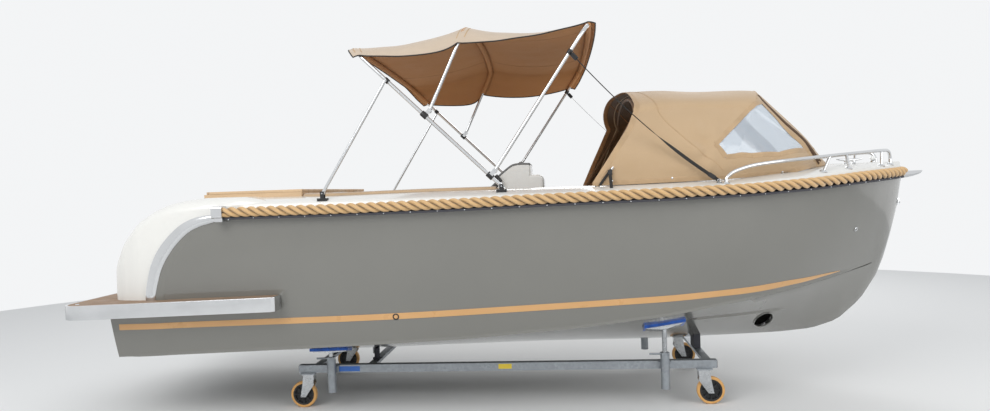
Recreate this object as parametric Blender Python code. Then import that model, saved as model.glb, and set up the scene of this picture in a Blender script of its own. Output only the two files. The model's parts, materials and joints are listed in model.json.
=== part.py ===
"""Open boat tender with a folding sun canopy and a spray hood, on its yard trolley.

Metres, +X to the bow, +Y to port, +Z up. The origin is on the floor under the middle of
the boat. Starboard is side -1 and port is side +1.
"""
import math

import bmesh
import bpy
from mathutils import Matrix, Vector

# Overall sizes
LENGTH = 6.33
HULL_BEAM = 2.28
BOW_TIP_X = LENGTH / 2
STERN_X = -LENGTH / 2
GAP = 0.0003
SIDES = (("starboard", -1), ("port", 1))

# Swim platform
PLATFORM_FORE_X = -1.607
PLATFORM_HALF_WIDTH = 1.205
PLATFORM_HEIGHT = 0.100
PLATFORM_TOP_Z = 0.900
PLATFORM_CORNER = 0.130
PLATFORM_RIM = 0.014
PLATFORM_RIM_DROP = 0.006
PLATFORM_TEAK = 0.012
PLATFORM_SEAT = 0.003
TRIM_SLOPE = 0.0231
PLATFORM_LEVEL_X = -2.45
STERN_STEP_X = -2.50

# Hull shell
HULL_WALL = 0.022
HULL_BOW_X = 3.0
HULL_TRANSOM_X = -2.85
TRANSOM_RAKE = 0.12
CAVITY_BOW_X = 2.42
CAVITY_TOP_Z = 2.0
TOPSIDE_BULGE = 0.45
BOTTOM_POWER = 1.12
BOTTOM_STEPS = 4
SIDE_STEPS = 5
STATION_STEP = 0.42
BOW_THRUSTER_X = 1.86
BOW_THRUSTER_Z = 0.545
BOW_THRUSTER_RADIUS = 0.07

# Hull sections: x, keel height, chine half breadth as a share of half the beam,
# chine height, sheer half breadth as a share of half the beam, sheer height
HULL_SECTIONS = (
    (-2.85, 0.330, 0.875, 0.485, 0.905, PLATFORM_TOP_Z - 0.1052),
    (STERN_STEP_X, 0.328, 0.885, 0.498, 0.930, PLATFORM_TOP_Z - 0.0957),
    (-2.49, 0.328, 0.885, 0.499, 0.940, PLATFORM_TOP_Z + 0.015),
    (-2.42, 0.328, 0.887, 0.502, 0.948, 1.153),
    (-2.30, 0.327, 0.888, 0.506, 0.955, 1.317),
    (-2.12, 0.327, 0.890, 0.512, 0.962, 1.417),
    (-1.86, 0.326, 0.893, 0.521, 0.970, 1.496),
    (-1.30, 0.326, 0.898, 0.541, 0.985, 1.496),
    (-0.50, 0.343, 0.904, 0.577, 1.000, 1.504),
    (0.30, 0.357, 0.895, 0.634, 0.998, 1.520),
    (0.95, 0.361, 0.860, 0.697, 0.970, 1.530),
    (1.50, 0.378, 0.750, 0.768, 0.893, 1.540),
    (2.00, 0.397, 0.535, 0.831, 0.735, 1.564),
    (2.26, 0.420, 0.390, 0.868, 0.615, 1.583),
    (2.46, 0.476, 0.268, 0.900, 0.500, 1.600),
    (2.64, 0.614, 0.160, 0.930, 0.370, 1.612),
    (2.80, 0.835, 0.070, 0.970, 0.230, 1.622),
    (2.907, 1.127, 0.036, 1.200, 0.125, 1.630),
    (2.965, 1.350, 0.022, 1.410, 0.062, 1.633),
    (3.00, 1.560, 0.012, 1.585, 0.020, 1.634),
)
X_, KEEL_Z, CHINE_Y, CHINE_Z, SHEER_Y, SHEER_Z = range(6)

# Deck moulding
DECK_THICKNESS = 0.030
DECK_CAMBER = 0.035
DECK_FLANGE = 0.060
DECK_EDGE_ROUND = 0.030
DECK_AFT_X = -1.86
DECK_FORE_X = 2.99
# x, height of the deck's outer edge, height of the gunwale
DECK_HEIGHTS = (
    (-2.20, 1.560, 1.600),
    (-1.40, 1.560, 1.592),
    (-0.50, 1.560, 1.600),
    (0.60, 1.568, 1.600),
    (1.40, 1.580, 1.612),
    (1.90, 1.610, 1.650),
    (2.45, 1.660, 1.700),
    (3.00, 1.690, 1.718),
)
DECK_EDGE_Z, GUNWALE_Z = range(1, 3)
GUNWALE_INSET = 0.130

# Stern moulding: x, height of its top, half breadth as a share of half the beam
STERN_SECTIONS = (
    (-2.938, 0.960, 0.700),
    (-2.915, 1.080, 0.780),
    (-2.860, 1.215, 0.845),
    (-2.770, 1.350, 0.885),
    (-2.640, 1.468, 0.915),
    (-2.500, 1.540, 0.930),
    (-2.490, 1.543, 0.940),
    (-2.420, 1.568, 0.948),
    (-2.300, 1.592, 0.955),
    (-2.120, 1.608, 0.962),
    (-1.861, 1.612, 0.970),
)
STERN_TOP, STERN_HALF = range(1, 3)
STERN_SIDE_TUCK = 0.004
STERN_SHOULDER = 0.090

# Cockpit
COCKPIT_AFT_X = -1.46
COCKPIT_STEP_X = 1.22
COCKPIT_FORE_X = 1.92
SIDE_DECK_WIDTH = 0.235
LINER_WALL = 0.016
LINER_RIM_DROP = 0.030
SOLE_Z = 0.750
SOLE_THICKNESS = 0.012
BERTH_Z = 1.090
BENCH_TOP_Z = 1.150
BENCH_DEPTH = 0.430
BENCH_FORE_X = 0.95
AFT_BENCH_DEPTH = 0.520
CUSHION_THICKNESS = 0.090
CUSHION_EDGE = 0.018

# Helm
CONSOLE_X = 0.060
CONSOLE_Y = -0.220
CONSOLE_LENGTH = 0.340
CONSOLE_WIDTH = 0.420
CONSOLE_TOP_Z = 1.705
CONSOLE_PANEL_DROP = 0.170
WHEEL_RADIUS = 0.175
WHEEL_RIM_RADIUS = 0.014
WHEEL_STAND_OFF = 0.075
WHEEL_DISH = 0.030
WHEEL_HUB_RADIUS = 0.042

# Rope fender and the rubber strip that carries it
ROPE_RADIUS = 0.036
ROPE_AFT_X = -1.985
ROPE_FORE_X = 2.930
STRIP_BACK = 0.010
STRIP_SEAT = 0.0008
STRIP_LIP_HEIGHT = 0.016
STRIP_LIP_REACH = 0.048
ROPE_CENTRE_ABOVE_SHEER = 0.010

# Bow plate
BOW_PLATE_AFT_X = HULL_BOW_X + GAP
BOW_PLATE_HALF = 0.075
BOW_PLATE_BOTTOM_Z = 1.590
BOW_PLATE_TOP_Z = 1.645

# Aft deck board
BOARD_AFT_X = -2.24
BOARD_FORE_X = -1.50
BOARD_HALF = 0.860
BOARD_THICKNESS = 0.020

# Folding canopy frame
TUBE_RADIUS = 0.0125
BOW_CORNER = 0.120
BOW_CAMBER = 0.045
CANOPY_HALF = 1.050
MAIN_PIVOT_X = -0.045
MAIN_PIVOT_RISE = 0.0211
MAIN_TIP = (-1.044, 2.600)
FRONT_PIVOT_ALONG = 0.104
FRONT_PIVOT_OFF = 0.046
FRONT_TIP = (0.575, 2.700)
MID_PIVOT_ALONG = 0.718
MID_PIVOT_OFF = 0.044
MID_TIP = (-0.265, 2.715)
MID_INSET = 0.036
STRUT_FOOT_X = -1.276
STRUT_FOOT_RISE = 0.0321
STRUT_EYE_HALF = 0.0125
STRUT_EYE_RADIUS = 0.014
STRUT_ALONG = 1.070
STRUT_OUT = 0.040
EYE_HALF = 0.0142
EYE_RADIUS = 0.017
FOOT_THICK = 0.014
FOOT_HALF_LENGTH = 0.035
FOOT_CHEEK = 0.014
CHEEK_THICK = 0.004
SLIDE_RADIUS = 0.0205
SLIDE_HALF_LENGTH = 0.024
WEDGE_SEAT = 0.0009
CLOTH = 0.010
CLOTH_OVERHANG = 0.050
CLOTH_NOSE = 0.012
CLOTH_DIP = 0.024
STRAP_WIDTH = 0.025
STRAP_THICKNESS = 0.004
STRAP_FOOT = (1.420, 0.955)
STRAP_SAG = 0.060

# Spray hood: base x, shoulder x, top x, shoulder half breadth, shoulder height,
# top height
HOOD_SECTIONS = (
    (0.565, 0.860, 0.850, 0.800, 2.110, 2.300),
    (0.900, 1.080, 1.120, 0.780, 2.130, 2.335),
    (1.200, 1.400, 1.480, 0.745, 2.130, 2.325),
    (1.420, 1.660, 1.800, 0.690, 2.090, 2.275),
    (1.590, 1.830, 1.950, 0.640, 1.985, 2.110),
    (1.830, 2.060, 2.180, 0.580, 1.850, 1.900),
    (1.930, 2.200, 2.420, 0.520, 1.700, 1.710),
)
HOOD_INSET = 0.150
HOOD_BULGE = 0.030
HOOD_SHOULDER = 0.55
HOOD_CLOTH = 0.008
HOOD_SEAT = 0.0025
# Places of the rows of cloth, counted along the sections, and of the lines over the arch
HOOD_ROWS = (0, 0.5, 1, 1.5, 2, 2.5, 3, 3.12, 3.6, 4, 4.5, 4.92, 5.5, 6)
HOOD_LINES = (0, 0.18, 0.36, 0.48, 0.55, 0.66, 0.78, 0.90, 1)
WINDOW_ROWS = (3.12, 4.92)
WINDOWS = (("starboard", -0.90, -0.48), ("front", -0.36, 0.36), ("port", 0.48, 0.90))
WINDOW_ROW_EDGE = 0.004
WINDOW_LINE_EDGE = 0.0012
HOOP_BACK = 0.030
HOOP_CLEAR = 0.012
HOOP_END = 0.985
HOOP_STEPS = 18

# Bow rail
RAIL_RADIUS = 0.0125
RAIL_INSET = 0.048
RAIL_HEIGHT = 0.098
RAIL_FOOT = 0.017
RAIL_FOOT_HEIGHT = 0.011
# x, height above the deck
RAIL_ROUTE = (
    (1.460, 0.008),
    (1.463, 0.035),
    (1.520, 0.075),
    (1.680, 0.105),
    (2.110, 0.108),
    (2.580, 0.107),
    (2.790, 0.112),
    (2.850, 0.100),
    (2.872, 0.055),
    (2.873, 0.008),
)
RAIL_POSTS = ((2.19, 0.060), (2.41, -0.020), (2.755, 0.006))

# Trolley
BEAM_HALF_TRACK = 0.6025
BEAM_WIDTH = 0.055
BEAM_HEIGHT = 0.058
BEAM_TOP_Z = 0.322
BEAM_AFT_X = -1.657
BEAM_FORE_X = 1.437
CROSS_DROP = 0.030
CROSS_WIDTH = 0.060
FRONT_CROSS_X = 1.395
REAR_CROSS_X = -1.560
TIE_X = -1.136
KEEL_PAD_LENGTH = 0.160
KEEL_PAD_EDGE = 0.004
PROP_Y = 0.300
PROP_RADIUS = 0.021
PROP_FOOT = 0.034
JACK_Y = 0.676
JACK_X = (("front", 1.062), ("rear", -1.390))
SLEEVE_RADIUS = 0.032
SLEEVE_BORE = 0.0245
SLEEVE_BOTTOM_Z = 0.130
SLEEVE_TOP_Z = 0.372
SPINDLE_RADIUS = 0.0165
SPINDLE_CLEARANCE = 0.0006
SPINDLE_HELD = 0.020
JACK_STOP_GAP = 0.006
NUT_RADIUS = 0.034
NUT_HEIGHT = 0.022
HANDLE_REACH = 0.110
HANDLE_RADIUS = 0.007
BOARD_LENGTH = 0.290
BOARD_WIDTH = 0.120
BOARD_SOFT = 0.022
PLATE_THICK = 0.008
BOARD_SEAT = 0.0015
HULL_SEAT = 0.0007
# Places along and across a board, as shares of its half size, and of the plate under it
BOARD_SPOTS = (-1.0, -0.8, 0.0, 0.8, 1.0)
PLATE_SPOTS = (-0.8, 0.0, 0.8)

# Castors
CASTOR_X = (("front", 1.345, 1), ("rear", -1.585, -1))
CASTOR_TRAIL = 0.046
WHEEL_OUTER = 0.100
CASTOR_WHEEL_WIDTH = 0.046
RIM_RADIUS = 0.078
HUB_RADIUS = 0.022
AXLE_BORE = 0.0105
AXLE_RADIUS = 0.0100
FORK_CLEAR = 0.006
FORK_PLATE = 0.006
TOP_PLATE = 0.110
TOP_PLATE_THICK = 0.008
SWIVEL_GAP = 0.006
SWIVEL_STEM = 0.022
STEM_CLEARANCE = 0.0008

ROUND_STEPS = 16
TUBE_STEPS = 8
FLAT_WITHIN = 0.00002


def finish_material(name, colour, roughness, metallic=0.0, alpha=1.0):
    """Return a Principled material."""
    material = bpy.data.materials.new(name)
    material.use_nodes = True
    shader = material.node_tree.nodes["Principled BSDF"]
    shader.inputs["Base Color"].default_value = (*colour, 1.0)
    shader.inputs["Roughness"].default_value = roughness
    shader.inputs["Metallic"].default_value = metallic
    shader.inputs["Alpha"].default_value = alpha
    material.diffuse_color = (*colour, alpha)
    return material


# finish name: colour, roughness, metallic, alpha
FINISHES = {
    "hull_grey": ((0.205, 0.198, 0.175), 0.25, 0.0, 1.0),
    "white_gelcoat": ((0.85, 0.84, 0.80), 0.25, 0.0, 1.0),
    "rope": ((0.66, 0.46, 0.22), 0.80, 0.0, 1.0),
    "black_rubber": ((0.010, 0.011, 0.013), 0.55, 0.0, 1.0),
    "stainless": ((0.72, 0.73, 0.74), 0.15, 1.0, 1.0),
    "teak": ((0.33, 0.20, 0.11), 0.60, 0.0, 1.0),
    "tan_cushion": ((0.60, 0.42, 0.26), 0.75, 0.0, 1.0),
    "tan_canvas": ((0.60, 0.43, 0.27), 0.85, 0.0, 1.0),
    "clear_vinyl": ((0.80, 0.85, 0.88), 0.05, 0.0, 0.3),
    "webbing": ((0.02, 0.02, 0.02), 0.80, 0.0, 1.0),
    "galvanised": ((0.52, 0.55, 0.57), 0.45, 1.0, 1.0),
    "blue_pad": ((0.02, 0.10, 0.52), 0.65, 0.0, 1.0),
    "castor_steel": ((0.55, 0.57, 0.58), 0.35, 1.0, 1.0),
    "castor_tread": ((0.72, 0.38, 0.10), 0.50, 0.0, 1.0),
    "wheel_leather": ((0.20, 0.20, 0.20), 0.45, 0.0, 1.0),
}
MATERIALS = {}


def clear_scene():
    """Remove every object that the file opens with."""
    for item in list(bpy.data.objects):
        bpy.data.objects.remove(item, do_unlink=True)


def place_mesh(name, mesh, finish, origin=(0.0, 0.0, 0.0)):
    """Link a mesh given in world places as a smooth object whose origin is given."""
    mesh.transform(Matrix.Translation(-Vector(origin)))
    mesh.shade_smooth()
    mesh.set_sharp_from_angle(angle=math.radians(32))
    if finish not in MATERIALS:
        MATERIALS[finish] = finish_material(finish, *FINISHES[finish])
    mesh.materials.clear()
    mesh.materials.append(MATERIALS[finish])
    item = bpy.data.objects.new(name, mesh)
    item.location = origin
    bpy.context.scene.collection.objects.link(item)
    return item


def mesh_from(points, faces):
    """Return a mesh with its faces turned outwards and its bent faces in triangles."""
    mesh = bpy.data.meshes.new("solid")
    mesh.from_pydata([tuple(point) for point in points], [], faces)
    form = bmesh.new()
    form.from_mesh(mesh)
    bmesh.ops.recalc_face_normals(form, faces=form.faces)
    bent = [face for face in form.faces
            if any(abs((corner.co - face.verts[0].co).dot(face.normal)) > FLAT_WITHIN
                   for corner in face.verts)]
    bmesh.ops.triangulate(form, faces=bent)
    form.to_mesh(mesh)
    form.free()
    return mesh


def loft(rings, round_trip=False):
    """Return the closed skin through rings of equal length, capped unless it is a ring."""
    count = len(rings[0])
    points = [point for ring in rings for point in ring]
    faces = []
    spans = len(rings) if round_trip else len(rings) - 1
    for row in range(spans):
        here = row * count
        there = ((row + 1) % len(rings)) * count
        for col in range(count):
            nxt = (col + 1) % count
            faces.append((here + col, here + nxt, there + nxt, there + col))
    if not round_trip:
        faces.append(tuple(range(count)))
        faces.append(tuple((len(rings) - 1) * count + col for col in range(count)))
    return mesh_from(points, faces)


def prism(outline, low, high):
    """Return an upright solid over a plan outline of (x, y) points."""
    return loft([[(x, y, z) for x, y in outline] for z in (low, high)])


def box(low, high):
    """Return a box between two corners."""
    outline = ((low[0], low[1]), (high[0], low[1]), (high[0], high[1]), (low[0], high[1]))
    return prism(outline, low[2], high[2])


def turned(profile, centre, axis, steps=ROUND_STEPS):
    """Return a ring turned from (radius, along) points about an axis through a centre."""
    along = Vector(axis).normalized()
    side = along.orthogonal().normalized()
    other = along.cross(side)
    middle = Vector(centre)
    rings = []
    for step in range(steps):
        angle = 2 * math.pi * step / steps
        spoke = side * math.cos(angle) + other * math.sin(angle)
        rings.append([middle + spoke * radius + along * reach for radius, reach in profile])
    return loft(rings, round_trip=True)


def cylinder(start, end, radius, steps=ROUND_STEPS, end_radius=None):
    """Return a round bar, or a cone, from start to end."""
    first, last = Vector(start), Vector(end)
    along = (last - first).normalized()
    side = along.orthogonal().normalized()
    other = along.cross(side)
    rings = []
    for middle, size in ((first, radius), (last, end_radius or radius)):
        rings.append([middle + (side * math.cos(2 * math.pi * step / steps)
                                + other * math.sin(2 * math.pi * step / steps)) * size
                      for step in range(steps)])
    return loft(rings)


def swept(route, section, level=(0.0, 0.0, 1.0)):
    """Return a section of (side, up) points carried along a route and kept upright."""
    rings = []
    route = [Vector(point) for point in route]
    for index, point in enumerate(route):
        before = route[max(index - 1, 0)]
        after = route[min(index + 1, len(route) - 1)]
        along = (after - before).normalized()
        side = along.cross(Vector(level)).normalized()
        up = side.cross(along)
        rings.append([point + side * across + up * rise for across, rise in section])
    return loft(rings)


def circle(radius, steps=TUBE_STEPS):
    """Return the (side, up) points of a round section."""
    return [(radius * math.cos(2 * math.pi * step / steps),
             radius * math.sin(2 * math.pi * step / steps)) for step in range(steps)]


def tube(route, radius, steps=TUBE_STEPS, level=(0.0, 0.0, 1.0)):
    """Return a round tube along a route."""
    return swept(route, circle(radius, steps), level)


def combined(base, others, operation):
    """Return a mesh after exact Booleans with the other meshes, which are used up."""
    holder = bpy.data.objects.new("holder", base)
    bpy.context.scene.collection.objects.link(holder)
    tools = []
    for other in others:
        tool = bpy.data.objects.new("tool", other)
        bpy.context.scene.collection.objects.link(tool)
        tools.append(tool)
        change = holder.modifiers.new("change", "BOOLEAN")
        change.operation = operation
        change.solver = "EXACT"
        change.object = tool
    bpy.context.view_layer.update()
    seen = holder.evaluated_get(bpy.context.evaluated_depsgraph_get())
    result = bpy.data.meshes.new_from_object(seen)
    for item in [holder] + tools:
        bpy.data.objects.remove(item, do_unlink=True)
    return result


def joined(base, *others):
    """Return one closed body from meshes that overlap."""
    return combined(base, others, "UNION")


def cut(base, *others):
    """Return the base mesh with the other meshes cut away."""
    return combined(base, others, "DIFFERENCE")


def read_table(table, x, column):
    """Return a column's value at x, on a smooth curve through the table's rows."""
    rows = list(table)
    if x <= rows[0][0]:
        return rows[0][column]
    if x >= rows[-1][0]:
        return rows[-1][column]
    index = max(i for i in range(len(rows) - 1) if rows[i][0] <= x)
    span = rows[index + 1][0] - rows[index][0]
    part = (x - rows[index][0]) / span

    def slope(first):
        """Return the rise per metre between a row and the next."""
        first = min(max(first, 0), len(rows) - 2)
        run = rows[first + 1][0] - rows[first][0]
        return (rows[first + 1][column] - rows[first][column]) / run

    here = slope(index)
    start = 0.0 if slope(index - 1) * here <= 0 else min(slope(index - 1), here, key=abs)
    end = 0.0 if slope(index + 1) * here <= 0 else min(slope(index + 1), here, key=abs)
    low, high = rows[index][column], rows[index + 1][column]
    square, cube = part * part, part ** 3
    return ((2 * cube - 3 * square + 1) * low + (cube - 2 * square + part) * span * start
            + (3 * square - 2 * cube) * high + (cube - square) * span * end)


def hull_value(x, column):
    """Return one of the hull's lines at x, breadths in metres."""
    value = read_table(HULL_SECTIONS, x, column)
    return value * HULL_BEAM / 2 if column in (CHINE_Y, SHEER_Y) else value


def sheer_half(x):
    """Return the hull's half breadth at the sheer."""
    return hull_value(x, SHEER_Y)


def hull_half_section(x, wall=0.0, top=None):
    """Return (y, z) points from the keel to the sheer, moved in by a wall."""
    keel, chine_z = hull_value(x, KEEL_Z), hull_value(x, CHINE_Z)
    chine_y, sheer_y = hull_value(x, CHINE_Y), hull_value(x, SHEER_Y)
    sheer_z = hull_value(x, SHEER_Z)
    points = []
    for step in range(BOTTOM_STEPS):
        part = step / BOTTOM_STEPS
        points.append((part * chine_y, keel + (chine_z - keel) * part ** BOTTOM_POWER))
    for step in range(SIDE_STEPS + 1):
        part = step / SIDE_STEPS
        swell = part + TOPSIDE_BULGE * part * (1 - part)
        points.append((chine_y + (sheer_y - chine_y) * swell,
                       chine_z + (sheer_z - chine_z) * part))
    if wall:
        moved = []
        for y, z in points:
            lift = wall * max(0.0, 1 - (z - keel) / max(chine_z - keel, 0.01))
            moved.append((max(y - wall, 0.0), z + lift + wall * 0.6 * (z < chine_z)))
        points = moved
        points[0] = (0.0, keel + 1.6 * wall)
    if top is not None:
        points[-1] = (points[-1][0], top)
    return points


def hull_ring(x, wall=0.0, top=None, rake=0.0):
    """Return the whole section at x as a ring from starboard to port."""
    half = hull_half_section(x, wall, top)
    chine_z = hull_value(x, CHINE_Z)
    ring = [(x - rake * (z - chine_z), -y, z) for y, z in reversed(half)]
    ring += [(x - rake * (z - chine_z), y, z) for y, z in half[1:]]
    return ring


def stations_between(aft, fore):
    """Return the x of every hull section, with more between those far apart."""
    rows = sorted({aft, fore} | {row[X_] for row in HULL_SECTIONS if aft < row[X_] < fore})
    places = []
    for first, second in zip(rows, rows[1:]):
        parts = max(1, math.ceil((second - first) / STATION_STEP))
        places += [first + (second - first) * step / parts for step in range(parts)]
    return places + [fore]


def profile_between(stations, profile_at, x):
    """Return the (y, z) profile at x on the flat faces between two stations."""
    x = min(max(x, stations[0]), stations[-1])
    index = max(i for i in range(len(stations) - 1) if stations[i] <= x)
    aft, fore = stations[index], stations[index + 1]
    part = (x - aft) / (fore - aft)
    return [(y0 + (y1 - y0) * part, z0 + (z1 - z0) * part)
            for (y0, z0), (y1, z1) in zip(profile_at(aft), profile_at(fore))]


def hull_profile(x):
    """Return the hull's outside half section at x as it is built."""
    stations = stations_between(HULL_SECTIONS[0][X_], HULL_SECTIONS[-1][X_])
    return profile_between(stations, hull_half_section, x)


def bottom_height(x, y):
    """Return the height of the hull's outside under the chine."""
    half = hull_profile(x)[:BOTTOM_STEPS + 1]
    reach = min(abs(y), half[-1][0])
    for (y0, z0), (y1, z1) in zip(half, half[1:]):
        if y0 <= reach <= y1:
            return z0 + (z1 - z0) * (reach - y0) / (y1 - y0)
    return half[-1][1]


def hull_side_at(x, z):
    """Return the hull's half breadth at a height."""
    half = hull_profile(x)
    for (y0, z0), (y1, z1) in zip(half, half[1:]):
        if z0 <= z <= z1:
            return y0 + (y1 - y0) * (z - z0) / (z1 - z0)
    return max(y for y, _ in half)


def build_hull():
    """Build the hollow hull shell with its thruster tunnel."""
    stations = stations_between(HULL_SECTIONS[0][X_], HULL_SECTIONS[-1][X_])
    rings = [hull_ring(x, rake=TRANSOM_RAKE if x == stations[0] else 0.0) for x in stations]
    outside = loft(rings)
    inner = [HULL_TRANSOM_X + HULL_WALL + 0.02]
    inner += [x for x in stations if inner[0] + 0.05 < x < CAVITY_BOW_X - 0.05]
    inner.append(CAVITY_BOW_X)
    cavity = loft([hull_ring(x, wall=HULL_WALL, top=CAVITY_TOP_Z) for x in inner])
    reach = HULL_BEAM / 2
    tunnel = cylinder((BOW_THRUSTER_X, -reach, BOW_THRUSTER_Z),
                      (BOW_THRUSTER_X, reach, BOW_THRUSTER_Z), BOW_THRUSTER_RADIUS)
    place_mesh("hull_shell", cut(outside, cavity, tunnel), "hull_grey")


def deck_edge(x):
    """Return the side deck's outer and inner corners at x as (breadth, height) points."""
    half = sheer_half(x)
    edge = read_table(DECK_HEIGHTS, x, DECK_EDGE_Z)
    gunwale = read_table(DECK_HEIGHTS, x, GUNWALE_Z)
    rounding = min(DECK_EDGE_ROUND, half * 0.2)
    return (half - rounding * 0.4, edge), (half - min(GUNWALE_INSET, half * 0.5), gunwale)


def deck_profile(x):
    """Return the deck's upper half section at x, from its outer edge to the crown."""
    half = sheer_half(x)
    outer, inner = deck_edge(x)
    crown = inner[1] + DECK_CAMBER * min(half / (HULL_BEAM / 2), 1.0)
    return [(half, hull_value(x, SHEER_Z) + GAP), (half, outer[1] - (half - outer[0]) * 2), outer,
            inner, (half * 0.45, inner[1] + (crown - inner[1]) * 0.7), (0.0, crown)]


def deck_top(x, y):
    """Return the height of the deck moulding's upper side as it is built."""
    stations = stations_between(DECK_AFT_X, DECK_FORE_X)
    profile = profile_between(stations, deck_profile, x)[2:]
    reach = min(abs(y), profile[0][0])
    for (y0, z0), (y1, z1) in zip(profile, profile[1:]):
        if y1 <= reach <= y0:
            return z0 + (z1 - z0) * (y0 - reach) / (y0 - y1)
    return profile[-1][1]


def deck_ring(x):
    """Return the deck moulding's section at x, an upturned channel."""
    profile = deck_profile(x)
    half, under = profile[0]
    edge = profile[2][1]
    inner_y, gunwale = profile[3]
    flange = min(DECK_FLANGE, half * 0.45)
    below = [(half * 0.42, profile[4][1] - DECK_THICKNESS),
             (min(inner_y, half - flange) - 0.001, gunwale - DECK_THICKNESS),
             (half - flange, edge - DECK_THICKNESS), (half - flange, under)]
    crown = profile[-1][1]
    ring = [(x, -y, z) for y, z in profile] + [(x, y, z) for y, z in reversed(profile[:-1])]
    ring += [(x, y, z) for y, z in reversed(below)]
    ring += [(x, 0.0, crown - DECK_THICKNESS)] + [(x, -y, z) for y, z in below]
    return ring


def cockpit_half(x):
    """Return the cockpit opening's half breadth at x."""
    return sheer_half(x) - SIDE_DECK_WIDTH


def cockpit_outline(aft, fore, inset=0.0, corner=0.12):
    """Return the plan outline of the cockpit, or of a part of it, moved in by an inset."""
    steps = 12
    low, high = aft + inset, fore - inset
    side = []
    for step in range(steps + 1):
        x = low + (high - low) * step / steps
        side.append([x, cockpit_half(x) - inset])
    for point in (side[0], side[-1]):
        point[1] -= corner
    aft_turn = [low + corner * 0.3, cockpit_half(low) - inset - corner * 0.3]
    fore_turn = [high - corner * 0.3, cockpit_half(high) - inset - corner * 0.3]
    half = [side[0], aft_turn] + side[1:-1] + [fore_turn, side[-1]]
    half.sort(key=lambda point: point[0])
    return [(x, -y) for x, y in half] + [(x, y) for x, y in reversed(half)]


def build_deck():
    """Build the deck moulding with the cockpit cut out of it."""
    rings = [deck_ring(x) for x in stations_between(DECK_AFT_X, DECK_FORE_X)]
    opening = prism(cockpit_outline(COCKPIT_AFT_X, COCKPIT_FORE_X), BERTH_Z, CAVITY_TOP_Z)
    place_mesh("deck_moulding", cut(loft(rings), opening), "white_gelcoat")


def build_stern():
    """Build the white stern moulding that wraps the quarters."""
    rings = []
    aft, fore = STERN_SECTIONS[0][X_], STERN_SECTIONS[-1][X_]
    for x in sorted({row[X_] for row in STERN_SECTIONS} | set(stations_between(aft, fore))):
        top = read_table(STERN_SECTIONS, x, STERN_TOP)
        share = read_table(STERN_SECTIONS, x, STERN_HALF)
        low = max(platform_height(x), hull_value(x, SHEER_Z)) + GAP
        outer = share * HULL_BEAM / 2 - STERN_SIDE_TUCK
        shoulder = min(STERN_SHOULDER, (top - low) * 0.6)
        profile = [(outer, low), (outer, top - shoulder),
                   (outer - shoulder * 0.3, top - shoulder * 0.3),
                   (outer - shoulder, top), (outer * 0.5, top + 0.006)]
        ring = [(x, -y, z) for y, z in profile] + [(x, 0.0, top + 0.012)]
        ring += [(x, y, z) for y, z in reversed(profile)]
        rings.append(ring)
    place_mesh("stern_moulding", loft(rings), "white_gelcoat")


def build_cockpit():
    """Build the liner with its benches, the sole, and the cushions."""
    rim = read_table(DECK_HEIGHTS, 0.0, GUNWALE_Z) - LINER_RIM_DROP
    reach = HULL_BEAM / 2
    outer = prism(cockpit_outline(COCKPIT_AFT_X, COCKPIT_FORE_X, GAP), SOLE_Z - LINER_WALL, rim)
    under_berth = box((COCKPIT_STEP_X + LINER_WALL, -reach, SOLE_Z - 2 * LINER_WALL),
                      (COCKPIT_FORE_X + LINER_WALL, reach, BERTH_Z - LINER_WALL))
    lip = 0.1
    well_aft = COCKPIT_AFT_X + AFT_BENCH_DEPTH
    aisle = cockpit_half(0.0) - BENCH_DEPTH
    well = box((well_aft, -aisle, SOLE_Z), (BENCH_FORE_X, aisle, rim + lip))
    forward = prism(cockpit_outline(BENCH_FORE_X - 0.02, COCKPIT_STEP_X, LINER_WALL, 0.02),
                    SOLE_Z, rim + lip)
    over_bench = prism(cockpit_outline(COCKPIT_AFT_X, COCKPIT_STEP_X + 0.1, LINER_WALL),
                       BENCH_TOP_Z, rim + lip)
    over_berth = prism(cockpit_outline(COCKPIT_AFT_X + 0.6, COCKPIT_FORE_X, LINER_WALL),
                       BERTH_Z, rim + lip + 0.01)
    berth_part = box((COCKPIT_STEP_X - 0.05, -reach, BERTH_Z - 0.01),
                     (COCKPIT_FORE_X + LINER_WALL, reach, rim + lip + 0.02))
    over_berth = combined(over_berth, [berth_part], "INTERSECT")
    place_mesh("cockpit_liner", cut(outer, under_berth, well, forward, over_bench, over_berth),
               "white_gelcoat")
    clear = 0.006
    place_mesh("cockpit_sole",
               box((well_aft + clear, -aisle + clear, SOLE_Z + GAP),
                   (COCKPIT_STEP_X - LINER_WALL - clear, aisle - clear,
                    SOLE_Z + GAP + SOLE_THICKNESS)), "teak")
    build_cushions(well_aft, aisle)


def cushion(outline, low):
    """Return a pad over an outline, narrower at its top and bottom edges."""
    middle_x = sum(x for x, _ in outline) / len(outline)
    middle_y = sum(y for _, y in outline) / len(outline)

    def ring(share, z):
        """Return the outline drawn towards its middle by a cushion edge."""
        points = []
        for x, y in outline:
            dx = math.copysign(CUSHION_EDGE * share, middle_x - x)
            dy = math.copysign(CUSHION_EDGE * share, middle_y - y)
            points.append((x + dx, y + dy, z))
        return points

    high = low + CUSHION_THICKNESS
    third = CUSHION_THICKNESS * 0.28
    return loft([ring(1.0, low), ring(0.0, low + third), ring(0.0, high - third),
                 ring(1.0, high)])


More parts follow.
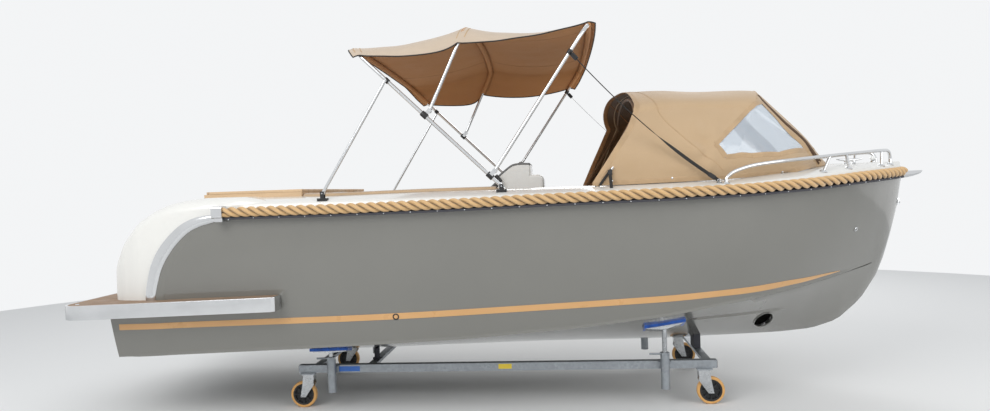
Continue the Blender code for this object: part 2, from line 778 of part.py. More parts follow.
def build_cushions(well_aft, aisle):
    """Build the three bench pads."""
    low = BENCH_TOP_Z + GAP
    margin = LINER_WALL + 0.012
    side_aft = well_aft + 0.01
    for side_name, side in SIDES:
        steps = 6
        outline = [(side_aft, side * aisle), (BENCH_FORE_X - 0.01, side * aisle)]
        for step in range(steps + 1):
            x = BENCH_FORE_X - 0.01 + (side_aft - BENCH_FORE_X + 0.01) * step / steps
            outline.append((x, side * (cockpit_half(x) - margin)))
        place_mesh(f"cushion_{side_name}", cushion(outline, low), "tan_cushion")
    aft = COCKPIT_AFT_X + margin
    reach = cockpit_half(COCKPIT_AFT_X) - margin
    corner = 0.13
    outline = [(well_aft, -reach - 0.005), (well_aft, reach + 0.005), (aft + corner, reach - 0.01),
               (aft, reach - corner), (aft, -reach + corner), (aft + corner, -reach + 0.01)]
    place_mesh("cushion_aft", cushion(outline, low), "tan_cushion")


def build_helm():
    """Build the helm console and the wheel on its sloped panel."""
    aft = CONSOLE_X - CONSOLE_LENGTH / 2
    fore = CONSOLE_X + CONSOLE_LENGTH / 2
    low = SOLE_Z + SOLE_THICKNESS + 2 * GAP
    panel_low = CONSOLE_TOP_Z - CONSOLE_PANEL_DROP
    knee = 0.09
    profile = [(aft + knee, low), (aft + knee, panel_low - 0.22), (aft, panel_low - 0.06),
               (aft, panel_low), (fore - 0.13, CONSOLE_TOP_Z), (fore - 0.02, CONSOLE_TOP_Z),
               (fore, CONSOLE_TOP_Z - 0.03), (fore, low)]
    half = CONSOLE_WIDTH / 2
    shell = loft([[(x, CONSOLE_Y + y, z) for x, z in profile] for y in (-half, half)])
    item = place_mesh("helm_console", shell, "white_gelcoat")
    bevel = item.modifiers.new("soft_edges", "BEVEL")
    bevel.width = 0.018
    bevel.segments = 2
    bevel.limit_method = "ANGLE"
    seat = Vector(((aft + fore - 0.13) / 2, CONSOLE_Y, (panel_low + CONSOLE_TOP_Z) / 2))
    slope = Vector((fore - 0.13 - aft, 0.0, CONSOLE_PANEL_DROP)).normalized()
    axis = Vector((-slope.z, 0.0, slope.x))
    hub = seat + axis * WHEEL_STAND_OFF
    rim_centre = hub + axis * WHEEL_DISH
    steps = 24
    rings = []
    for step in range(steps):
        angle = 2 * math.pi * step / steps
        spoke = slope * math.cos(angle) + Vector((0, 1, 0)) * math.sin(angle)
        rings.append([rim_centre + spoke * (WHEEL_RADIUS - WHEEL_RIM_RADIUS + across) + axis * rise
                      for across, rise in circle(WHEEL_RIM_RADIUS)])
    rim = loft(rings, round_trip=True)
    hub_mesh = cylinder(seat + axis * 2 * GAP, hub + axis * 0.02, WHEEL_HUB_RADIUS, 16)
    spokes = []
    for turn in (90, 210, 330):
        angle = math.radians(turn)
        spoke = slope * math.cos(angle) + Vector((0, 1, 0)) * math.sin(angle)
        spokes.append(cylinder(hub, rim_centre + spoke * (WHEEL_RADIUS - WHEEL_RIM_RADIUS),
                               0.009, 8))
    place_mesh("steering_wheel", joined(rim, hub_mesh, *spokes), "wheel_leather", seat)


def side_route(side, aft, fore, out, rise):
    """Return points along the sheer on one side, moved out and up from it."""
    points = []
    step_size = 0.01
    for x in stations_between(aft, fore):
        tangent = Vector((2 * step_size, sheer_half(x + step_size) - sheer_half(x - step_size)))
        normal = Vector((-tangent.y, tangent.x)).normalized()
        points.append((x + normal.x * out, side * (sheer_half(x) + normal.y * out),
                       hull_value(x, SHEER_Z) + rise))
    return points


def build_fender():
    """Build the rope fender and the rubber strip under it on both sides."""
    for side_name, side in SIDES:
        rope = side_route(side, ROPE_AFT_X, ROPE_FORE_X,
                          STRIP_SEAT + STRIP_BACK + GAP + ROPE_RADIUS, ROPE_CENTRE_ABOVE_SHEER)
        place_mesh(f"rope_{side_name}", tube(rope, ROPE_RADIUS, 12), "rope")
        low = ROPE_CENTRE_ABOVE_SHEER - ROPE_RADIUS - GAP
        strip = side_route(side, ROPE_AFT_X, ROPE_FORE_X, STRIP_SEAT, 0.0)
        back, reach = STRIP_BACK, STRIP_LIP_REACH
        section = [(0.0, low - STRIP_LIP_HEIGHT), (reach, low - STRIP_LIP_HEIGHT), (reach, low),
                   (back, low), (back, -STRIP_SEAT * 2), (0.0, -STRIP_SEAT * 2)]
        turned_section = [(-side * across, rise) for across, rise in section]
        place_mesh(f"rub_strip_{side_name}", swept(strip, turned_section), "black_rubber")


def build_bow_plate():
    """Build the polished nose plate at the stem head."""
    aft, tip, half = BOW_PLATE_AFT_X, BOW_TIP_X, BOW_PLATE_HALF
    outline = [(aft, -half), (aft + 0.05, -half * 0.86), (aft + 0.11, -half * 0.5), (tip, -0.008),
               (tip, 0.008), (aft + 0.11, half * 0.5), (aft + 0.05, half * 0.86), (aft, half)]
    place_mesh("bow_plate", prism(outline, BOW_PLATE_BOTTOM_Z, BOW_PLATE_TOP_Z), "stainless")


def trim_rise(x):
    """Return how much the trimmed boat rises at x above the platform's level place."""
    return TRIM_SLOPE * (x - PLATFORM_LEVEL_X)


def platform_height(x):
    """Return the height of the platform's top at x."""
    return PLATFORM_TOP_Z + trim_rise(x)


def trimmed(mesh):
    """Slope a level mesh up to the bow with the boat's trim."""
    for vertex in mesh.vertices:
        vertex.co.z += trim_rise(vertex.co.x)
    return mesh


def platform_outline(inset):
    """Return the platform's plan outline, moved in by an inset."""
    half = PLATFORM_HALF_WIDTH - inset
    aft = STERN_X + inset
    fore = PLATFORM_FORE_X - inset
    corner = PLATFORM_CORNER - inset * 0.5
    port = [(fore, half - 0.02), (fore - 0.02, half)]
    for step in range(5):
        angle = math.radians(90 * step / 4)
        port.append((aft + corner - corner * math.sin(angle),
                     half - corner + corner * math.cos(angle)))
    return port + [(x, -y) for x, y in reversed(port)]


def build_platform():
    """Build the swim platform that wraps the stern: body, steel rim and teak top."""
    top = PLATFORM_TOP_Z
    low = top - PLATFORM_HEIGHT
    margin = 0.25
    stations = stations_between(STERN_STEP_X, PLATFORM_FORE_X + 0.1)

    def room(extra):
        """Return a cutter for the hull inside the platform."""
        half = [(x - extra * (x == stations[0]), hull_side_at(x, platform_height(x)) + extra)
                for x in stations]
        outline = half + [(x, -y) for x, y in reversed(half)]
        return prism(outline, low - margin, top + margin)

    body = cut(prism(platform_outline(PLATFORM_RIM + GAP), low + PLATFORM_RIM_DROP,
                     top - PLATFORM_TEAK - GAP), room(PLATFORM_SEAT))
    place_mesh("platform_base", trimmed(body), "white_gelcoat")
    teak = cut(prism(platform_outline(PLATFORM_RIM + GAP), top - PLATFORM_TEAK, top), room(0.004))
    place_mesh("platform_teak", trimmed(teak), "teak")
    rim = cut(prism(platform_outline(0.0), low, top),
              prism(platform_outline(PLATFORM_RIM), low - margin, top + margin), room(PLATFORM_SEAT))
    place_mesh("platform_rim", trimmed(rim), "stainless")


def build_aft_board():
    """Build the wooden board on the aft deck."""
    crown = max(deck_top(x, 0.0) for x in stations_between(DECK_AFT_X, COCKPIT_AFT_X))
    low = crown + 2 * GAP
    outline = [(BOARD_AFT_X, -BOARD_HALF + 0.05), (BOARD_AFT_X + 0.05, -BOARD_HALF),
               (BOARD_FORE_X, -BOARD_HALF), (BOARD_FORE_X, BOARD_HALF),
               (BOARD_AFT_X + 0.05, BOARD_HALF), (BOARD_AFT_X, BOARD_HALF - 0.05)]
    place_mesh("aft_deck_board", prism(outline, low, low + BOARD_THICKNESS), "teak")


def pivot_above(x, y, rise):
    """Return the (x, z) place of a pivot at a rise above its foot on the deck."""
    return x, deck_top(x, y) + FOOT_THICK + rise


def side_point(pivot, direction, along, off):
    """Return the (x, z) point along a tube and off to its upper forward side."""
    normal = Vector((direction.y, -direction.x))
    return Vector(pivot) + direction * along + normal * off


MAIN_PIVOT = pivot_above(MAIN_PIVOT_X, CANOPY_HALF, MAIN_PIVOT_RISE)
STRUT_FOOT = pivot_above(STRUT_FOOT_X, CANOPY_HALF + STRUT_OUT, STRUT_FOOT_RISE)
MAIN_DIRECTION = (Vector(MAIN_TIP) - Vector(MAIN_PIVOT)).normalized()
FRONT_PIVOT = side_point(MAIN_PIVOT, MAIN_DIRECTION, FRONT_PIVOT_ALONG, FRONT_PIVOT_OFF)
MID_PIVOT = side_point(MAIN_PIVOT, MAIN_DIRECTION, MID_PIVOT_ALONG, MID_PIVOT_OFF)
STRUT_TOP = side_point(MAIN_PIVOT, MAIN_DIRECTION, STRUT_ALONG, 0.0)


def bow_route(pivot, tip, half, start):
    """Return a bow's route up one leg, over the arched top and down the other leg."""
    pivot, tip = Vector(pivot), Vector(tip)
    direction = (tip - pivot).normalized()
    length = (tip - pivot).length
    points = []
    for along in (start, length * 0.5, length - BOW_CORNER):
        points.append((half, along))
    for step in range(1, 4):
        angle = math.radians(90 * step / 4)
        points.append((half - BOW_CORNER * (1 - math.cos(angle)),
                       length - BOW_CORNER + BOW_CORNER * math.sin(angle)))
    inner = half - BOW_CORNER
    for step in range(0, 4):
        y = inner * (1 - step / 4)
        points.append((y, length + BOW_CAMBER * (1 - (y / inner) ** 2)))
    centre = [(0.0, length + BOW_CAMBER)]
    both = [(-y, along) for y, along in points] + centre
    both += [(y, along) for y, along in reversed(points)]
    return [(pivot.x + direction.x * along, y, pivot.y + direction.y * along)
            for y, along in both]


def bow(name, pivot, tip, half, fittings=()):
    """Build one bow of the canopy with a round eye end on each leg."""
    direction = (Vector(tip) - Vector(pivot)).normalized()
    level = (-direction.y, 0.0, direction.x)
    route = bow_route(pivot, tip, half, 0.012)
    frame = tube(route, TUBE_RADIUS, TUBE_STEPS, level)
    ends = [cylinder((pivot[0], side * half - EYE_HALF, pivot[1]),
                     (pivot[0], side * half + EYE_HALF, pivot[1]), EYE_RADIUS, 12)
            for _, side in SIDES]
    place_mesh(name, joined(frame, *ends, *fittings), "stainless", (pivot[0], 0.0, pivot[1]))


def wedge(x, y, half_length, half_width, top):
    """Return a pad with a flat top whose underside lies on the sloped side deck."""
    near, far = y - half_width, y + half_width
    aft, fore = x - half_length, x + half_length
    high = 0.0
    for along, across in ((a / 4, b / 4) for a in range(5) for b in range(5)):
        level = sum(deck_top(aft if end else fore, near if edge else far)
                    * (1 - along if end else along) * (1 - across if edge else across)
                    for end in (True, False) for edge in (True, False))
        place = (aft + (fore - aft) * along, near + (far - near) * across)
        high = max(high, deck_top(*place) - level)
    seat = WEDGE_SEAT + high
    return loft([[(place, near, deck_top(place, near) + seat),
                  (place, far, deck_top(place, far) + seat), (place, far, top),
                  (place, near, top)] for place in (aft, fore)])


def deck_foot(pivot, y, eye_half):
    """Return a deck foot with two cheeks beside the eye that turns at a pivot."""
    x, height = pivot
    top = deck_top(x, y) + FOOT_THICK
    cheeks = [box((x - FOOT_CHEEK, y + lean - CHEEK_THICK / 2, top - CHEEK_THICK),
                  (x + FOOT_CHEEK, y + lean + CHEEK_THICK / 2, height + FOOT_CHEEK))
              for lean in (-eye_half - GAP - CHEEK_THICK / 2, eye_half + GAP + CHEEK_THICK / 2)]
    base = wedge(x, y, FOOT_HALF_LENGTH, eye_half + CHEEK_THICK + 0.006, top)
    return joined(base, *cheeks)


def slide_fitting(pivot, along, side, half):
    """Return the sleeve on a main leg and the cheek that reaches to another bow's pivot."""
    place = Vector(MAIN_PIVOT) + MAIN_DIRECTION * along
    start = place - MAIN_DIRECTION * SLIDE_HALF_LENGTH
    end = place + MAIN_DIRECTION * SLIDE_HALF_LENGTH
    leg = side * CANOPY_HALF
    sleeve = cylinder((start.x, leg, start.y), (end.x, leg, end.y), SLIDE_RADIUS, 12)
    beyond = pivot + (pivot - place).normalized() * FOOT_CHEEK
    width = MAIN_DIRECTION * FOOT_CHEEK
    near = half + EYE_HALF + GAP
    rings = [[(point.x, side * y, point.y) for point in
              (place - width, place + width, beyond + width, beyond - width)]
             for y in (near, near + CHEEK_THICK)]
    return sleeve, loft(rings)


def build_canopy_frame():
    """Build the three bows, the feet and the aft struts."""
    for side_name, side in SIDES:
        y = side * CANOPY_HALF
        place_mesh(f"canopy_foot_{side_name}", deck_foot(MAIN_PIVOT, y, EYE_HALF), "stainless")
        out = side * (CANOPY_HALF + STRUT_OUT)
        place_mesh(f"strut_foot_{side_name}", deck_foot(STRUT_FOOT, out, STRUT_EYE_HALF),
                   "stainless")
        foot = (STRUT_FOOT[0], out, STRUT_FOOT[1])
        top = (STRUT_TOP.x, out, STRUT_TOP.y)
        pin = cylinder((STRUT_TOP.x, side * (CANOPY_HALF + TUBE_RADIUS + GAP), STRUT_TOP.y), top,
                       0.008, 10)
        eye = cylinder((foot[0], out - STRUT_EYE_HALF, foot[2]),
                       (foot[0], out + STRUT_EYE_HALF, foot[2]), STRUT_EYE_RADIUS, 12)
        place_mesh(f"canopy_strut_{side_name}",
                   joined(cylinder(foot, top, TUBE_RADIUS * 0.88, TUBE_STEPS), pin, eye),
                   "stainless", foot)
    fittings = []
    for _, side in SIDES:
        fittings += slide_fitting(FRONT_PIVOT, FRONT_PIVOT_ALONG, side, CANOPY_HALF)
        fittings += slide_fitting(MID_PIVOT, MID_PIVOT_ALONG, side, CANOPY_HALF - MID_INSET)
    bow("canopy_main_bow", MAIN_PIVOT, MAIN_TIP, CANOPY_HALF, fittings)
    bow("canopy_front_bow", FRONT_PIVOT, FRONT_TIP, CANOPY_HALF)
    bow("canopy_mid_bow", MID_PIVOT, MID_TIP, CANOPY_HALF - MID_INSET)


def canopy_section(bow_shape, shift, off):
    """Return points across the canopy over a bow, from starboard to port.

    The bow is given as its pivot, tip and half breadth, the shift is in x and z.
    """
    pivot, tip, reach = Vector(bow_shape[0]), Vector(bow_shape[1]), bow_shape[2]
    direction = (tip - pivot).normalized()
    inner = reach - BOW_CORNER
    half = []
    for step in range(5):
        angle = math.radians(90 * (1 - step / 4))
        half.append((inner + (BOW_CORNER + off) * math.sin(angle),
                     BOW_CORNER * (math.cos(angle) - 1), off * math.cos(angle)))
    for step in range(1, 5):
        y = inner * (1 - step / 4)
        half.append((y, BOW_CAMBER * (1 - (y / inner) ** 2), off))

    def place(y, along, up):
        """Return the place of a point of the section."""
        return (tip.x + shift[0] + direction.x * along, y,
                tip.y + shift[1] + direction.y * along + up)

    return ([place(-y, along, up) for y, along, up in half]
            + [place(y, along, up) for y, along, up in reversed(half[:-1])])


def build_canopy_cloth():
    """Build the canopy as one thin curved solid over the bows."""
    seat = TUBE_RADIUS + 0.001
    main = (MAIN_PIVOT, MAIN_TIP, CANOPY_HALF)
    mid = (MID_PIVOT, MID_TIP, CANOPY_HALF - MID_INSET)
    front = (FRONT_PIVOT, FRONT_TIP, CANOPY_HALF)

    def halfway(first, second):
        """Return the mean of two bows."""
        return ((Vector(first[0]) + Vector(second[0])) / 2,
                (Vector(first[1]) + Vector(second[1])) / 2, (first[2] + second[2]) / 2)

    places = [(main, (-CLOTH_OVERHANG, -CLOTH_NOSE)), (main, (0.0, 0.0)),
              (halfway(main, mid), (0.0, -CLOTH_DIP)), (mid, (0.0, 0.0)),
              (halfway(mid, front), (0.0, -CLOTH_DIP)), (front, (0.0, 0.0)),
              (front, (CLOTH_OVERHANG, -CLOTH_NOSE))]
    rings = []
    for shape, shift in places:
        top = canopy_section(shape, shift, seat + CLOTH)
        under = canopy_section(shape, shift, seat)
        rings.append(top + list(reversed(under)))
    place_mesh("canopy_cloth", loft(rings), "tan_canvas", (MAIN_PIVOT[0], 0.0, MAIN_PIVOT[1]))


def build_straps():
    """Build the straps from the front bow to the foredeck."""
    high = Vector((FRONT_PIVOT.x, 0.0, FRONT_PIVOT.y)).lerp(
        Vector((FRONT_TIP[0], 0.0, FRONT_TIP[1])), 0.80)
    for side_name, side in SIDES:
        y_top = side * (CANOPY_HALF + TUBE_RADIUS + STRAP_THICKNESS / 2 + 2 * GAP)
        foot_x, foot_y = STRAP_FOOT
        low = Vector((foot_x, side * foot_y, deck_top(foot_x, foot_y) + STRAP_WIDTH / 2))
        steps = 10
        route = []
        for step in range(steps + 1):
            part = step / steps
            point = Vector((high.x, y_top, high.z)).lerp(low, part)
            point.z -= 4 * STRAP_SAG * part * (1 - part)
            route.append(point)
        half, thick = STRAP_WIDTH / 2, STRAP_THICKNESS / 2
        section = [(-thick, -half), (thick, -half), (thick, half), (-thick, half)]
        place_mesh(f"canopy_strap_{side_name}", swept(route, section), "webbing")


def hood_row(place):
    """Return the hood's section at a place counted along the table."""
    index = min(int(place), len(HOOD_SECTIONS) - 2)
    share = place - index
    return [a + (b - a) * share for a, b in zip(HOOD_SECTIONS[index], HOOD_SECTIONS[index + 1])]


def hood_point(row, part, inward=0.0):
    """Return a point of the hood on a section, part -1 starboard hem to 1 port hem."""
    base_x, shoulder_x, top_x, shoulder_y, shoulder_z, top_z = row
    base_y = sheer_half(base_x) - HOOD_INSET
    base_z = deck_top(base_x, base_y) + HOOD_SEAT
    reach = abs(part)
    side = math.copysign(1.0, part)
    if reach > HOOD_SHOULDER:
        share = (1 - reach) / (1 - HOOD_SHOULDER)
        bulge = HOOD_BULGE * math.sin(math.pi * share)
        x = base_x + (shoulder_x - base_x) * share
        y = base_y + (shoulder_y - base_y) * share ** 1.6 + bulge
        z = base_z + (shoulder_z - base_z) * share
    else:
        share = 1 - reach / HOOD_SHOULDER
        turn = share * math.pi / 2
        x = shoulder_x + (top_x - shoulder_x) * share
        y = shoulder_y * math.cos(turn)
        z = shoulder_z + (top_z - shoulder_z) * math.sin(turn)
    return Vector((x, side * (y - inward), z - inward * (1 - reach)))


def hood_skins(places, parts, outer_depth, inner_depth):
    """Return the outer and inner points of the hood as lists of rows."""
    low, high = HOOD_ROWS[0], HOOD_ROWS[-1]
    step = 0.02
    outer, inner = [], []
    for place in places:
        outer_row, inner_row = [], []
        before, after = hood_row(max(place - step, low)), hood_row(min(place + step, high))
        for part in parts:
            point = hood_point(hood_row(place), part)
            along = hood_point(after, part) - hood_point(before, part)
            across = (hood_point(hood_row(place), min(part + step, 1.0))
                      - hood_point(hood_row(place), max(part - step, -1.0)))
            normal = along.cross(across).normalized()
            for row, depth in ((outer_row, outer_depth), (inner_row, inner_depth)):
                spot = point - normal * depth
                floor = deck_top(spot.x, spot.y) + HOOD_SEAT
                if place == high or abs(part) == 1:
                    spot.z = floor
                row.append(spot)
        outer.append(outer_row)
        inner.append(inner_row)
    return outer, inner


def skin(outer, inner, cells):
    """Return a closed thin body from two grids of points and the cells that it has."""
    points, faces, numbers = [], [], {}

    def number(grid, key):
        """Return the number of a grid's point, which is added once."""
        mark = (grid is outer, key)
        if mark not in numbers:
            numbers[mark] = len(points)
            points.append(grid[key[0]][key[1]])
        return numbers[mark]

    for row, col in sorted(cells):
        corners = ((row, col), (row, col + 1), (row + 1, col + 1), (row + 1, col))
        faces.append([number(outer, key) for key in corners])
        faces.append([number(inner, key) for key in reversed(corners)])
        beside = ((row - 1, col), (row, col + 1), (row + 1, col), (row, col - 1))
        for index, other in enumerate(beside):
            if other not in cells:
                first, second = corners[index], corners[(index + 1) % 4]
                faces.append([number(outer, second), number(outer, first),
                              number(inner, first), number(inner, second)])
    return mesh_from(points, faces)


def grid_cells(places, parts):
    """Return the cells of a whole grid of rows and lines."""
    return {(row, col) for row in range(len(places) - 1) for col in range(len(parts) - 1)}


def build_hood():
    """Build the spray hood, its clear windows and the hoop that holds it."""
    lines = [-part for part in reversed(HOOD_LINES[1:])] + list(HOOD_LINES)
    open_cells = set()
    for name, low, high in WINDOWS:
        rows = [place for place in HOOD_ROWS if WINDOW_ROWS[0] <= place <= WINDOW_ROWS[1]]
        cols = [part for part in lines if low <= part <= high]
        first_row, first_col = HOOD_ROWS.index(rows[0]), lines.index(cols[0])
        open_cells |= {(first_row + row, first_col + col) for row, col in grid_cells(rows, cols)}
        rows[0] += WINDOW_ROW_EDGE
        rows[-1] -= WINDOW_ROW_EDGE
        cols[0] += WINDOW_LINE_EDGE
        cols[-1] -= WINDOW_LINE_EDGE
        outer, inner = hood_skins(rows, cols, HOOD_CLOTH * 0.3, HOOD_CLOTH * 0.6)
        place_mesh(f"hood_window_{name}", skin(outer, inner, grid_cells(rows, cols)), "clear_vinyl")
    outer, inner = hood_skins(HOOD_ROWS, lines, 0.0, HOOD_CLOTH)
    cells = grid_cells(HOOD_ROWS, lines) - open_cells
    place_mesh("hood_cloth", skin(outer, inner, cells), "tan_canvas")
    row = list(HOOD_SECTIONS[0])
    for column in (0, 1, 2):
        row[column] += HOOP_BACK
    inward = HOOD_CLOTH + TUBE_RADIUS + HOOP_CLEAR
    route = [hood_point(row, part, inward) for part in between(-HOOP_END, HOOP_END, HOOP_STEPS)]
    feet = [wedge(end.x, end.y, RAIL_FOOT, RAIL_FOOT, end.z) for end in (route[0], route[-1])]
    hoop = tube(route, TUBE_RADIUS * 0.9, TUBE_STEPS, (1.0, 0.0, 0.0))
    place_mesh("hood_hoop", joined(hoop, *feet), "stainless")


def between(first, last, steps):
    """Return evenly spaced values."""
    return [first + (last - first) * step / steps for step in range(steps + 1)]


def build_bow_rails():
    """Build the low rail on each side of the foredeck with its posts."""
    for side_name, side in SIDES:
        route = []
        for x, rise in RAIL_ROUTE:
            inset = sheer_half(x) - RAIL_INSET
            route.append((x, side * inset, deck_top(x, inset) + rise))
        parts = []
        for x, lean in RAIL_POSTS:
            inset = sheer_half(x) - RAIL_INSET
            low = deck_top(x, inset) + RAIL_FOOT_HEIGHT
            top_x = x + lean
            parts.append(cylinder((x, side * inset, low - 0.003),
                                  (top_x, side * (sheer_half(top_x) - RAIL_INSET), low + RAIL_HEIGHT),
                                  RAIL_RADIUS * 0.8, TUBE_STEPS))
        for x in [x for x, _ in RAIL_POSTS] + [RAIL_ROUTE[0][0], RAIL_ROUTE[-1][0]]:
            inset = sheer_half(x) - RAIL_INSET
            parts.append(wedge(x, side * inset, RAIL_FOOT, RAIL_FOOT,
                               deck_top(x, inset) + RAIL_FOOT_HEIGHT))
        rail = tube(route, RAIL_RADIUS, TUBE_STEPS, (0.0, side, 0.0))
        place_mesh(f"bow_rail_{side_name}", joined(rail, *parts), "stainless")


def castor_places():
    """Return a name, swivel place and trailing direction for each castor."""
    places = []
    for end, x, way in CASTOR_X:
        for side_name, side in SIDES:
            places.append((f"{end}_{side_name}", x, side * BEAM_HALF_TRACK, way))
    return places


def jack_places():
    """Return a name and place for each jack."""
    places = []
    for end, x in JACK_X:
        for side_name, side in SIDES:
            places.append((f"{end}_{side_name}", x, side))
    return places


def build_trolley_frame():
    """Build the welded trolley frame with its jack sleeves."""
    low = BEAM_TOP_Z - BEAM_HEIGHT
    half = BEAM_WIDTH / 2
    beams = [box((BEAM_AFT_X, side * BEAM_HALF_TRACK - half, low),
                 (BEAM_FORE_X, side * BEAM_HALF_TRACK + half, BEAM_TOP_Z)) for _, side in SIDES]
    cross_low = low + 0.004
    cross_top = BEAM_TOP_Z - CROSS_DROP
    crosses = []
    for x in (FRONT_CROSS_X, REAR_CROSS_X, TIE_X):
        crosses.append(box((x - CROSS_WIDTH / 2, -BEAM_HALF_TRACK, cross_low),
                           (x + CROSS_WIDTH / 2, BEAM_HALF_TRACK, cross_top)))
    sleeves, bores = [], []
    for _, x, side in jack_places():
        y = side * JACK_Y
        sleeves.append(cylinder((x, y, SLEEVE_BOTTOM_Z), (x, y, SLEEVE_TOP_Z), SLEEVE_RADIUS))
        near, far = sorted((side * (BEAM_HALF_TRACK - 0.02), side * (JACK_Y - SLEEVE_BORE - 0.004)))
        sleeves.append(box((x - 0.045, near, low + 0.006), (x + 0.045, far, BEAM_TOP_Z - 0.006)))
        nut_mid = SLEEVE_TOP_Z + NUT_HEIGHT / 2
        sleeves.append(cylinder((x, y, SLEEVE_TOP_Z - 0.004), (x, y, SLEEVE_TOP_Z + NUT_HEIGHT),
                                NUT_RADIUS, 6))
        sleeves.append(cylinder((x - NUT_RADIUS * 0.7, y, nut_mid), (x - HANDLE_REACH, y, nut_mid),
                                HANDLE_RADIUS, 8))
        bores.append(cylinder((x, y, SLEEVE_BOTTOM_Z - 0.01), (x, y, SLEEVE_TOP_Z - 0.004),
                              SLEEVE_BORE))
        bores.append(cylinder((x, y, SLEEVE_TOP_Z - 0.01), (x, y, SLEEVE_TOP_Z + NUT_HEIGHT + 0.01),
                              SPINDLE_RADIUS + SPINDLE_CLEARANCE, 16))
    for _, x, y, _ in castor_places():
        reach = TOP_PLATE / 2
        sleeves.append(box((x - reach, y - reach, low - TOP_PLATE_THICK),
                           (x + reach, y + reach, low + 0.002)))
        bores.append(cylinder((x, y, low - TOP_PLATE_THICK - 0.01), (x, y, low - GAP),
                              SWIVEL_STEM + STEM_CLEARANCE, 16))
    frame = joined(beams[0], beams[1], *crosses, *sleeves)
    place_mesh("trolley_frame", cut(frame, *bores), "galvanised")
    for name, x in (("front", FRONT_CROSS_X), ("rear", REAR_CROSS_X)):
        place_mesh(f"keel_pad_{name}", keel_pad_rings(x, cross_top + GAP), "black_rubber")
    for side_name, side in SIDES:
        y = side * PROP_Y
        top = bottom_height(TIE_X, PROP_Y - PROP_RADIUS) - HULL_SEAT
        post = cylinder((TIE_X, y, cross_top + GAP), (TIE_X, y, top), PROP_RADIUS, 12)
        foot = cylinder((TIE_X, y, cross_top + GAP), (TIE_X, y, cross_top + 0.012), PROP_FOOT, 12)
        place_mesh(f"keel_prop_{side_name}", joined(post, foot), "black_rubber")


def keel_pad_rings(x, low):
    """Return a pad that is shaped to the keel over a cross beam."""
    rings = []
    half = KEEL_PAD_LENGTH / 2
    for y in (-half, -half * 0.5, 0.0, half * 0.5, half):
        aft = x - CROSS_WIDTH / 2 + KEEL_PAD_EDGE
        fore = x + CROSS_WIDTH / 2 - KEEL_PAD_EDGE
        reach = abs(y)
        rings.append([(aft, y, low), (fore, y, low), (fore, y, bottom_height(fore, reach) - HULL_SEAT),
                      (aft, y, bottom_height(aft, reach) - HULL_SEAT)])
    return loft(rings)


def build_jacks():
    """Build the screw jacks with the padded boards that meet the hull."""
    for name, x, side in jack_places():
        y = side * JACK_Y
        plate_low = jack_plate_height(x)
        spindle = cylinder((x, y, SLEEVE_BOTTOM_Z + jack_travel(x) + SPINDLE_HELD),
                           (x, y, plate_low + 0.001), SPINDLE_RADIUS, 16)
        plate = board_solid(x, side, -BOARD_SOFT - PLATE_THICK, -BOARD_SOFT - BOARD_SEAT,
                            PLATE_SPOTS)
        place_mesh(f"jack_screw_{name}", joined(spindle, plate), "galvanised",
                   (x, y, SLEEVE_TOP_Z))
        place_mesh(f"jack_board_{name}", board_solid(x, side, -BOARD_SOFT, -HULL_SEAT, BOARD_SPOTS),
                   "blue_pad", (x, y, SLEEVE_TOP_Z))


def jack_plate_height(x):
    """Return the underside of a jack's plate over its screw."""
    return bottom_height(x, JACK_Y) - BOARD_SOFT - PLATE_THICK


def jack_travel(x):
    """Return how far a jack's screw can go down before its plate meets the nut."""
    half = BOARD_LENGTH * PLATE_SPOTS[-1] / 2
    lowest = bottom_height(x - half, JACK_Y - BOARD_WIDTH / 2) - BOARD_SOFT - PLATE_THICK
    return lowest - SLEEVE_TOP_Z - NUT_HEIGHT - JACK_STOP_GAP


def board_solid(x, side, low, high, spots):
    """Return a board that follows the hull's bottom, between two depths under it."""
    rings = []
    ys = [JACK_Y + BOARD_WIDTH / 2 * spot for spot in spots]
    for spot in spots:
        place = x + BOARD_LENGTH / 2 * spot
        top = [(place, side * y, bottom_height(place, y) + high) for y in ys]
        under = [(place, side * y, bottom_height(place, y) + low) for y in reversed(ys)]
        rings.append(top + under)
    return loft(rings)


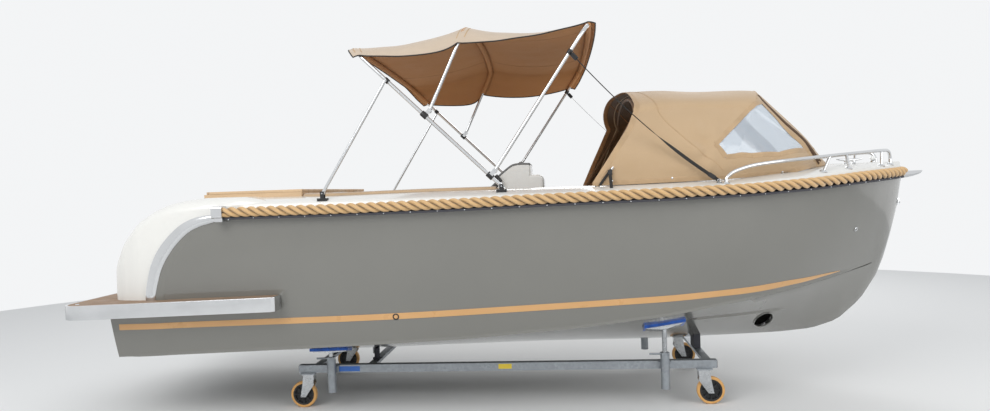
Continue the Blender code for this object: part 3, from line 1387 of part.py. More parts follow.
def build_castors():
    """Build the swivel castors and their wheels."""
    plate_top = BEAM_TOP_Z - BEAM_HEIGHT - GAP
    for name, x, y, way in castor_places():
        wheel_x = x + way * CASTOR_TRAIL
        head_low = BEAM_TOP_Z - BEAM_HEIGHT - TOP_PLATE_THICK
        crown_top = head_low - SWIVEL_GAP
        inner = CASTOR_WHEEL_WIDTH / 2 + FORK_CLEAR
        outer = inner + FORK_PLATE
        crown_low = 2 * WHEEL_OUTER + 0.008
        crown = box((x - 0.040, y - outer, crown_low), (x + 0.040, y + outer, crown_top))
        stem = cylinder((x, y, crown_top - 0.005), (x, y, plate_top - 0.003), SWIVEL_STEM, 16)
        cheeks = []
        for lean in (-1, 1):
            profile = [(x - way * 0.036, crown_top), (x - way * 0.040, 0.175),
                       (wheel_x - way * 0.020, WHEEL_OUTER - 0.018),
                       (wheel_x + way * 0.020, WHEEL_OUTER - 0.018),
                       (x + way * 0.048, 0.175), (x + way * 0.040, crown_top)]
            near, far = sorted((y + lean * inner, y + lean * outer))
            cheeks.append(loft([[(px, py, pz) for px, pz in profile] for py in (near, far)]))
        axle = cylinder((wheel_x, y - outer - 0.006, WHEEL_OUTER),
                        (wheel_x, y + outer + 0.006, WHEEL_OUTER), AXLE_RADIUS, 16)
        fork = joined(crown, stem, *cheeks, axle)
        place_mesh(f"castor_fork_{name}", fork, "castor_steel", (x, y, plate_top))
        width = CASTOR_WHEEL_WIDTH / 2
        profile = [(AXLE_BORE, -width), (HUB_RADIUS, -width), (HUB_RADIUS + 0.004, -0.012),
                   (RIM_RADIUS - 0.012, -0.012), (RIM_RADIUS, -width + 0.003),
                   (WHEEL_OUTER - 0.006, -width + 0.003), (WHEEL_OUTER, -width + 0.010)]
        profile += [(radius, -along) for radius, along in reversed(profile)]
        place_mesh(f"castor_wheel_{name}",
                   turned(profile, (wheel_x, y, WHEEL_OUTER), (0, 1, 0), 18), "castor_tread",
                   (wheel_x, y, WHEEL_OUTER))


def main():
    """Build every piece of the boat and its trolley."""
    clear_scene()
    build_hull()
    build_deck()
    build_stern()
    build_cockpit()
    build_helm()
    build_fender()
    build_bow_plate()
    build_platform()
    build_aft_board()
    build_canopy_frame()
    build_canopy_cloth()
    build_straps()
    build_hood()
    build_bow_rails()
    build_trolley_frame()
    build_jacks()
    build_castors()


main()
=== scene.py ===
"""Looks of the open boat tender on its yard trolley.

Metres, +X to the bow, +Y to port, +Z up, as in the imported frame. Each class builds the
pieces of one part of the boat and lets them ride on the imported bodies.
"""

import json
import logging
import math
from collections.abc import Iterable, Sequence
from dataclasses import dataclass
from enum import Enum

import bmesh
import bpy
from mathutils import Matrix, Vector, noise

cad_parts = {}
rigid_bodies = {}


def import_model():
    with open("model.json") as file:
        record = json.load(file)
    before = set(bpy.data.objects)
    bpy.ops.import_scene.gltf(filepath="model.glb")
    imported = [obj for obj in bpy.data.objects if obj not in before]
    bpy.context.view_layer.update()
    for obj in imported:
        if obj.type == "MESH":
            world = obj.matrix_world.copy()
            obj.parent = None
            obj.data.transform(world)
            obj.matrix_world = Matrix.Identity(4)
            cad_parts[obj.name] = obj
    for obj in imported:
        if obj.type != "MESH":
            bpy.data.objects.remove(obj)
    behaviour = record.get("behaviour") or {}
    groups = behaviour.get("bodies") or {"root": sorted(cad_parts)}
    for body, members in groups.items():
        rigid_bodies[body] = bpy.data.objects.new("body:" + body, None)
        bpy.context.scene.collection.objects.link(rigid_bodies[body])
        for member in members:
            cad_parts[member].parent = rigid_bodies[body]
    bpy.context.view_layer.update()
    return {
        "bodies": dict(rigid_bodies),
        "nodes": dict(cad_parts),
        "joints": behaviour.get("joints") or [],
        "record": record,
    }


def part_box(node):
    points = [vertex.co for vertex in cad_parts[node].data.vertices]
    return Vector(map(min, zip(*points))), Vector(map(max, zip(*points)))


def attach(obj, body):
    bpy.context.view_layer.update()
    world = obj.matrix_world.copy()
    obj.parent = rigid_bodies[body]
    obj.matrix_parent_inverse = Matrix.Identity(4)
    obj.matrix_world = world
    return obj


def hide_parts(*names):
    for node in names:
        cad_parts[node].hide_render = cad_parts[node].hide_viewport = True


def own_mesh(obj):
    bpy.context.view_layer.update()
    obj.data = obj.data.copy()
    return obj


LOG = logging.getLogger("tender")
ROOT = "boat_and_trolley"
UP = (0, 0, 1)
ACROSS = (0, 1, 0)
STITCH_LENGTH = 0.0042
STITCH_SPACING = 0.0085
Point = Sequence[float]
Pair = tuple[float, float]
Triple = tuple[float, float, float]
Outline = Sequence[Pair]
Rings = Sequence[Sequence[Point]]
Socket = bpy.types.NodeSocket


class Side(Enum):
    """A side of the boat and the sign of its Y."""

    STARBOARD = -1
    PORT = 1

    @property
    def label(self) -> str:
        """The side's name in lower case."""
        return self.name.lower()

    def at(self, x: float, y: float, z: float) -> Vector:
        """Return the point that lies y out from the middle on this side."""
        return Vector((x, self.value * y, z))


class Coordinates(Enum):
    """Where a pattern reads its place from."""

    OBJECT = "Object"
    SURFACE = "UV"


# ---------------------------------------------------------------- finishes


@dataclass(frozen=True)
class Finish:
    """A surface: its colour, gloss and the pattern that breaks it up.

    Attributes:
        name: The material's name.
        colour: Linear base colour.
        roughness: Mean roughness.
        metallic: 1 for bare metal.
        coat: Weight of a clear gloss layer.
        sheen: Weight of cloth sheen.
        shade: Darkest share of the colour in the broad stains.
        stain: Size of the broad stains, in marks per metre.
        grain: Size of the fine bump pattern, in marks per metre.
        relief: Height of the fine bump, in metres.
        stretch: How much longer the fine marks are along each axis.
        space: Where the pattern reads its place from.
        slot: The record's material slot that it stands for; not used.
    """

    name: str
    colour: Triple
    roughness: float = 0.5
    metallic: float = 0.0
    coat: float = 0.0
    sheen: float = 0.0
    shade: float = 0.85
    stain: float = 3.0
    grain: float = 200.0
    relief: float = 0.0002
    stretch: Triple = (1.0, 1.0, 1.0)
    space: Coordinates = Coordinates.OBJECT
    slot: str = ""

    def material(self) -> bpy.types.Material:
        """Return the finish as a material, built once."""
        found = bpy.data.materials.get(self.name)
        if found:
            return found
        material = bpy.data.materials.new(self.name)
        material.use_nodes = True
        sheet = Sheet(material.node_tree, self.space)
        shader = material.node_tree.nodes["Principled BSDF"]
        shader.inputs["Metallic"].default_value = self.metallic
        shader.inputs["Coat Weight"].default_value = self.coat
        shader.inputs["Coat Roughness"].default_value = 0.08
        shader.inputs["Sheen Weight"].default_value = self.sheen
        colour, height = self.pattern(sheet)
        sheet.link(colour, shader.inputs["Base Color"])
        sheet.link(self.gloss(sheet), shader.inputs["Roughness"])
        bump = sheet.node("ShaderNodeBump", Strength=0.6, Distance=self.relief)
        sheet.link(height, bump.inputs["Height"])
        sheet.link(bump.outputs["Normal"], shader.inputs["Normal"])
        material.diffuse_color = (*self.colour, 1.0)
        return material

    def gloss(self, sheet: "Sheet") -> Socket:
        """Return the roughness, a little uneven."""
        cloud = sheet.cloud(self.stain * 2.7)
        return sheet.spread(cloud, self.roughness * 0.85, min(self.roughness * 1.2, 1.0))

    def pattern(self, sheet: "Sheet") -> tuple[Socket, Socket]:
        """Return the colour and the height of the surface."""
        return self.stained(sheet), sheet.cloud(self.grain, self.stretch)

    def stained(self, sheet: "Sheet") -> Socket:
        """Return the colour with its broad darker stains."""
        return sheet.tint(sheet.cloud(self.stain), self.colour, self.shade)


class Sheet:
    """A material's node tree with short calls to add and join nodes."""

    def __init__(self, tree: bpy.types.NodeTree, space: Coordinates) -> None:
        """Start on a tree whose patterns read their place from one kind of coordinates."""
        self.tree = tree
        self.place = self.node("ShaderNodeTexCoord").outputs[space.value]

    def node(self, kind: str, **values: float | tuple) -> bpy.types.Node:
        """Add a node and set its inputs by name.

        Args:
            kind: The node's type name.
            values: Input names, with _ for a space, and their values.

        Returns:
            The node.
        """
        node = self.tree.nodes.new(kind)
        for name, value in values.items():
            node.inputs[name.replace("_", " ")].default_value = value
        return node

    def link(self, start: Socket, end: Socket) -> None:
        """Join two sockets."""
        self.tree.links.new(start, end)

    def mapped(self, stretch: Triple) -> Socket:
        """Return the place, divided along each axis by a stretch."""
        mapping = self.node("ShaderNodeMapping", Scale=tuple(1 / value for value in stretch))
        self.link(self.place, mapping.inputs["Vector"])
        return mapping.outputs["Vector"]

    def cloud(self, scale: float, stretch: Triple = (1.0, 1.0, 1.0)) -> Socket:
        """Return a soft random pattern of a size."""
        node = self.node("ShaderNodeTexNoise", Scale=scale, Detail=4.0, Roughness=0.6)
        self.link(self.mapped(stretch), node.inputs["Vector"])
        return node.outputs["Fac"]

    def cells(self, scale: float) -> Socket:
        """Return a pattern of flat cells of a size."""
        node = self.node("ShaderNodeTexVoronoi", Scale=scale)
        self.link(self.place, node.inputs["Vector"])
        return node.outputs["Color"]

    def maths(self, operation: str, first: Socket | float, second: Socket | float = 0.0,
              third: float = 0.0) -> Socket:
        """Return the result of one sum on sockets or numbers."""
        node = self.node("ShaderNodeMath")
        node.operation = operation
        for index, value in enumerate((first, second, third)):
            if isinstance(value, Socket):
                self.link(value, node.inputs[index])
            else:
                node.inputs[index].default_value = value
        return node.outputs["Value"]

    def axis(self, index: int) -> Socket:
        """Return one of the place's three numbers."""
        node = self.node("ShaderNodeSeparateXYZ")
        self.link(self.place, node.inputs["Vector"])
        return node.outputs[index]

    def ridges(self, value: Socket, pitch: float) -> Socket:
        """Return a wave between 0 and 1 that repeats at a pitch along a value."""
        turned = self.maths("SINE", self.maths("MULTIPLY", value, 2 * math.pi / pitch))
        return self.maths("MULTIPLY_ADD", turned, 0.5, 0.5)

    def spread(self, value: Socket, low: float, high: float) -> Socket:
        """Return a pattern of about 0.3 to 0.7 spread between two numbers."""
        node = self.node("ShaderNodeMapRange")
        self.link(value, node.inputs["Value"])
        for name, number in (("From Min", 0.3), ("From Max", 0.7), ("To Min", low),
                             ("To Max", high)):
            node.inputs[name].default_value = number
        return node.outputs["Result"]

    def mix(self, factor: Socket, first: Socket | Point, second: Socket | Point) -> Socket:
        """Return a colour between two colours."""
        node = self.tree.nodes.new("ShaderNodeMix")
        node.data_type = "RGBA"
        self.link(factor, node.inputs["Factor"])
        for socket, value in ((node.inputs[6], first), (node.inputs[7], second)):
            if isinstance(value, Socket):
                self.link(value, socket)
            else:
                socket.default_value = (*value[:3], 1.0)
        return node.outputs[2]

    def tint(self, factor: Socket, colour: Point, shade: float) -> Socket:
        """Return a colour that varies from itself to a darker share of itself."""
        return self.mix(self.spread(factor, 0.0, 1.0), [part * shade for part in colour], colour)


@dataclass(frozen=True)
class Woven(Finish):
    """Cloth whose threads cross at a pitch, read from the piece's own map in metres."""

    pitch: float = 0.0032
    space: Coordinates = Coordinates.SURFACE

    def pattern(self, sheet: Sheet) -> tuple[Socket, Socket]:
        """Return the woven colour and height."""
        warp = sheet.ridges(sheet.axis(0), self.pitch)
        weft = sheet.ridges(sheet.axis(1), self.pitch)
        weave = sheet.maths("MULTIPLY", warp, weft)
        dark = [part * 0.8 for part in self.colour]
        return sheet.mix(weave, dark, self.stained(sheet)), weave


@dataclass(frozen=True)
class Twisted(Finish):
    """Rope whose fibres run along its strands, with painted shade darkening its grooves."""

    space: Coordinates = Coordinates.SURFACE

    def pattern(self, sheet: Sheet) -> tuple[Socket, Socket]:
        """Return the rope's colour with painted groove shade, and the height of its fibres."""
        fibres = sheet.cloud(self.grain, self.stretch)
        body = sheet.tint(fibres, self.colour, self.shade)
        # Painted shade: the grooves between the strands darken to about a third of the colour.
        groove = sheet.node("ShaderNodeAttribute")
        groove.attribute_name = "groove"
        dark = [part * 0.32 for part in self.colour]
        return sheet.mix(groove.outputs["Fac"], body, dark), fibres


@dataclass(frozen=True)
class Planked(Finish):
    """Boards that run fore and aft with dark caulking between them."""

    board: float = 0.052
    seam: float = 0.10
    caulk: Triple = (0.02, 0.018, 0.016)

    def pattern(self, sheet: Sheet) -> tuple[Socket, Socket]:
        """Return the boards' colour and height."""
        across = sheet.maths("DIVIDE", sheet.axis(1), self.board)
        place = sheet.maths("FRACT", across)
        line = sheet.maths("LESS_THAN", place, self.seam)
        number = sheet.node("ShaderNodeTexWhiteNoise")
        number.noise_dimensions = "1D"
        sheet.link(sheet.maths("FLOOR", across), number.inputs["W"])
        grain = sheet.cloud(self.grain, self.stretch)
        wood = sheet.tint(grain, self.colour, self.shade)
        light = [min(part * 1.25, 1.0) for part in self.colour]
        share = sheet.maths("MULTIPLY", number.outputs["Value"], 0.45)
        board = sheet.mix(share, wood, light)
        height = sheet.maths("SUBTRACT", sheet.maths("MULTIPLY", grain, 0.3), line)
        return sheet.mix(line, board, self.caulk), height


@dataclass(frozen=True)
class Spangled(Finish):
    """Galvanised steel with its crystal pattern."""

    def pattern(self, sheet: Sheet) -> tuple[Socket, Socket]:
        """Return the crystals' colour and height."""
        cells = sheet.cells(55.0)
        grey = sheet.node("ShaderNodeRGBToBW")
        sheet.link(cells, grey.inputs["Color"])
        dark = [part * 0.72 for part in self.colour]
        colour = sheet.mix(grey.outputs["Val"], dark, self.stained(sheet))
        return colour, sheet.cloud(self.grain, self.stretch)


@dataclass(frozen=True)
class ClearSheet(Finish):
    """Clear flexible window sheet, a little milky and rippled."""

    see_through: float = 0.62

    def material(self) -> bpy.types.Material:
        """Return the sheet as a material with a clear layer mixed in."""
        found = bpy.data.materials.get(self.name)
        material = super().material()
        if found is None:
            shader = material.node_tree.nodes["Principled BSDF"]
            shader.inputs["Alpha"].default_value = 1.0 - self.see_through
            shader.inputs["Specular IOR Level"].default_value = 0.8
        return material


CANVAS = Woven("tan_canvas_outside", (0.61, 0.43, 0.255), 0.85, sheen=0.3, shade=0.88,
               stain=2.2, relief=0.0006, slot="tan_canvas")
CANVAS_TOP = Woven("pale_canopy_outside", (0.66, 0.535, 0.41), 0.85, sheen=0.3, shade=0.86,
                   stain=7.0, relief=0.0006, slot="tan_canvas")
LINING = Woven("brown_canvas_inside", (0.60, 0.30, 0.125), 0.9, sheen=0.0, shade=0.86,
               stain=2.0, relief=0.0006, slot="tan_canvas")
CUSHION = Woven("tan_cushion_cloth", (0.60, 0.42, 0.25), 0.8, sheen=0.4, shade=0.9, stain=5.0,
                pitch=0.004, relief=0.0006, slot="tan_cushion")
PIPING = Finish("black_piping", (0.012, 0.011, 0.010), 0.6, grain=500, slot="webbing")
WEBBING = Woven("black_webbing", (0.014, 0.013, 0.012), 0.7, pitch=0.0022, relief=0.0005,
                slot="webbing")
HULL_PAINT = Finish("hull_grey_gloss", (0.19, 0.187, 0.168), 0.16, coat=0.7, shade=0.94,
                    stain=0.9, grain=30, relief=0.00008, slot="hull_grey")
CHINE_SHADOW = Finish("dark_sealant", (0.045, 0.043, 0.036), 0.6, shade=0.8, grain=300,
                 slot="black_rubber")
STRIPE_PAINT = Finish("amber_stripe", (0.66, 0.37, 0.15), 0.3, coat=0.4, shade=0.93, grain=80,
                      slot="hull_grey")
GELCOAT = Finish("white_gelcoat_gloss", (0.80, 0.79, 0.75), 0.22, coat=0.5, shade=0.95,
                 stain=1.2, grain=60, relief=0.00006, slot="white_gelcoat")
LINER = Finish("white_liner", (0.74, 0.73, 0.69), 0.4, shade=0.9, stain=2.0, grain=320,
               relief=0.0003, slot="white_gelcoat")
STEEL = Finish("polished_stainless", (0.70, 0.71, 0.72), 0.13, metallic=1.0, shade=0.9,
               stain=4.0, grain=90, relief=0.00004, slot="stainless")
ROPE = Twisted("laid_rope", (0.74, 0.475, 0.22), 0.75, sheen=0.4, shade=0.72, stain=8.0,
               grain=260, relief=0.0012, stretch=(14.0, 1.0, 1.0), slot="rope")
RUBBER = Finish("black_rubber", (0.012, 0.013, 0.015), 0.45, shade=0.7, grain=160,
                slot="black_rubber")
TEAK = Planked("weathered_teak", (0.36, 0.235, 0.15), 0.62, shade=0.72, grain=38,
               relief=0.0012, stretch=(9.0, 1.0, 1.0), slot="teak")
BOARD_WOOD = Planked("bare_aft_board", (0.60, 0.42, 0.25), 0.55, shade=0.8, grain=34,
                     relief=0.001, stretch=(9.0, 1.0, 1.0), board=0.12, seam=0.025,
                     caulk=(0.10, 0.06, 0.03), slot="teak")
VINYL = ClearSheet("clear_window_sheet", (0.74, 0.82, 0.90), 0.05, coat=0.5, shade=0.95,
                   stain=3.0, grain=9, relief=0.004, slot="clear_vinyl")
GALVANISED = Spangled("galvanised_steel", (0.40, 0.43, 0.46), 0.42, metallic=0.75, shade=0.8,
                      stain=6.0, grain=140, slot="galvanised")
PLATED = Finish("bright_zinc_plate", (0.62, 0.64, 0.66), 0.28, metallic=1.0, shade=0.75,
                stain=20.0, grain=150, slot="castor_steel")
CARPET = Finish("blue_carpet", (0.030, 0.145, 0.62), 0.95, sheen=0.5, shade=0.55, stain=40.0,
                grain=900, relief=0.0022, slot="blue_pad")
TREAD = Finish("amber_tread", (0.74, 0.40, 0.13), 0.42, shade=0.78, stain=18.0, grain=220,
               slot="castor_tread")
BLACK_PLASTIC = Finish("black_plastic", (0.016, 0.016, 0.017), 0.4, shade=0.7, grain=420,
                       slot="black_rubber")
GREY_LEATHER = Finish("grey_leather", (0.17, 0.17, 0.17), 0.5, shade=0.8, grain=420,
                      relief=0.0005, slot="wheel_leather")
DIAL = Finish("dial_face", (0.03, 0.035, 0.04), 0.12, coat=0.8, shade=0.8, grain=100,
              slot="black_rubber")
BLUE_LABEL = Finish("blank_blue_label", (0.04, 0.16, 0.55), 0.35, shade=0.9, grain=200,
                    slot="blue_pad")
YELLOW_LABEL = Finish("blank_yellow_label", (0.85, 0.62, 0.05), 0.35, shade=0.9, grain=200,
                      slot="castor_tread")
LENS = Finish("frosted_lens", (0.82, 0.83, 0.82), 0.2, coat=0.6, shade=0.95, grain=60,
              slot="clear_vinyl")
HOLE_SHADE = Finish("dark_opening", (0.010, 0.010, 0.010), 0.8, shade=0.6, grain=100,
                   slot="black_rubber")
CUSHION_CAP = Woven("tan_welt_cloth", (0.58, 0.41, 0.25), 0.7, sheen=0.3, shade=0.88, stain=6.0,
                    pitch=0.003, relief=0.0004, space=Coordinates.OBJECT, slot="tan_cushion")
HOOD_LINING = Woven("dark_hood_inside", (0.17, 0.085, 0.03), 0.9, sheen=0.2, shade=0.8,
                    stain=2.0, relief=0.0006, slot="tan_canvas")
CANVAS_SEAM = Finish("tan_seam", (0.53, 0.365, 0.21), 0.85, sheen=0.3, shade=0.8, stain=9.0,
                     grain=700, relief=0.0004, slot="tan_canvas")
FRONT_EDGE_SHADE = Finish("brown_binding", (0.085, 0.042, 0.018), 0.85, sheen=0.0, shade=0.75,
                        stain=9.0, grain=700, relief=0.0004, slot="tan_canvas")
LINING_SEAM = Finish("brown_inside_seam", (0.47, 0.235, 0.098), 0.9, sheen=0.0, shade=0.75,
                     stain=9.0, grain=700, relief=0.0004, slot="tan_canvas")
THREAD = Finish("tan_thread", (0.52, 0.36, 0.20), 0.7, shade=0.8, stain=30.0, grain=900,
                slot="tan_canvas")


# ---------------------------------------------------------------- mesh tools


def between(first: float, last: float, steps: int) -> list[float]:
    """Return evenly spaced values, both ends included."""
    return [first + (last - first) * step / steps for step in range(steps + 1)]


def ease(value: float) -> float:
    """Return 0 to 1 with a soft start and end."""
    value = min(max(value, 0.0), 1.0)
    return value * value * (3 - 2 * value)


def read_table(table: Sequence[Sequence[float]], x: float, column: int) -> float:
    """Return a column's value at x, on a smooth curve through the table's rows.

    Args:
        table: Rows whose first value is x.
        x: Where to read.
        column: Which value to read.

    Returns:
        The value.
    """
    rows = list(table)
    if x <= rows[0][0]:
        return rows[0][column]
    if x >= rows[-1][0]:
        return rows[-1][column]
    index = max(i for i in range(len(rows) - 1) if rows[i][0] <= x)
    span = rows[index + 1][0] - rows[index][0]
    part = (x - rows[index][0]) / span

    def slope(first: int) -> float:
        """Return the rise per metre between a row and the next."""
        first = min(max(first, 0), len(rows) - 2)
        run = rows[first + 1][0] - rows[first][0]
        return (rows[first + 1][column] - rows[first][column]) / run

    here = slope(index)
    start = 0.0 if slope(index - 1) * here <= 0 else min(slope(index - 1), here, key=abs)
    end = 0.0 if slope(index + 1) * here <= 0 else min(slope(index + 1), here, key=abs)
    low, high = rows[index][column], rows[index + 1][column]
    square, cube = part * part, part ** 3
    return ((2 * cube - 3 * square + 1) * low + (cube - 2 * square + part) * span * start
            + (3 * square - 2 * cube) * high + (cube - square) * span * end)


def smooth_route(points: Iterable[Point], step: float) -> list[Vector]:
    """Return points a step apart on a smooth curve through the given points."""
    spots = [Vector(point) for point in points]
    route: list[Vector] = []
    for index in range(len(spots) - 1):
        before = spots[max(index - 1, 0)]
        first, last = spots[index], spots[index + 1]
        after = spots[min(index + 2, len(spots) - 1)]
        span = (last - first).length
        start = (last - before).normalized() * span
        end = (after - first).normalized() * span
        count = max(1, round(span / step))
        for number in range(count):
            part = number / count
            square, cube = part * part, part ** 3
            route.append(first * (2 * cube - 3 * square + 1) + start * (cube - 2 * square + part)
                         + last * (3 * square - 2 * cube) + end * (cube - square))
    return route + [spots[-1]]


def lengths_along(points: Sequence[Vector]) -> list[float]:
    """Return the distance along a line of points to each of them."""
    total, found = 0.0, [0.0]
    for first, second in zip(points, points[1:]):
        total += (second - first).length
        found.append(total)
    return found


def tangents(route: Sequence[Vector], closed: bool = False) -> list[Vector]:
    """Return the direction of a line of points at each of them."""
    last = len(route) - 1
    if closed:
        return [(route[(index + 1) % len(route)] - route[index - 1]).normalized()
                for index in range(len(route))]
    return [(route[min(index + 1, last)] - route[max(index - 1, 0)]).normalized()
            for index in range(len(route))]


def circle(radius: float, steps: int) -> list[Pair]:
    """Return the (side, up) points of a round section."""
    return [(radius * math.cos(2 * math.pi * step / steps),
             radius * math.sin(2 * math.pi * step / steps)) for step in range(steps)]


def sleeve(bore: float, face: float, radius: float, half: float, edge: float) -> list[Pair]:
    """Return the (radius, along) section of a sleeve with bevelled ends.

    Args:
        bore: Its inner radius, 0 for a solid pin.
        face: The outer radius at its ends.
        radius: Its largest radius.
        half: Half its length.
        edge: Half the length at its largest radius.

    Returns:
        The section's points, closed where there is a bore.
    """
    points = [(bore, -half), (face, -half), (radius, -edge), (radius, edge), (face, half),
              (bore, half)]
    return points + points[:1] if bore else points


def turn_at(start: Vector, corner: Vector, end: Vector, part: float) -> Vector:
    """Return the point at a share of the curve that rounds a corner off."""
    return start * (1 - part) ** 2 + corner * 2 * part * (1 - part) + end * part * part


def rounded(outline: Outline, radius: float, steps: int = 4) -> list[Pair]:
    """Return an outline whose corners are rounded off.

    Args:
        outline: The corners in order.
        radius: How far from a corner its rounding starts.
        steps: Spans in each rounding.

    Returns:
        The points of the rounded outline.
    """
    points = []
    for index, corner in enumerate(outline):
        here = Vector(corner)
        before, after = Vector(outline[index - 1]), Vector(outline[(index + 1) % len(outline)])
        reach = min(radius, (before - here).length / 2.2, (after - here).length / 2.2)
        start = here + (before - here).normalized() * reach
        end = here + (after - here).normalized() * reach
        for part in between(0.0, 1.0, steps):
            points.append(tuple(turn_at(start, here, end, part)))
    return points


class Solid:
    """Closed forms that are gathered in one piece, each with its own finish."""

    def __init__(self) -> None:
        """Start with nothing."""
        self.points: list[Vector] = []
        self.faces: list[tuple[int, ...]] = []
        self.paint: list[int] = []
        self.finishes: list[Finish] = []

    def form(self, points: Iterable[Point], faces: Iterable[Sequence[int]],
             finish: Finish) -> "Solid":
        """Add a form from its points and faces."""
        first = len(self.points)
        self.points += [Vector(point) for point in points]
        if finish not in self.finishes:
            self.finishes.append(finish)
        for face in faces:
            self.faces.append(tuple(first + number for number in face))
            self.paint.append(self.finishes.index(finish))
        return self

    def loft(self, rings: Rings, finish: Finish, round_trip: bool = False) -> "Solid":
        """Add the skin through rings of equal length, capped unless it is a ring itself."""
        count = len(rings[0])
        faces: list[tuple[int, ...]] = []
        for row in range(len(rings) if round_trip else len(rings) - 1):
            here, there = row * count, ((row + 1) % len(rings)) * count
            for col in range(count):
                after = (col + 1) % count
                faces.append((here + col, here + after, there + after, there + col))
        if not round_trip:
            faces.append(tuple(range(count)))
            faces.append(tuple((len(rings) - 1) * count + col for col in range(count)))
        return self.form([point for ring in rings for point in ring], faces, finish)

    def swept(self, route: Sequence[Point], section: Outline, finish: Finish,
              level: Point = UP, closed: bool = False) -> "Solid":
        """Add a section of (side, up) points carried along a route and kept upright."""
        spots = [Vector(point) for point in route]
        rings = []
        for spot, along in zip(spots, tangents(spots, closed)):
            side = along.cross(Vector(level)).normalized()
            up = side.cross(along)
            rings.append([spot + side * across + up * rise for across, rise in section])
        return self.loft(rings, finish, closed)

    def tube(self, route: Sequence[Point], radius: float, finish: Finish, steps: int = 14,
             level: Point = UP, closed: bool = False) -> "Solid":
        """Add a round tube along a route."""
        return self.swept(route, circle(radius, steps), finish, level, closed)

    def turned(self, profile: Outline, centre: Point, axis: Point, finish: Finish,
               steps: int = 32) -> "Solid":
        """Add a form turned from (radius, along) points about an axis through a centre."""
        along = Vector(axis).normalized()
        side = along.orthogonal().normalized()
        other = along.cross(side)
        rings = []
        for radius, reach in profile:
            middle = Vector(centre) + along * reach
            rings.append([middle + side * x + other * y
                          for x, y in circle(max(radius, 0.00005), steps)])
        return self.loft(rings, finish, profile[0] == profile[-1])

    def bar(self, start: Point, end: Point, radius: float, finish: Finish,
            steps: int = 20, end_radius: float | None = None) -> "Solid":
        """Add a round bar or a cone between two points."""
        reach = (Vector(end) - Vector(start)).length
        last = radius if end_radius is None else end_radius
        edge = min(radius, last, reach) * 0.12
        profile = [(radius - edge, 0.0), (radius, edge), (last, reach - edge),
                   (last - edge, reach)]
        return self.turned(profile, start, Vector(end) - Vector(start), finish, steps)

    def prism(self, outline: Outline, low: float, high: float, finish: Finish) -> "Solid":
        """Add an upright solid over a plan outline."""
        return self.loft([[(x, y, z) for x, y in outline] for z in (low, high)], finish)

    def plate(self, middle: Point, facing: Point, along: Point, size: Triple,
              finish: Finish, corner: float = 0.004) -> "Solid":
        """Add a plate with round corners.

        Args:
            middle: The middle of its back.
            facing: The way its front faces.
            along: The way its length runs.
            size: Length, width and thickness.
            finish: Its finish.
            corner: Radius of its corners.

        Returns:
            The solid itself.
        """
        out = Vector(facing).normalized()
        across = out.cross(Vector(along)).normalized()
        run = across.cross(out)
        half, wide = size[0] / 2, size[1] / 2
        outline = rounded([(-half, -wide), (half, -wide), (half, wide), (-half, wide)], corner)
        edge = min(size[2] * 0.3, corner * 0.5)
        rings = []
        for rise, share in ((0.0, 0.0), (size[2] - edge, 0.0), (size[2], edge)):
            rings.append([Vector(middle) + run * (x - math.copysign(share, x))
                          + across * (y - math.copysign(share, y)) + out * rise
                          for x, y in outline])
        return self.loft(rings, finish)

    def mesh(self, name: str) -> bpy.types.Mesh:
        """Return the forms as one mesh with their faces outwards."""
        mesh = bpy.data.meshes.new(name)
        mesh.from_pydata([tuple(point) for point in self.points], [], self.faces)
        for finish in self.finishes:
            mesh.materials.append(finish.material())
        mesh.polygons.foreach_set("material_index", self.paint)
        form = bmesh.new()
        form.from_mesh(mesh)
        bmesh.ops.recalc_face_normals(form, faces=form.faces)
        form.to_mesh(mesh)
        form.free()
        return mesh

    def piece(self, name: str, body: str = ROOT, replaces: Sequence[str] = (),
              bevel: float = 0.0) -> bpy.types.Object:
        """Return the forms as a finished piece.

        Args:
            name: The piece's name.
            body: The body that it rides on.
            replaces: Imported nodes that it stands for.
            bevel: Width of its soft edges, 0 for none.

        Returns:
            The piece.
        """
        return finished(name, self.mesh(name), self.finishes[0], body, replaces, bevel)


def linked(name: str, data: bpy.types.ID) -> bpy.types.Object:
    """Return a new object in the scene that shows some data."""
    item = bpy.data.objects.new(name, data)
    bpy.context.scene.collection.objects.link(item)
    return item


def seen_mesh(item: bpy.types.Object) -> bpy.types.Mesh:
    """Return a new mesh of an object as its modifiers leave it."""
    bpy.context.view_layer.update()
    seen = item.evaluated_get(bpy.context.evaluated_depsgraph_get())
    return bpy.data.meshes.new_from_object(seen)


def finished(name: str, mesh: bpy.types.Mesh, finish: Finish, body: str = ROOT,
             replaces: Sequence[str] = (), bevel: float = 0.0,
             angle: float = 32.0) -> bpy.types.Object:
    """Link a mesh as a smooth piece that rides on a body.

    Args:
        name: The piece's name.
        mesh: Its mesh in place.
        finish: The finish that names its material slot.
        body: The body that it rides on.
        replaces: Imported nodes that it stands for.
        bevel: Width of its soft edges, 0 for none.
        angle: Edges bent more than this stay sharp.

    Returns:
        The piece.
    """
    if not mesh.materials:
        mesh.materials.append(finish.material())
    mesh.shade_smooth()
    if not bevel:
        mesh.set_sharp_from_angle(angle=math.radians(angle))
    item = linked(name, mesh)
    if bevel:
        soften(item, bevel)
    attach(item, body)
    if replaces:
        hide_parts(*replaces)
    LOG.info("%s: %d faces on %s", name, len(mesh.polygons), body)
    return item


def soften(item: bpy.types.Object, width: float) -> None:
    """Give a piece soft edges and even shading."""
    bevel = item.modifiers.new("soft_edges", "BEVEL")
    bevel.width = width
    bevel.segments = 2
    bevel.limit_method = "ANGLE"
    bevel.angle_limit = math.radians(26)
    item.modifiers.new("even_shading", "WEIGHTED_NORMAL")


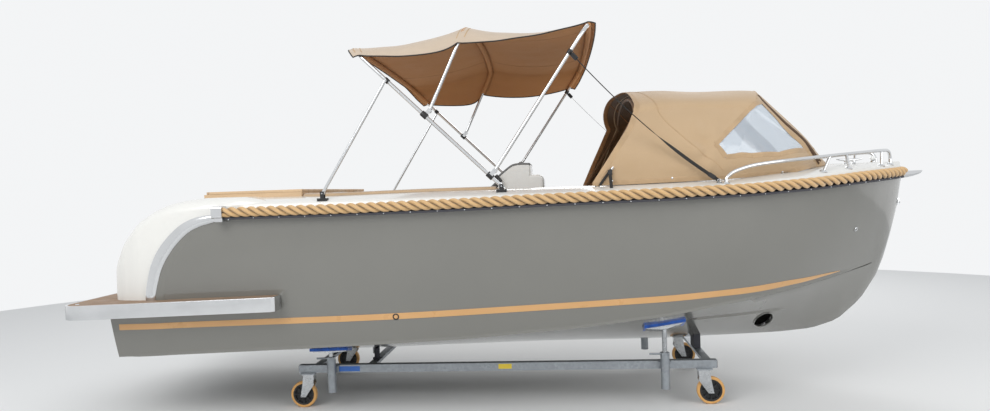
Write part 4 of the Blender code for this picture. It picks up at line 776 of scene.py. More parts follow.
def dress(frame: dict, node: str, finish: Finish, width: float = 0.0015) -> None:
    """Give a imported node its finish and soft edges.

    Args:
        frame: The loaded frame.
        node: The node's name.
        finish: Its finish.
        width: Width of its soft edges.
    """
    item = frame["nodes"][node]
    for slot in item.material_slots:
        slot.material = finish.material()
    weld = item.modifiers.new("joined_faces", "WELD")
    weld.merge_threshold = 0.00002
    item.data.shade_smooth()
    soften(item, width)
    LOG.info("%s: dressed in %s", node, finish.name)


def cut(mesh: bpy.types.Mesh, tools: Sequence[bpy.types.Mesh]) -> bpy.types.Mesh:
    """Return a mesh with others cut out of it by exact Booleans."""
    holder = linked("holder", mesh)
    spent = [holder]
    for tool in tools:
        cutter = linked("cutter", tool)
        change = holder.modifiers.new("cut", "BOOLEAN")
        change.operation = "DIFFERENCE"
        change.solver = "EXACT"
        change.object = cutter
        spent.append(cutter)
    result = seen_mesh(holder)
    for item in spent:
        bpy.data.objects.remove(item, do_unlink=True)
    return result


@dataclass
class Cloth:
    """A sheet of cloth as a grid of points, with a thickness and left-out cells.

    Attributes:
        points: Rows of points on the outside of the sheet.
        thickness: Of the sheet, inwards.
        outside: Finish of the outer face and the edges.
        inside: Finish of the inner face.
        holes: Cells, as row and column, that are left out.
    """

    points: list[list[Vector]]
    thickness: float
    outside: Finish
    inside: Finish
    holes: frozenset[tuple[int, int]] = frozenset()

    def normal(self, row: int, col: int) -> Vector:
        """Return the outward direction at a grid point."""
        rows, cols = len(self.points), len(self.points[0])
        along = (self.points[min(row + 1, rows - 1)][col] - self.points[max(row - 1, 0)][col])
        across = (self.points[row][min(col + 1, cols - 1)] - self.points[row][max(col - 1, 0)])
        return along.cross(across).normalized()

    def spans(self) -> tuple[list[float], list[float]]:
        """Return the distances along the middle column and the middle row."""
        rows, cols = len(self.points), len(self.points[0])
        return (lengths_along([row[cols // 2] for row in self.points]),
                lengths_along(self.points[rows // 2]))

    def mesh(self, name: str) -> bpy.types.Mesh:
        """Return the sheet as a closed thin mesh with a map in metres."""
        rows, cols = len(self.points), len(self.points[0])
        along, across = self.spans()
        places: list[Vector] = []
        marks: list[Pair] = []
        numbers: dict[tuple[int, int, int], int] = {}
        faces: list[list[int]] = []
        paint: list[int] = []

        def number(layer: int, row: int, col: int) -> int:
            """Return the number of a point, which is added once."""
            key = (layer, row, col)
            if key not in numbers:
                numbers[key] = len(places)
                depth = self.normal(row, col) * (self.thickness * layer)
                places.append(self.points[row][col] - depth)
                marks.append((along[row], across[col]))
            return numbers[key]

        cells = {(row, col) for row in range(rows - 1) for col in range(cols - 1)} - self.holes
        for row, col in sorted(cells):
            corners = ((row, col), (row, col + 1), (row + 1, col + 1), (row + 1, col))
            faces.append([number(0, *corner) for corner in corners])
            faces.append([number(1, *corner) for corner in reversed(corners)])
            paint += [0, 1]
            beside = ((row - 1, col), (row, col + 1), (row + 1, col), (row, col - 1))
            for index, other in enumerate(beside):
                if other not in cells:
                    first, second = corners[index], corners[(index + 1) % 4]
                    faces.append([number(0, *second), number(0, *first), number(1, *first),
                                  number(1, *second)])
                    paint.append(0)
        mesh = bpy.data.meshes.new(name)
        mesh.from_pydata([tuple(place) for place in places], [], faces)
        mesh.materials.append(self.outside.material())
        mesh.materials.append(self.inside.material())
        mesh.polygons.foreach_set("material_index", paint)
        layer = mesh.uv_layers.new(name="threads")
        for loop in mesh.loops:
            layer.data[loop.index].uv = marks[loop.vertex_index]
        return mesh


def band(solid: Solid, route: Sequence[Vector], facing: Sequence[Vector], width: float,
         height: float, finish: Finish) -> None:
    """Add a flat band that lies along a route on a surface.

    Args:
        solid: Where it is added.
        route: The middle of its underside.
        facing: The surface's outward direction at each point.
        width: Its width.
        height: Its thickness.
        finish: Its finish.
    """
    section = ((-0.5, -0.3), (-0.42, 0.8), (-0.2, 1.0), (0.2, 1.0), (0.42, 0.8), (0.5, -0.3))
    rings = []
    for spot, along, way in zip(route, tangents(route), facing):
        out = way.normalized()
        side = along.cross(out).normalized()
        rings.append([spot + side * (x * width) + out * (z * height) for x, z in section])
    solid.loft(rings, finish)


def seam(solid: Solid, route: Sequence[Vector], facing: Sequence[Vector], outer: Pair,
         inner: Pair, depth: float, finish: Finish) -> None:
    """Add a band along a route on each face of a cloth.

    Args:
        solid: Where they are added.
        route: The middle of the outer band's underside.
        facing: The cloth's outward direction at each point.
        outer: The outer band's width and thickness.
        inner: The inner band's width and thickness.
        depth: How far the inner band lies below the outer one.
        finish: The outer band's finish.
    """
    band(solid, route, facing, *outer, finish)
    under = [spot - out * depth for spot, out in zip(route, facing)]
    band(solid, under, [-out for out in facing], *inner, LINING_SEAM)


# ---------------------------------------------------------------- repeats


class Stamp(Enum):
    """The small form that is repeated along a line."""

    STITCH = 0
    STUD = 1


@dataclass(frozen=True)
class Repeat:
    """Small equal forms set along lines on a surface by a node tree.

    Attributes:
        stamp: The form.
        size: Its length or radius.
        spacing: Distance from one to the next.
        finish: Its finish.
    """

    stamp: Stamp
    size: float
    spacing: float
    finish: Finish

    def tree(self) -> bpy.types.GeometryNodeTree:
        """Return the tree that sets the forms along the lines of a mesh."""
        tree = bpy.data.node_groups.new(f"repeat_{self.stamp.name.lower()}", "GeometryNodeTree")
        for name, way, kind in (("Lines", "INPUT", "Geometry"), ("Spacing", "INPUT", "Float"),
                                ("Size", "INPUT", "Float"), ("Forms", "OUTPUT", "Geometry")):
            tree.interface.new_socket(name=name, in_out=way, socket_type=f"NodeSocket{kind}")
        add = tree.nodes.new
        entry, leave = add("NodeGroupInput"), add("NodeGroupOutput")
        curve, spread = add("GeometryNodeMeshToCurve"), add("GeometryNodeResampleCurve")
        spread.mode = "LENGTH"
        form = self.form(tree, entry.outputs["Size"])
        facing = add("GeometryNodeInputNamedAttribute")
        facing.data_type = "FLOAT_VECTOR"
        facing.inputs["Name"].default_value = "facing"
        upright, turned = (add("FunctionNodeAlignRotationToVector") for _ in range(2))
        upright.axis = "Z"
        turned.axis = "X"
        turned.pivot_axis = "Z"
        tangent = add("GeometryNodeInputTangent")
        set_out, real = add("GeometryNodeInstanceOnPoints"), add("GeometryNodeRealizeInstances")
        painted = add("GeometryNodeSetMaterial")
        painted.inputs["Material"].default_value = self.finish.material()
        tree.links.new(form, set_out.inputs["Instance"])
        for start, name, end, socket in (
                (entry, "Lines", curve, "Mesh"), (curve, "Curve", spread, "Curve"),
                (entry, "Spacing", spread, "Length"), (facing, "Attribute", upright, "Vector"),
                (upright, "Rotation", turned, "Rotation"), (tangent, "Tangent", turned, "Vector"),
                (spread, "Curve", set_out, "Points"), (turned, "Rotation", set_out, "Rotation"),
                (set_out, "Instances", real, "Geometry"), (real, "Geometry", painted, "Geometry"),
                (painted, "Geometry", leave, "Forms")):
            tree.links.new(start.outputs[name], end.inputs[socket])
        return tree

    def form(self, tree: bpy.types.GeometryNodeTree, size: Socket) -> Socket:
        """Return the output that holds one form, scaled to the size."""
        if self.stamp is Stamp.STITCH:
            node = tree.nodes.new("GeometryNodeMeshCube")
            node.inputs["Size"].default_value = (1.0, 0.28, 0.2)
        else:
            node = tree.nodes.new("GeometryNodeMeshUVSphere")
            node.inputs["Segments"].default_value = 14
            node.inputs["Rings"].default_value = 8
        flat = 0.42 if self.stamp is Stamp.STUD else 1.0
        shaped = tree.nodes.new("GeometryNodeTransform")
        sized = tree.nodes.new("ShaderNodeVectorMath")
        sized.operation = "SCALE"
        sized.inputs[0].default_value = (1.0, 1.0, flat)
        tree.links.new(size, sized.inputs["Scale"])
        tree.links.new(node.outputs["Mesh"], shaped.inputs["Geometry"])
        tree.links.new(sized.outputs["Vector"], shaped.inputs["Scale"])
        return shaped.outputs["Geometry"]

    def along(self, name: str, lines: Sequence[tuple[Sequence[Vector], Sequence[Vector]]],
              body: str = ROOT) -> bpy.types.Object:
        """Return the forms set along lines as one piece.

        Args:
            name: The piece's name.
            lines: For each line its points and the outward directions there.
            body: The body that it rides on.

        Returns:
            The piece.
        """
        points: list[Vector] = []
        facing: list[Vector] = []
        edges: list[tuple[int, int]] = []
        for route, outward in lines:
            first = len(points)
            points += route
            facing += outward
            edges += [(first + number, first + number + 1) for number in range(len(route) - 1)]
        mesh = bpy.data.meshes.new(f"{name}_lines")
        mesh.from_pydata([tuple(point) for point in points], edges, [])
        store = mesh.attributes.new("facing", "FLOAT_VECTOR", "POINT")
        store.data.foreach_set("vector", [part for way in facing for part in way])
        holder = linked(f"{name}_lines", mesh)
        tree = self.tree()
        change = holder.modifiers.new("repeat", "NODES")
        change.node_group = tree
        for socket in tree.interface.items_tree:
            if socket.name in ("Spacing", "Size") and socket.in_out == "INPUT":
                change[socket.identifier] = self.spacing if socket.name == "Spacing" else self.size
        made = seen_mesh(holder)
        made.name = name
        holder.modifiers.remove(change)
        bpy.data.objects.remove(holder, do_unlink=True)
        if not made.materials:
            made.materials.append(self.finish.material())
        return finished(name, made, self.finish, body)


# ---------------------------------------------------------------- hull


@dataclass(frozen=True)
class HullLines:
    """The lines of the hull and deck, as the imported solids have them."""

    beam: float = 2.28
    # x, keel height, chine half breadth share, chine height, sheer half share, sheer height
    sections: tuple[tuple[float, ...], ...] = (
        (-2.85, 0.330, 0.875, 0.485, 0.905, 0.7948),
        (-2.50, 0.328, 0.885, 0.498, 0.930, 0.8043),
        (-2.49, 0.328, 0.885, 0.499, 0.940, 0.915),
        (-2.42, 0.328, 0.887, 0.502, 0.948, 1.153),
        (-2.30, 0.327, 0.888, 0.506, 0.955, 1.317),
        (-2.12, 0.327, 0.890, 0.512, 0.962, 1.417),
        (-1.86, 0.326, 0.893, 0.521, 0.970, 1.496),
        (-1.30, 0.326, 0.898, 0.541, 0.985, 1.496),
        (-0.50, 0.343, 0.904, 0.577, 1.000, 1.504),
        (0.30, 0.357, 0.895, 0.634, 0.998, 1.520),
        (0.95, 0.361, 0.860, 0.697, 0.970, 1.530),
        (1.50, 0.378, 0.750, 0.768, 0.893, 1.540),
        (2.00, 0.397, 0.535, 0.831, 0.735, 1.564),
        (2.26, 0.420, 0.390, 0.868, 0.615, 1.583),
        (2.46, 0.476, 0.268, 0.900, 0.500, 1.600),
        (2.64, 0.614, 0.160, 0.930, 0.370, 1.612),
        (2.80, 0.835, 0.070, 0.970, 0.230, 1.622),
        (2.907, 1.127, 0.036, 1.200, 0.125, 1.630),
        (2.965, 1.350, 0.022, 1.410, 0.062, 1.633),
        (3.00, 1.560, 0.012, 1.585, 0.020, 1.634))
    # x, height of the deck's outer edge, height of the gunwale
    deck: tuple[tuple[float, ...], ...] = (
        (-2.20, 1.560, 1.600), (-1.40, 1.560, 1.592), (-0.50, 1.560, 1.600),
        (0.60, 1.568, 1.600), (1.40, 1.580, 1.612), (1.90, 1.610, 1.650),
        (2.45, 1.660, 1.700), (3.00, 1.690, 1.718))
    stern_fore: float = -2.49
    deck_ends: Pair = (-1.86, 2.99)
    bulge: float = 0.45
    bottom_power: float = 1.12
    gunwale_inset: float = 0.130
    camber: float = 0.035
    side_deck: float = 0.235

    def value(self, x: float, column: int) -> float:
        """Return a line's value at x, breadths in metres."""
        found = read_table(self.sections, x, column)
        return found * self.beam / 2 if column in (2, 4) else found

    def sheer_half(self, x: float) -> float:
        """Return the half breadth at the sheer."""
        return self.value(x, 4)

    def sheer(self, x: float) -> float:
        """Return the height of the sheer."""
        return self.value(x, 5)

    def half_section(self, x: float, low_steps: int = 9, side_steps: int = 16) -> list[Pair]:
        """Return (y, z) points from the keel to the sheer."""
        keel, chine_z = self.value(x, 1), self.value(x, 3)
        chine_y, sheer_y, sheer_z = self.value(x, 2), self.value(x, 4), self.value(x, 5)
        points = []
        for part in between(0.0, 1.0, low_steps)[:-1]:
            points.append((part * chine_y, keel + (chine_z - keel) * part ** self.bottom_power))
        for part in between(0.0, 1.0, side_steps):
            swell = part + self.bulge * part * (1 - part)
            points.append((chine_y + (sheer_y - chine_y) * swell,
                           chine_z + (sheer_z - chine_z) * part))
        return points

    def stations(self, aft: float, fore: float, step: float = 0.07) -> list[float]:
        """Return closely spaced places along the boat with every section among them."""
        rows = sorted({aft, fore} | {row[0] for row in self.sections if aft < row[0] < fore})
        places: list[float] = []
        for first, second in zip(rows, rows[1:]):
            places += between(first, second, max(1, math.ceil((second - first) / step)))[:-1]
        return places + [fore]

    def side_at(self, x: float, z: float) -> float:
        """Return the half breadth of the topsides at a height."""
        half = self.half_section(x)
        for (y0, z0), (y1, z1) in zip(half, half[1:]):
            if z0 <= z <= z1:
                return y0 + (y1 - y0) * (z - z0) / max(z1 - z0, 1e-6)
        return half[-1][0] if z > half[-1][1] else half[0][0]

    def side_point(self, side: int, x: float, z: float, out: float) -> Vector:
        """Return a point a little outside the topsides."""
        return Vector((x, side * self.side_at(x, z), z)) + self.side_facing(side, x, z) * out

    def side_facing(self, side: int, x: float, z: float) -> Vector:
        """Return the topsides' outward direction."""
        step = 0.02
        fore = Vector((2 * step, side * (self.side_at(x + step, z)
                                         - self.side_at(x - step, z)), 0.0))
        rise = Vector((0.0, side * (self.side_at(x, z + step)
                                    - self.side_at(x, z - step)), 2 * step))
        return (fore.cross(rise) * -side).normalized()

    def deck_profile(self, x: float) -> list[Pair]:
        """Return the deck's upper half section, from its outer edge to the crown."""
        half = self.sheer_half(x)
        edge, gunwale = read_table(self.deck, x, 1), read_table(self.deck, x, 2)
        rounding = min(0.030, half * 0.2)
        outer = (half - rounding * 0.4, edge)
        inner = (half - min(self.gunwale_inset, half * 0.5), gunwale)
        crown = gunwale + self.camber * min(half / (self.beam / 2), 1.0)
        return [(half, self.sheer(x) + 0.0003), (half, edge - (half - outer[0]) * 2), outer,
                inner, (half * 0.45, gunwale + (crown - gunwale) * 0.7), (0.0, crown)]

    def deck_top(self, x: float, y: float) -> float:
        """Return the height of the deck's upper side."""
        aft, fore = self.deck_ends
        profile = self.deck_profile(min(max(x, aft), fore))[2:]
        reach = min(abs(y), profile[0][0])
        for (y0, z0), (y1, z1) in zip(profile, profile[1:]):
            if y1 <= reach <= y0:
                return z0 + (z1 - z0) * (y0 - reach) / (y0 - y1)
        return profile[-1][1]

    def deck_facing(self, x: float, y: float) -> Vector:
        """Return the deck's upward direction."""
        step = 0.01
        fore = Vector((2 * step, 0.0, self.deck_top(x + step, y) - self.deck_top(x - step, y)))
        port = Vector((0.0, 2 * step, self.deck_top(x, y + step) - self.deck_top(x, y - step)))
        return fore.cross(port).normalized()

    def cockpit_half(self, x: float) -> float:
        """Return the cockpit opening's half breadth."""
        return self.sheer_half(x) - self.side_deck

    def cockpit_outline(self, aft: float, fore: float, inset: float = 0.0, corner: float = 0.12,
                        steps: int = 48) -> list[Pair]:
        """Return the plan outline of the cockpit, moved in by an inset."""
        low, high = aft + inset, fore - inset
        side = [[x, self.cockpit_half(x) - inset] for x in between(low, high, steps)]
        for point in (side[0], side[-1]):
            point[1] -= corner
        side[1:2] = []
        side[-2:-1] = []
        turn = corner * 0.3
        half = side + [[low + turn, self.cockpit_half(low) - inset - turn],
                       [high - turn, self.cockpit_half(high) - inset - turn]]
        half = [point for point in half if not (low < point[0] < low + turn
                                                or high - turn < point[0] < high)]
        half.sort(key=lambda point: point[0])
        return [(x, -y) for x, y in half] + [(x, y) for x, y in reversed(half)]

    def along_sheer(self, side: int, aft: float, fore: float, out: float, rise: float,
                    step: float = 0.05) -> list[Vector]:
        """Return points along the sheer, moved out and up from it."""
        points = []
        for x in self.stations(aft, fore, step):
            tangent = Vector((0.02, self.sheer_half(x + 0.01) - self.sheer_half(x - 0.01)))
            normal = Vector((-tangent.y, tangent.x)).normalized()
            points.append(Vector((x + normal.x * out, side * (self.sheer_half(x) + normal.y * out),
                                  self.sheer(x) + rise)))
        return points


@dataclass
class Hull:
    """The painted hull with its stripe, strakes and openings."""

    lines: HullLines
    wall: float = 0.022
    ends: Pair = (-2.85, 3.0)
    cavity_ends: Pair = (-2.80, 2.42)
    transom_rake: float = 0.12
    tunnel: Triple = (1.86, 0.545, 0.07)
    stripe_middle: tuple[Pair, ...] = (
        (-2.82, 0.705), (-1.266, 0.739), (0.593, 0.809), (1.161, 0.830), (1.655, 0.852),
        (2.024, 0.878), (2.327, 0.907), (2.42, 0.916))
    stripe_ends: Pair = (-2.82, 2.40)
    stripe_half: float = 0.021
    stripe_taper: Pair = (1.75, 0.65)
    strake_low: tuple[Pair, ...] = (
        (1.20, 0.628), (1.45, 0.630), (1.80, 0.635), (2.05, 0.640))
    # Rise in strake heights and reach in strake breadths
    strake_section: tuple[Pair, ...] = (
        (-0.30, -0.4), (-0.26, 0.75), (-0.05, 1.0), (1.0, 0.05), (1.0, -0.5))
    # Rise and reach of the dark painted shadow line under the chine, in metres
    chine_section: tuple[Pair, ...] = (
        (-0.0062, 0.0012), (-0.0062, 0.0024), (-0.0022, 0.0026), (-0.0022, -0.002),
        (-0.0062, -0.002))
    drain: Pair = (-0.802, 0.749)

    def build(self) -> None:
        """Build the hull and everything that is fixed on its sides."""
        self.shell()
        for side in Side:
            self.stripe(side)
            self.strakes(side)
            self.fittings(side)

    def ring(self, x: float, wall: float = 0.0, rake: float = 0.0,
             top: float | None = None) -> list[Vector]:
        """Return the whole section at x, from starboard to port."""
        half = self.lines.half_section(x)
        chine_z, keel = self.lines.value(x, 3), self.lines.value(x, 1)
        if wall:
            half = [(max(y - wall, 0.0), z + wall * 1.6 * max(0.0, 1 - (z - keel)
                     / max(chine_z - keel, 0.01))) for y, z in half]
        if top is not None:
            half[-1] = (half[-1][0], top)
        ring = [Vector((x - rake * (z - chine_z), -y, z)) for y, z in reversed(half)]
        return ring + [Vector((x - rake * (z - chine_z), y, z)) for y, z in half[1:]]

    def shell(self) -> None:
        """Build the hollow shell with the thruster tunnel through it."""
        stations = self.lines.stations(*self.ends)
        outside = Solid().loft([self.ring(x, rake=self.transom_rake if x == stations[0] else 0.0)
                                for x in stations], HULL_PAINT).mesh("hull_outside")
        aft, fore = self.cavity_ends
        inner = [x for x in stations if aft < x < fore]
        cavity = Solid().loft([self.ring(x, self.wall, top=2.0) for x in inner],
                              HULL_PAINT).mesh("hull_cavity")
        x, z, radius = self.tunnel
        bore = Solid().turned([(0.0, -1.2), (radius, -1.2), (radius, 1.2), (0.0, 1.2)],
                              (x, 0.0, z), ACROSS, HULL_PAINT, 40).mesh("tunnel")
        finished("hull_skin", cut(outside, [cavity, bore]), HULL_PAINT, replaces=["hull_shell"],
                 angle=38)
        fan = Solid()
        fan.turned([(0.0, -0.05), (0.026, -0.05), (0.030, 0.05), (0.0, 0.06)], (x, 0.0, z),
                   ACROSS, BLACK_PLASTIC)
        for along, rise in circle(1.0, 4):
            out = Vector((along, 0.0, rise))
            fan.plate(Vector((x, 0.0, z)) + out * 0.038, (0.3, 1.0, 0.2), out,
                      (0.056, 0.038, 0.004), BLACK_PLASTIC)
        fan.piece("thruster_fan")

    def stripe(self, side: Side) -> None:
        """Lay the amber waterline stripe on one side."""
        solid = Solid()
        rings = []
        start, reach = self.stripe_taper
        for x in between(*self.stripe_ends, 130):
            middle = read_table(self.stripe_middle, x, 1)
            share = 1.0 - 0.94 * max((x - start) / reach, 0.0) ** 1.6
            outline = []
            for out, rises in ((0.0026, (-1.0, -0.35, 0.35, 1.0)), (-0.004, (1.0, -1.0))):
                for rise in rises:
                    outline.append(self.lines.side_point(
                        side.value, x, middle + rise * self.stripe_half * share, out))
            rings.append(outline)
        solid.loft(rings, STRIPE_PAINT)
        solid.piece(f"waterline_stripe_{side.label}")

    def strakes(self, side: Side) -> None:
        """Build the spray rail, the short bow strake and a painted shadow line at the chine."""
        solid = Solid()
        chine = [(row[0], row[3]) for row in self.lines.sections]
        for table, start, end, steps, height, reach in (
                (chine, -2.80, 2.60, 110, 0.014, 0.006),
                (self.strake_low, 1.20, 2.05, 40, 0.012, 0.010)):
            rings = []
            for x in between(start, end, steps):
                z = read_table(table, x, 1) + 0.002
                fade = max(ease((x - start) / 0.12) * ease((end - x) / 0.18), 0.05)
                rings.append([self.lines.side_point(side.value, x, z + rise * height,
                                                    out * reach * fade)
                              for rise, out in self.strake_section])
            solid.loft(rings, HULL_PAINT)
        # Painted shadow: a thin dark band under the chine's edge.
        solid.loft([[self.lines.side_point(side.value, x, read_table(chine, x, 1) + rise, out)
                     for rise, out in self.chine_section] for x in between(0.70, 2.72, 90)],
                   CHINE_SHADOW)
        solid.piece(f"hull_strakes_{side.label}")

    def fittings(self, side: Side) -> None:
        """Set the tunnel's rim and a drain."""
        solid = Solid()
        x, z, radius = self.tunnel
        rim = [self.lines.side_point(side.value, x + along, z + rise, 0.001)
               for along, rise in circle(radius + 0.003, 40)]
        solid.tube(rim, 0.006, HULL_PAINT, 8, closed=True)
        place = self.lines.side_point(side.value, *self.drain, -0.004)
        facing = self.lines.side_facing(side.value, *self.drain)
        solid.turned([(0.0, 0.0), (0.023, 0.0), (0.023, 0.0075), (0.019, 0.010), (0.015, 0.0085),
                      (0.013, 0.005), (0.0, 0.005)], place, facing, BLACK_PLASTIC, 28)
        solid.piece(f"hull_openings_{side.label}")


@dataclass
class Deck:
    """The white deck with the tan cap around the cockpit, its cleats and its light."""

    lines: HullLines
    cockpit: Pair = (-1.46, 1.92)
    cap_aft: float = -0.05
    cleat_foot: Pair = (2.49, 0.36)
    light_x: float = 2.80
    flange: float = 0.060
    thick: float = 0.030

    def build(self) -> None:
        """Build the deck and what is fixed on it."""
        self.moulding()
        self.cap()
        self.fittings()

    def ring(self, x: float) -> list[Vector]:
        """Return the deck's section at x, an upturned channel with rounded shoulders."""
        profile = self.lines.deck_profile(x)
        half, under = profile[0]
        edge = profile[2][1]
        inner_y, gunwale = profile[3]
        flange = min(self.flange, half * 0.45)
        top = [profile[0]] + self.softened(profile[1:]) + [profile[-1]]
        below = [(half * 0.42, profile[4][1] - self.thick),
                 (min(inner_y, half - flange) - 0.001, gunwale - self.thick),
                 (half - flange, edge - self.thick), (half - flange, under)]
        crown = profile[-1][1]
        ring = [Vector((x, -y, z)) for y, z in top] + [Vector((x, y, z))
                                                       for y, z in reversed(top[:-1])]
        ring += [Vector((x, y, z)) for y, z in reversed(below)]
        ring.append(Vector((x, 0.0, crown - self.thick)))
        return ring + [Vector((x, -y, z)) for y, z in below]

    def softened(self, profile: Outline) -> list[Pair]:
        """Return the profile's middle points with their corners rounded."""
        found: list[Pair] = [profile[0]]
        for before, here, after in zip(profile, profile[1:], profile[2:]):
            start = Vector(here).lerp(Vector(before), 0.28)
            end = Vector(here).lerp(Vector(after), 0.18)
            for part in (0.0, 0.5, 1.0):
                found.append(tuple(turn_at(start, Vector(here), end, part)))
        return found

    def moulding(self) -> None:
        """Build the deck with the cockpit cut out."""
        stations = self.lines.stations(*self.lines.deck_ends, 0.09)
        solid = Solid().loft([self.ring(x) for x in stations], GELCOAT).mesh("deck")
        opening = Solid().prism(self.lines.cockpit_outline(*self.cockpit), 1.2, 2.2,
                                GELCOAT).mesh("opening")
        finished("deck_skin", cut(solid, [opening]), GELCOAT, replaces=["deck_moulding"],
                 angle=42)

    def cap(self) -> None:
        """Lay the soft tan cap along the cockpit's edge."""
        solid = Solid()
        outline = self.lines.cockpit_outline(self.cockpit[0], 1.02, -0.018, 0.12, 40)
        count = len(outline)
        route = [Vector((x, y, self.lines.deck_top(x, y) + 0.004)) for x, y in outline]
        route = [spot for spot in route[count // 2 - 1::-1] + route[:count // 2 - 1:-1]
                 if spot.x < self.cap_aft]
        facing = [self.lines.deck_facing(spot.x, spot.y) for spot in route]
        fine = smooth_route(route, 0.03)
        band(solid, fine, self.spread(facing, len(fine)), 0.075, 0.014, CUSHION_CAP)
        solid.piece("coaming_cap")

    @staticmethod
    def spread(values: Sequence[Vector], count: int) -> list[Vector]:
        """Return directions spread over another number of places."""
        return [values[min(int(index * len(values) / count), len(values) - 1)]
                for index in range(count)]

    def fittings(self) -> None:
        """Set the cleats and the bow light on the deck."""
        solid = Solid()
        for side in Side:
            self.cleat(solid, side.at(*self.cleat_foot, self.lines.deck_top(*self.cleat_foot)))
        solid.piece("deck_cleats")
        light = Solid()
        foot = Vector((self.light_x, 0.0, self.lines.deck_top(self.light_x, 0.0)))
        light.turned([(0.0, 0.0), (0.021, 0.0), (0.021, 0.010), (0.012, 0.016), (0.0, 0.016)],
                     foot, UP, STEEL)
        light.turned([(0.0, 0.014), (0.018, 0.018), (0.023, 0.032), (0.018, 0.046),
                      (0.0, 0.052)], foot, UP, LENS)
        light.piece("bow_light")

    @staticmethod
    def cleat(solid: Solid, foot: Vector) -> None:
        """Add a horn cleat at a place."""
        reach, ends = 0.095, 0.101
        for lean in (-0.028, 0.028):
            solid.turned([(0.0, -0.002), (0.016, 0.0), (0.014, 0.005), (0.009, 0.012),
                          (0.009, 0.028), (0.0, 0.030)], foot + Vector((lean, 0, 0)),
                         UP, STEEL, 20)
        route = [foot + Vector((x, 0.0, 0.028 + 0.008 * (abs(x) / reach) ** 2))
                 for x in between(-reach, reach, 14)]
        rings = []
        for spot in route:
            share = math.sqrt(max(1 - ((spot.x - foot.x) / ends) ** 2, 0.05))
            rings.append([spot + Vector((0.0, y * share, z * share))
                          for y, z in circle(0.010, 12)])
        solid.loft(rings, STEEL)


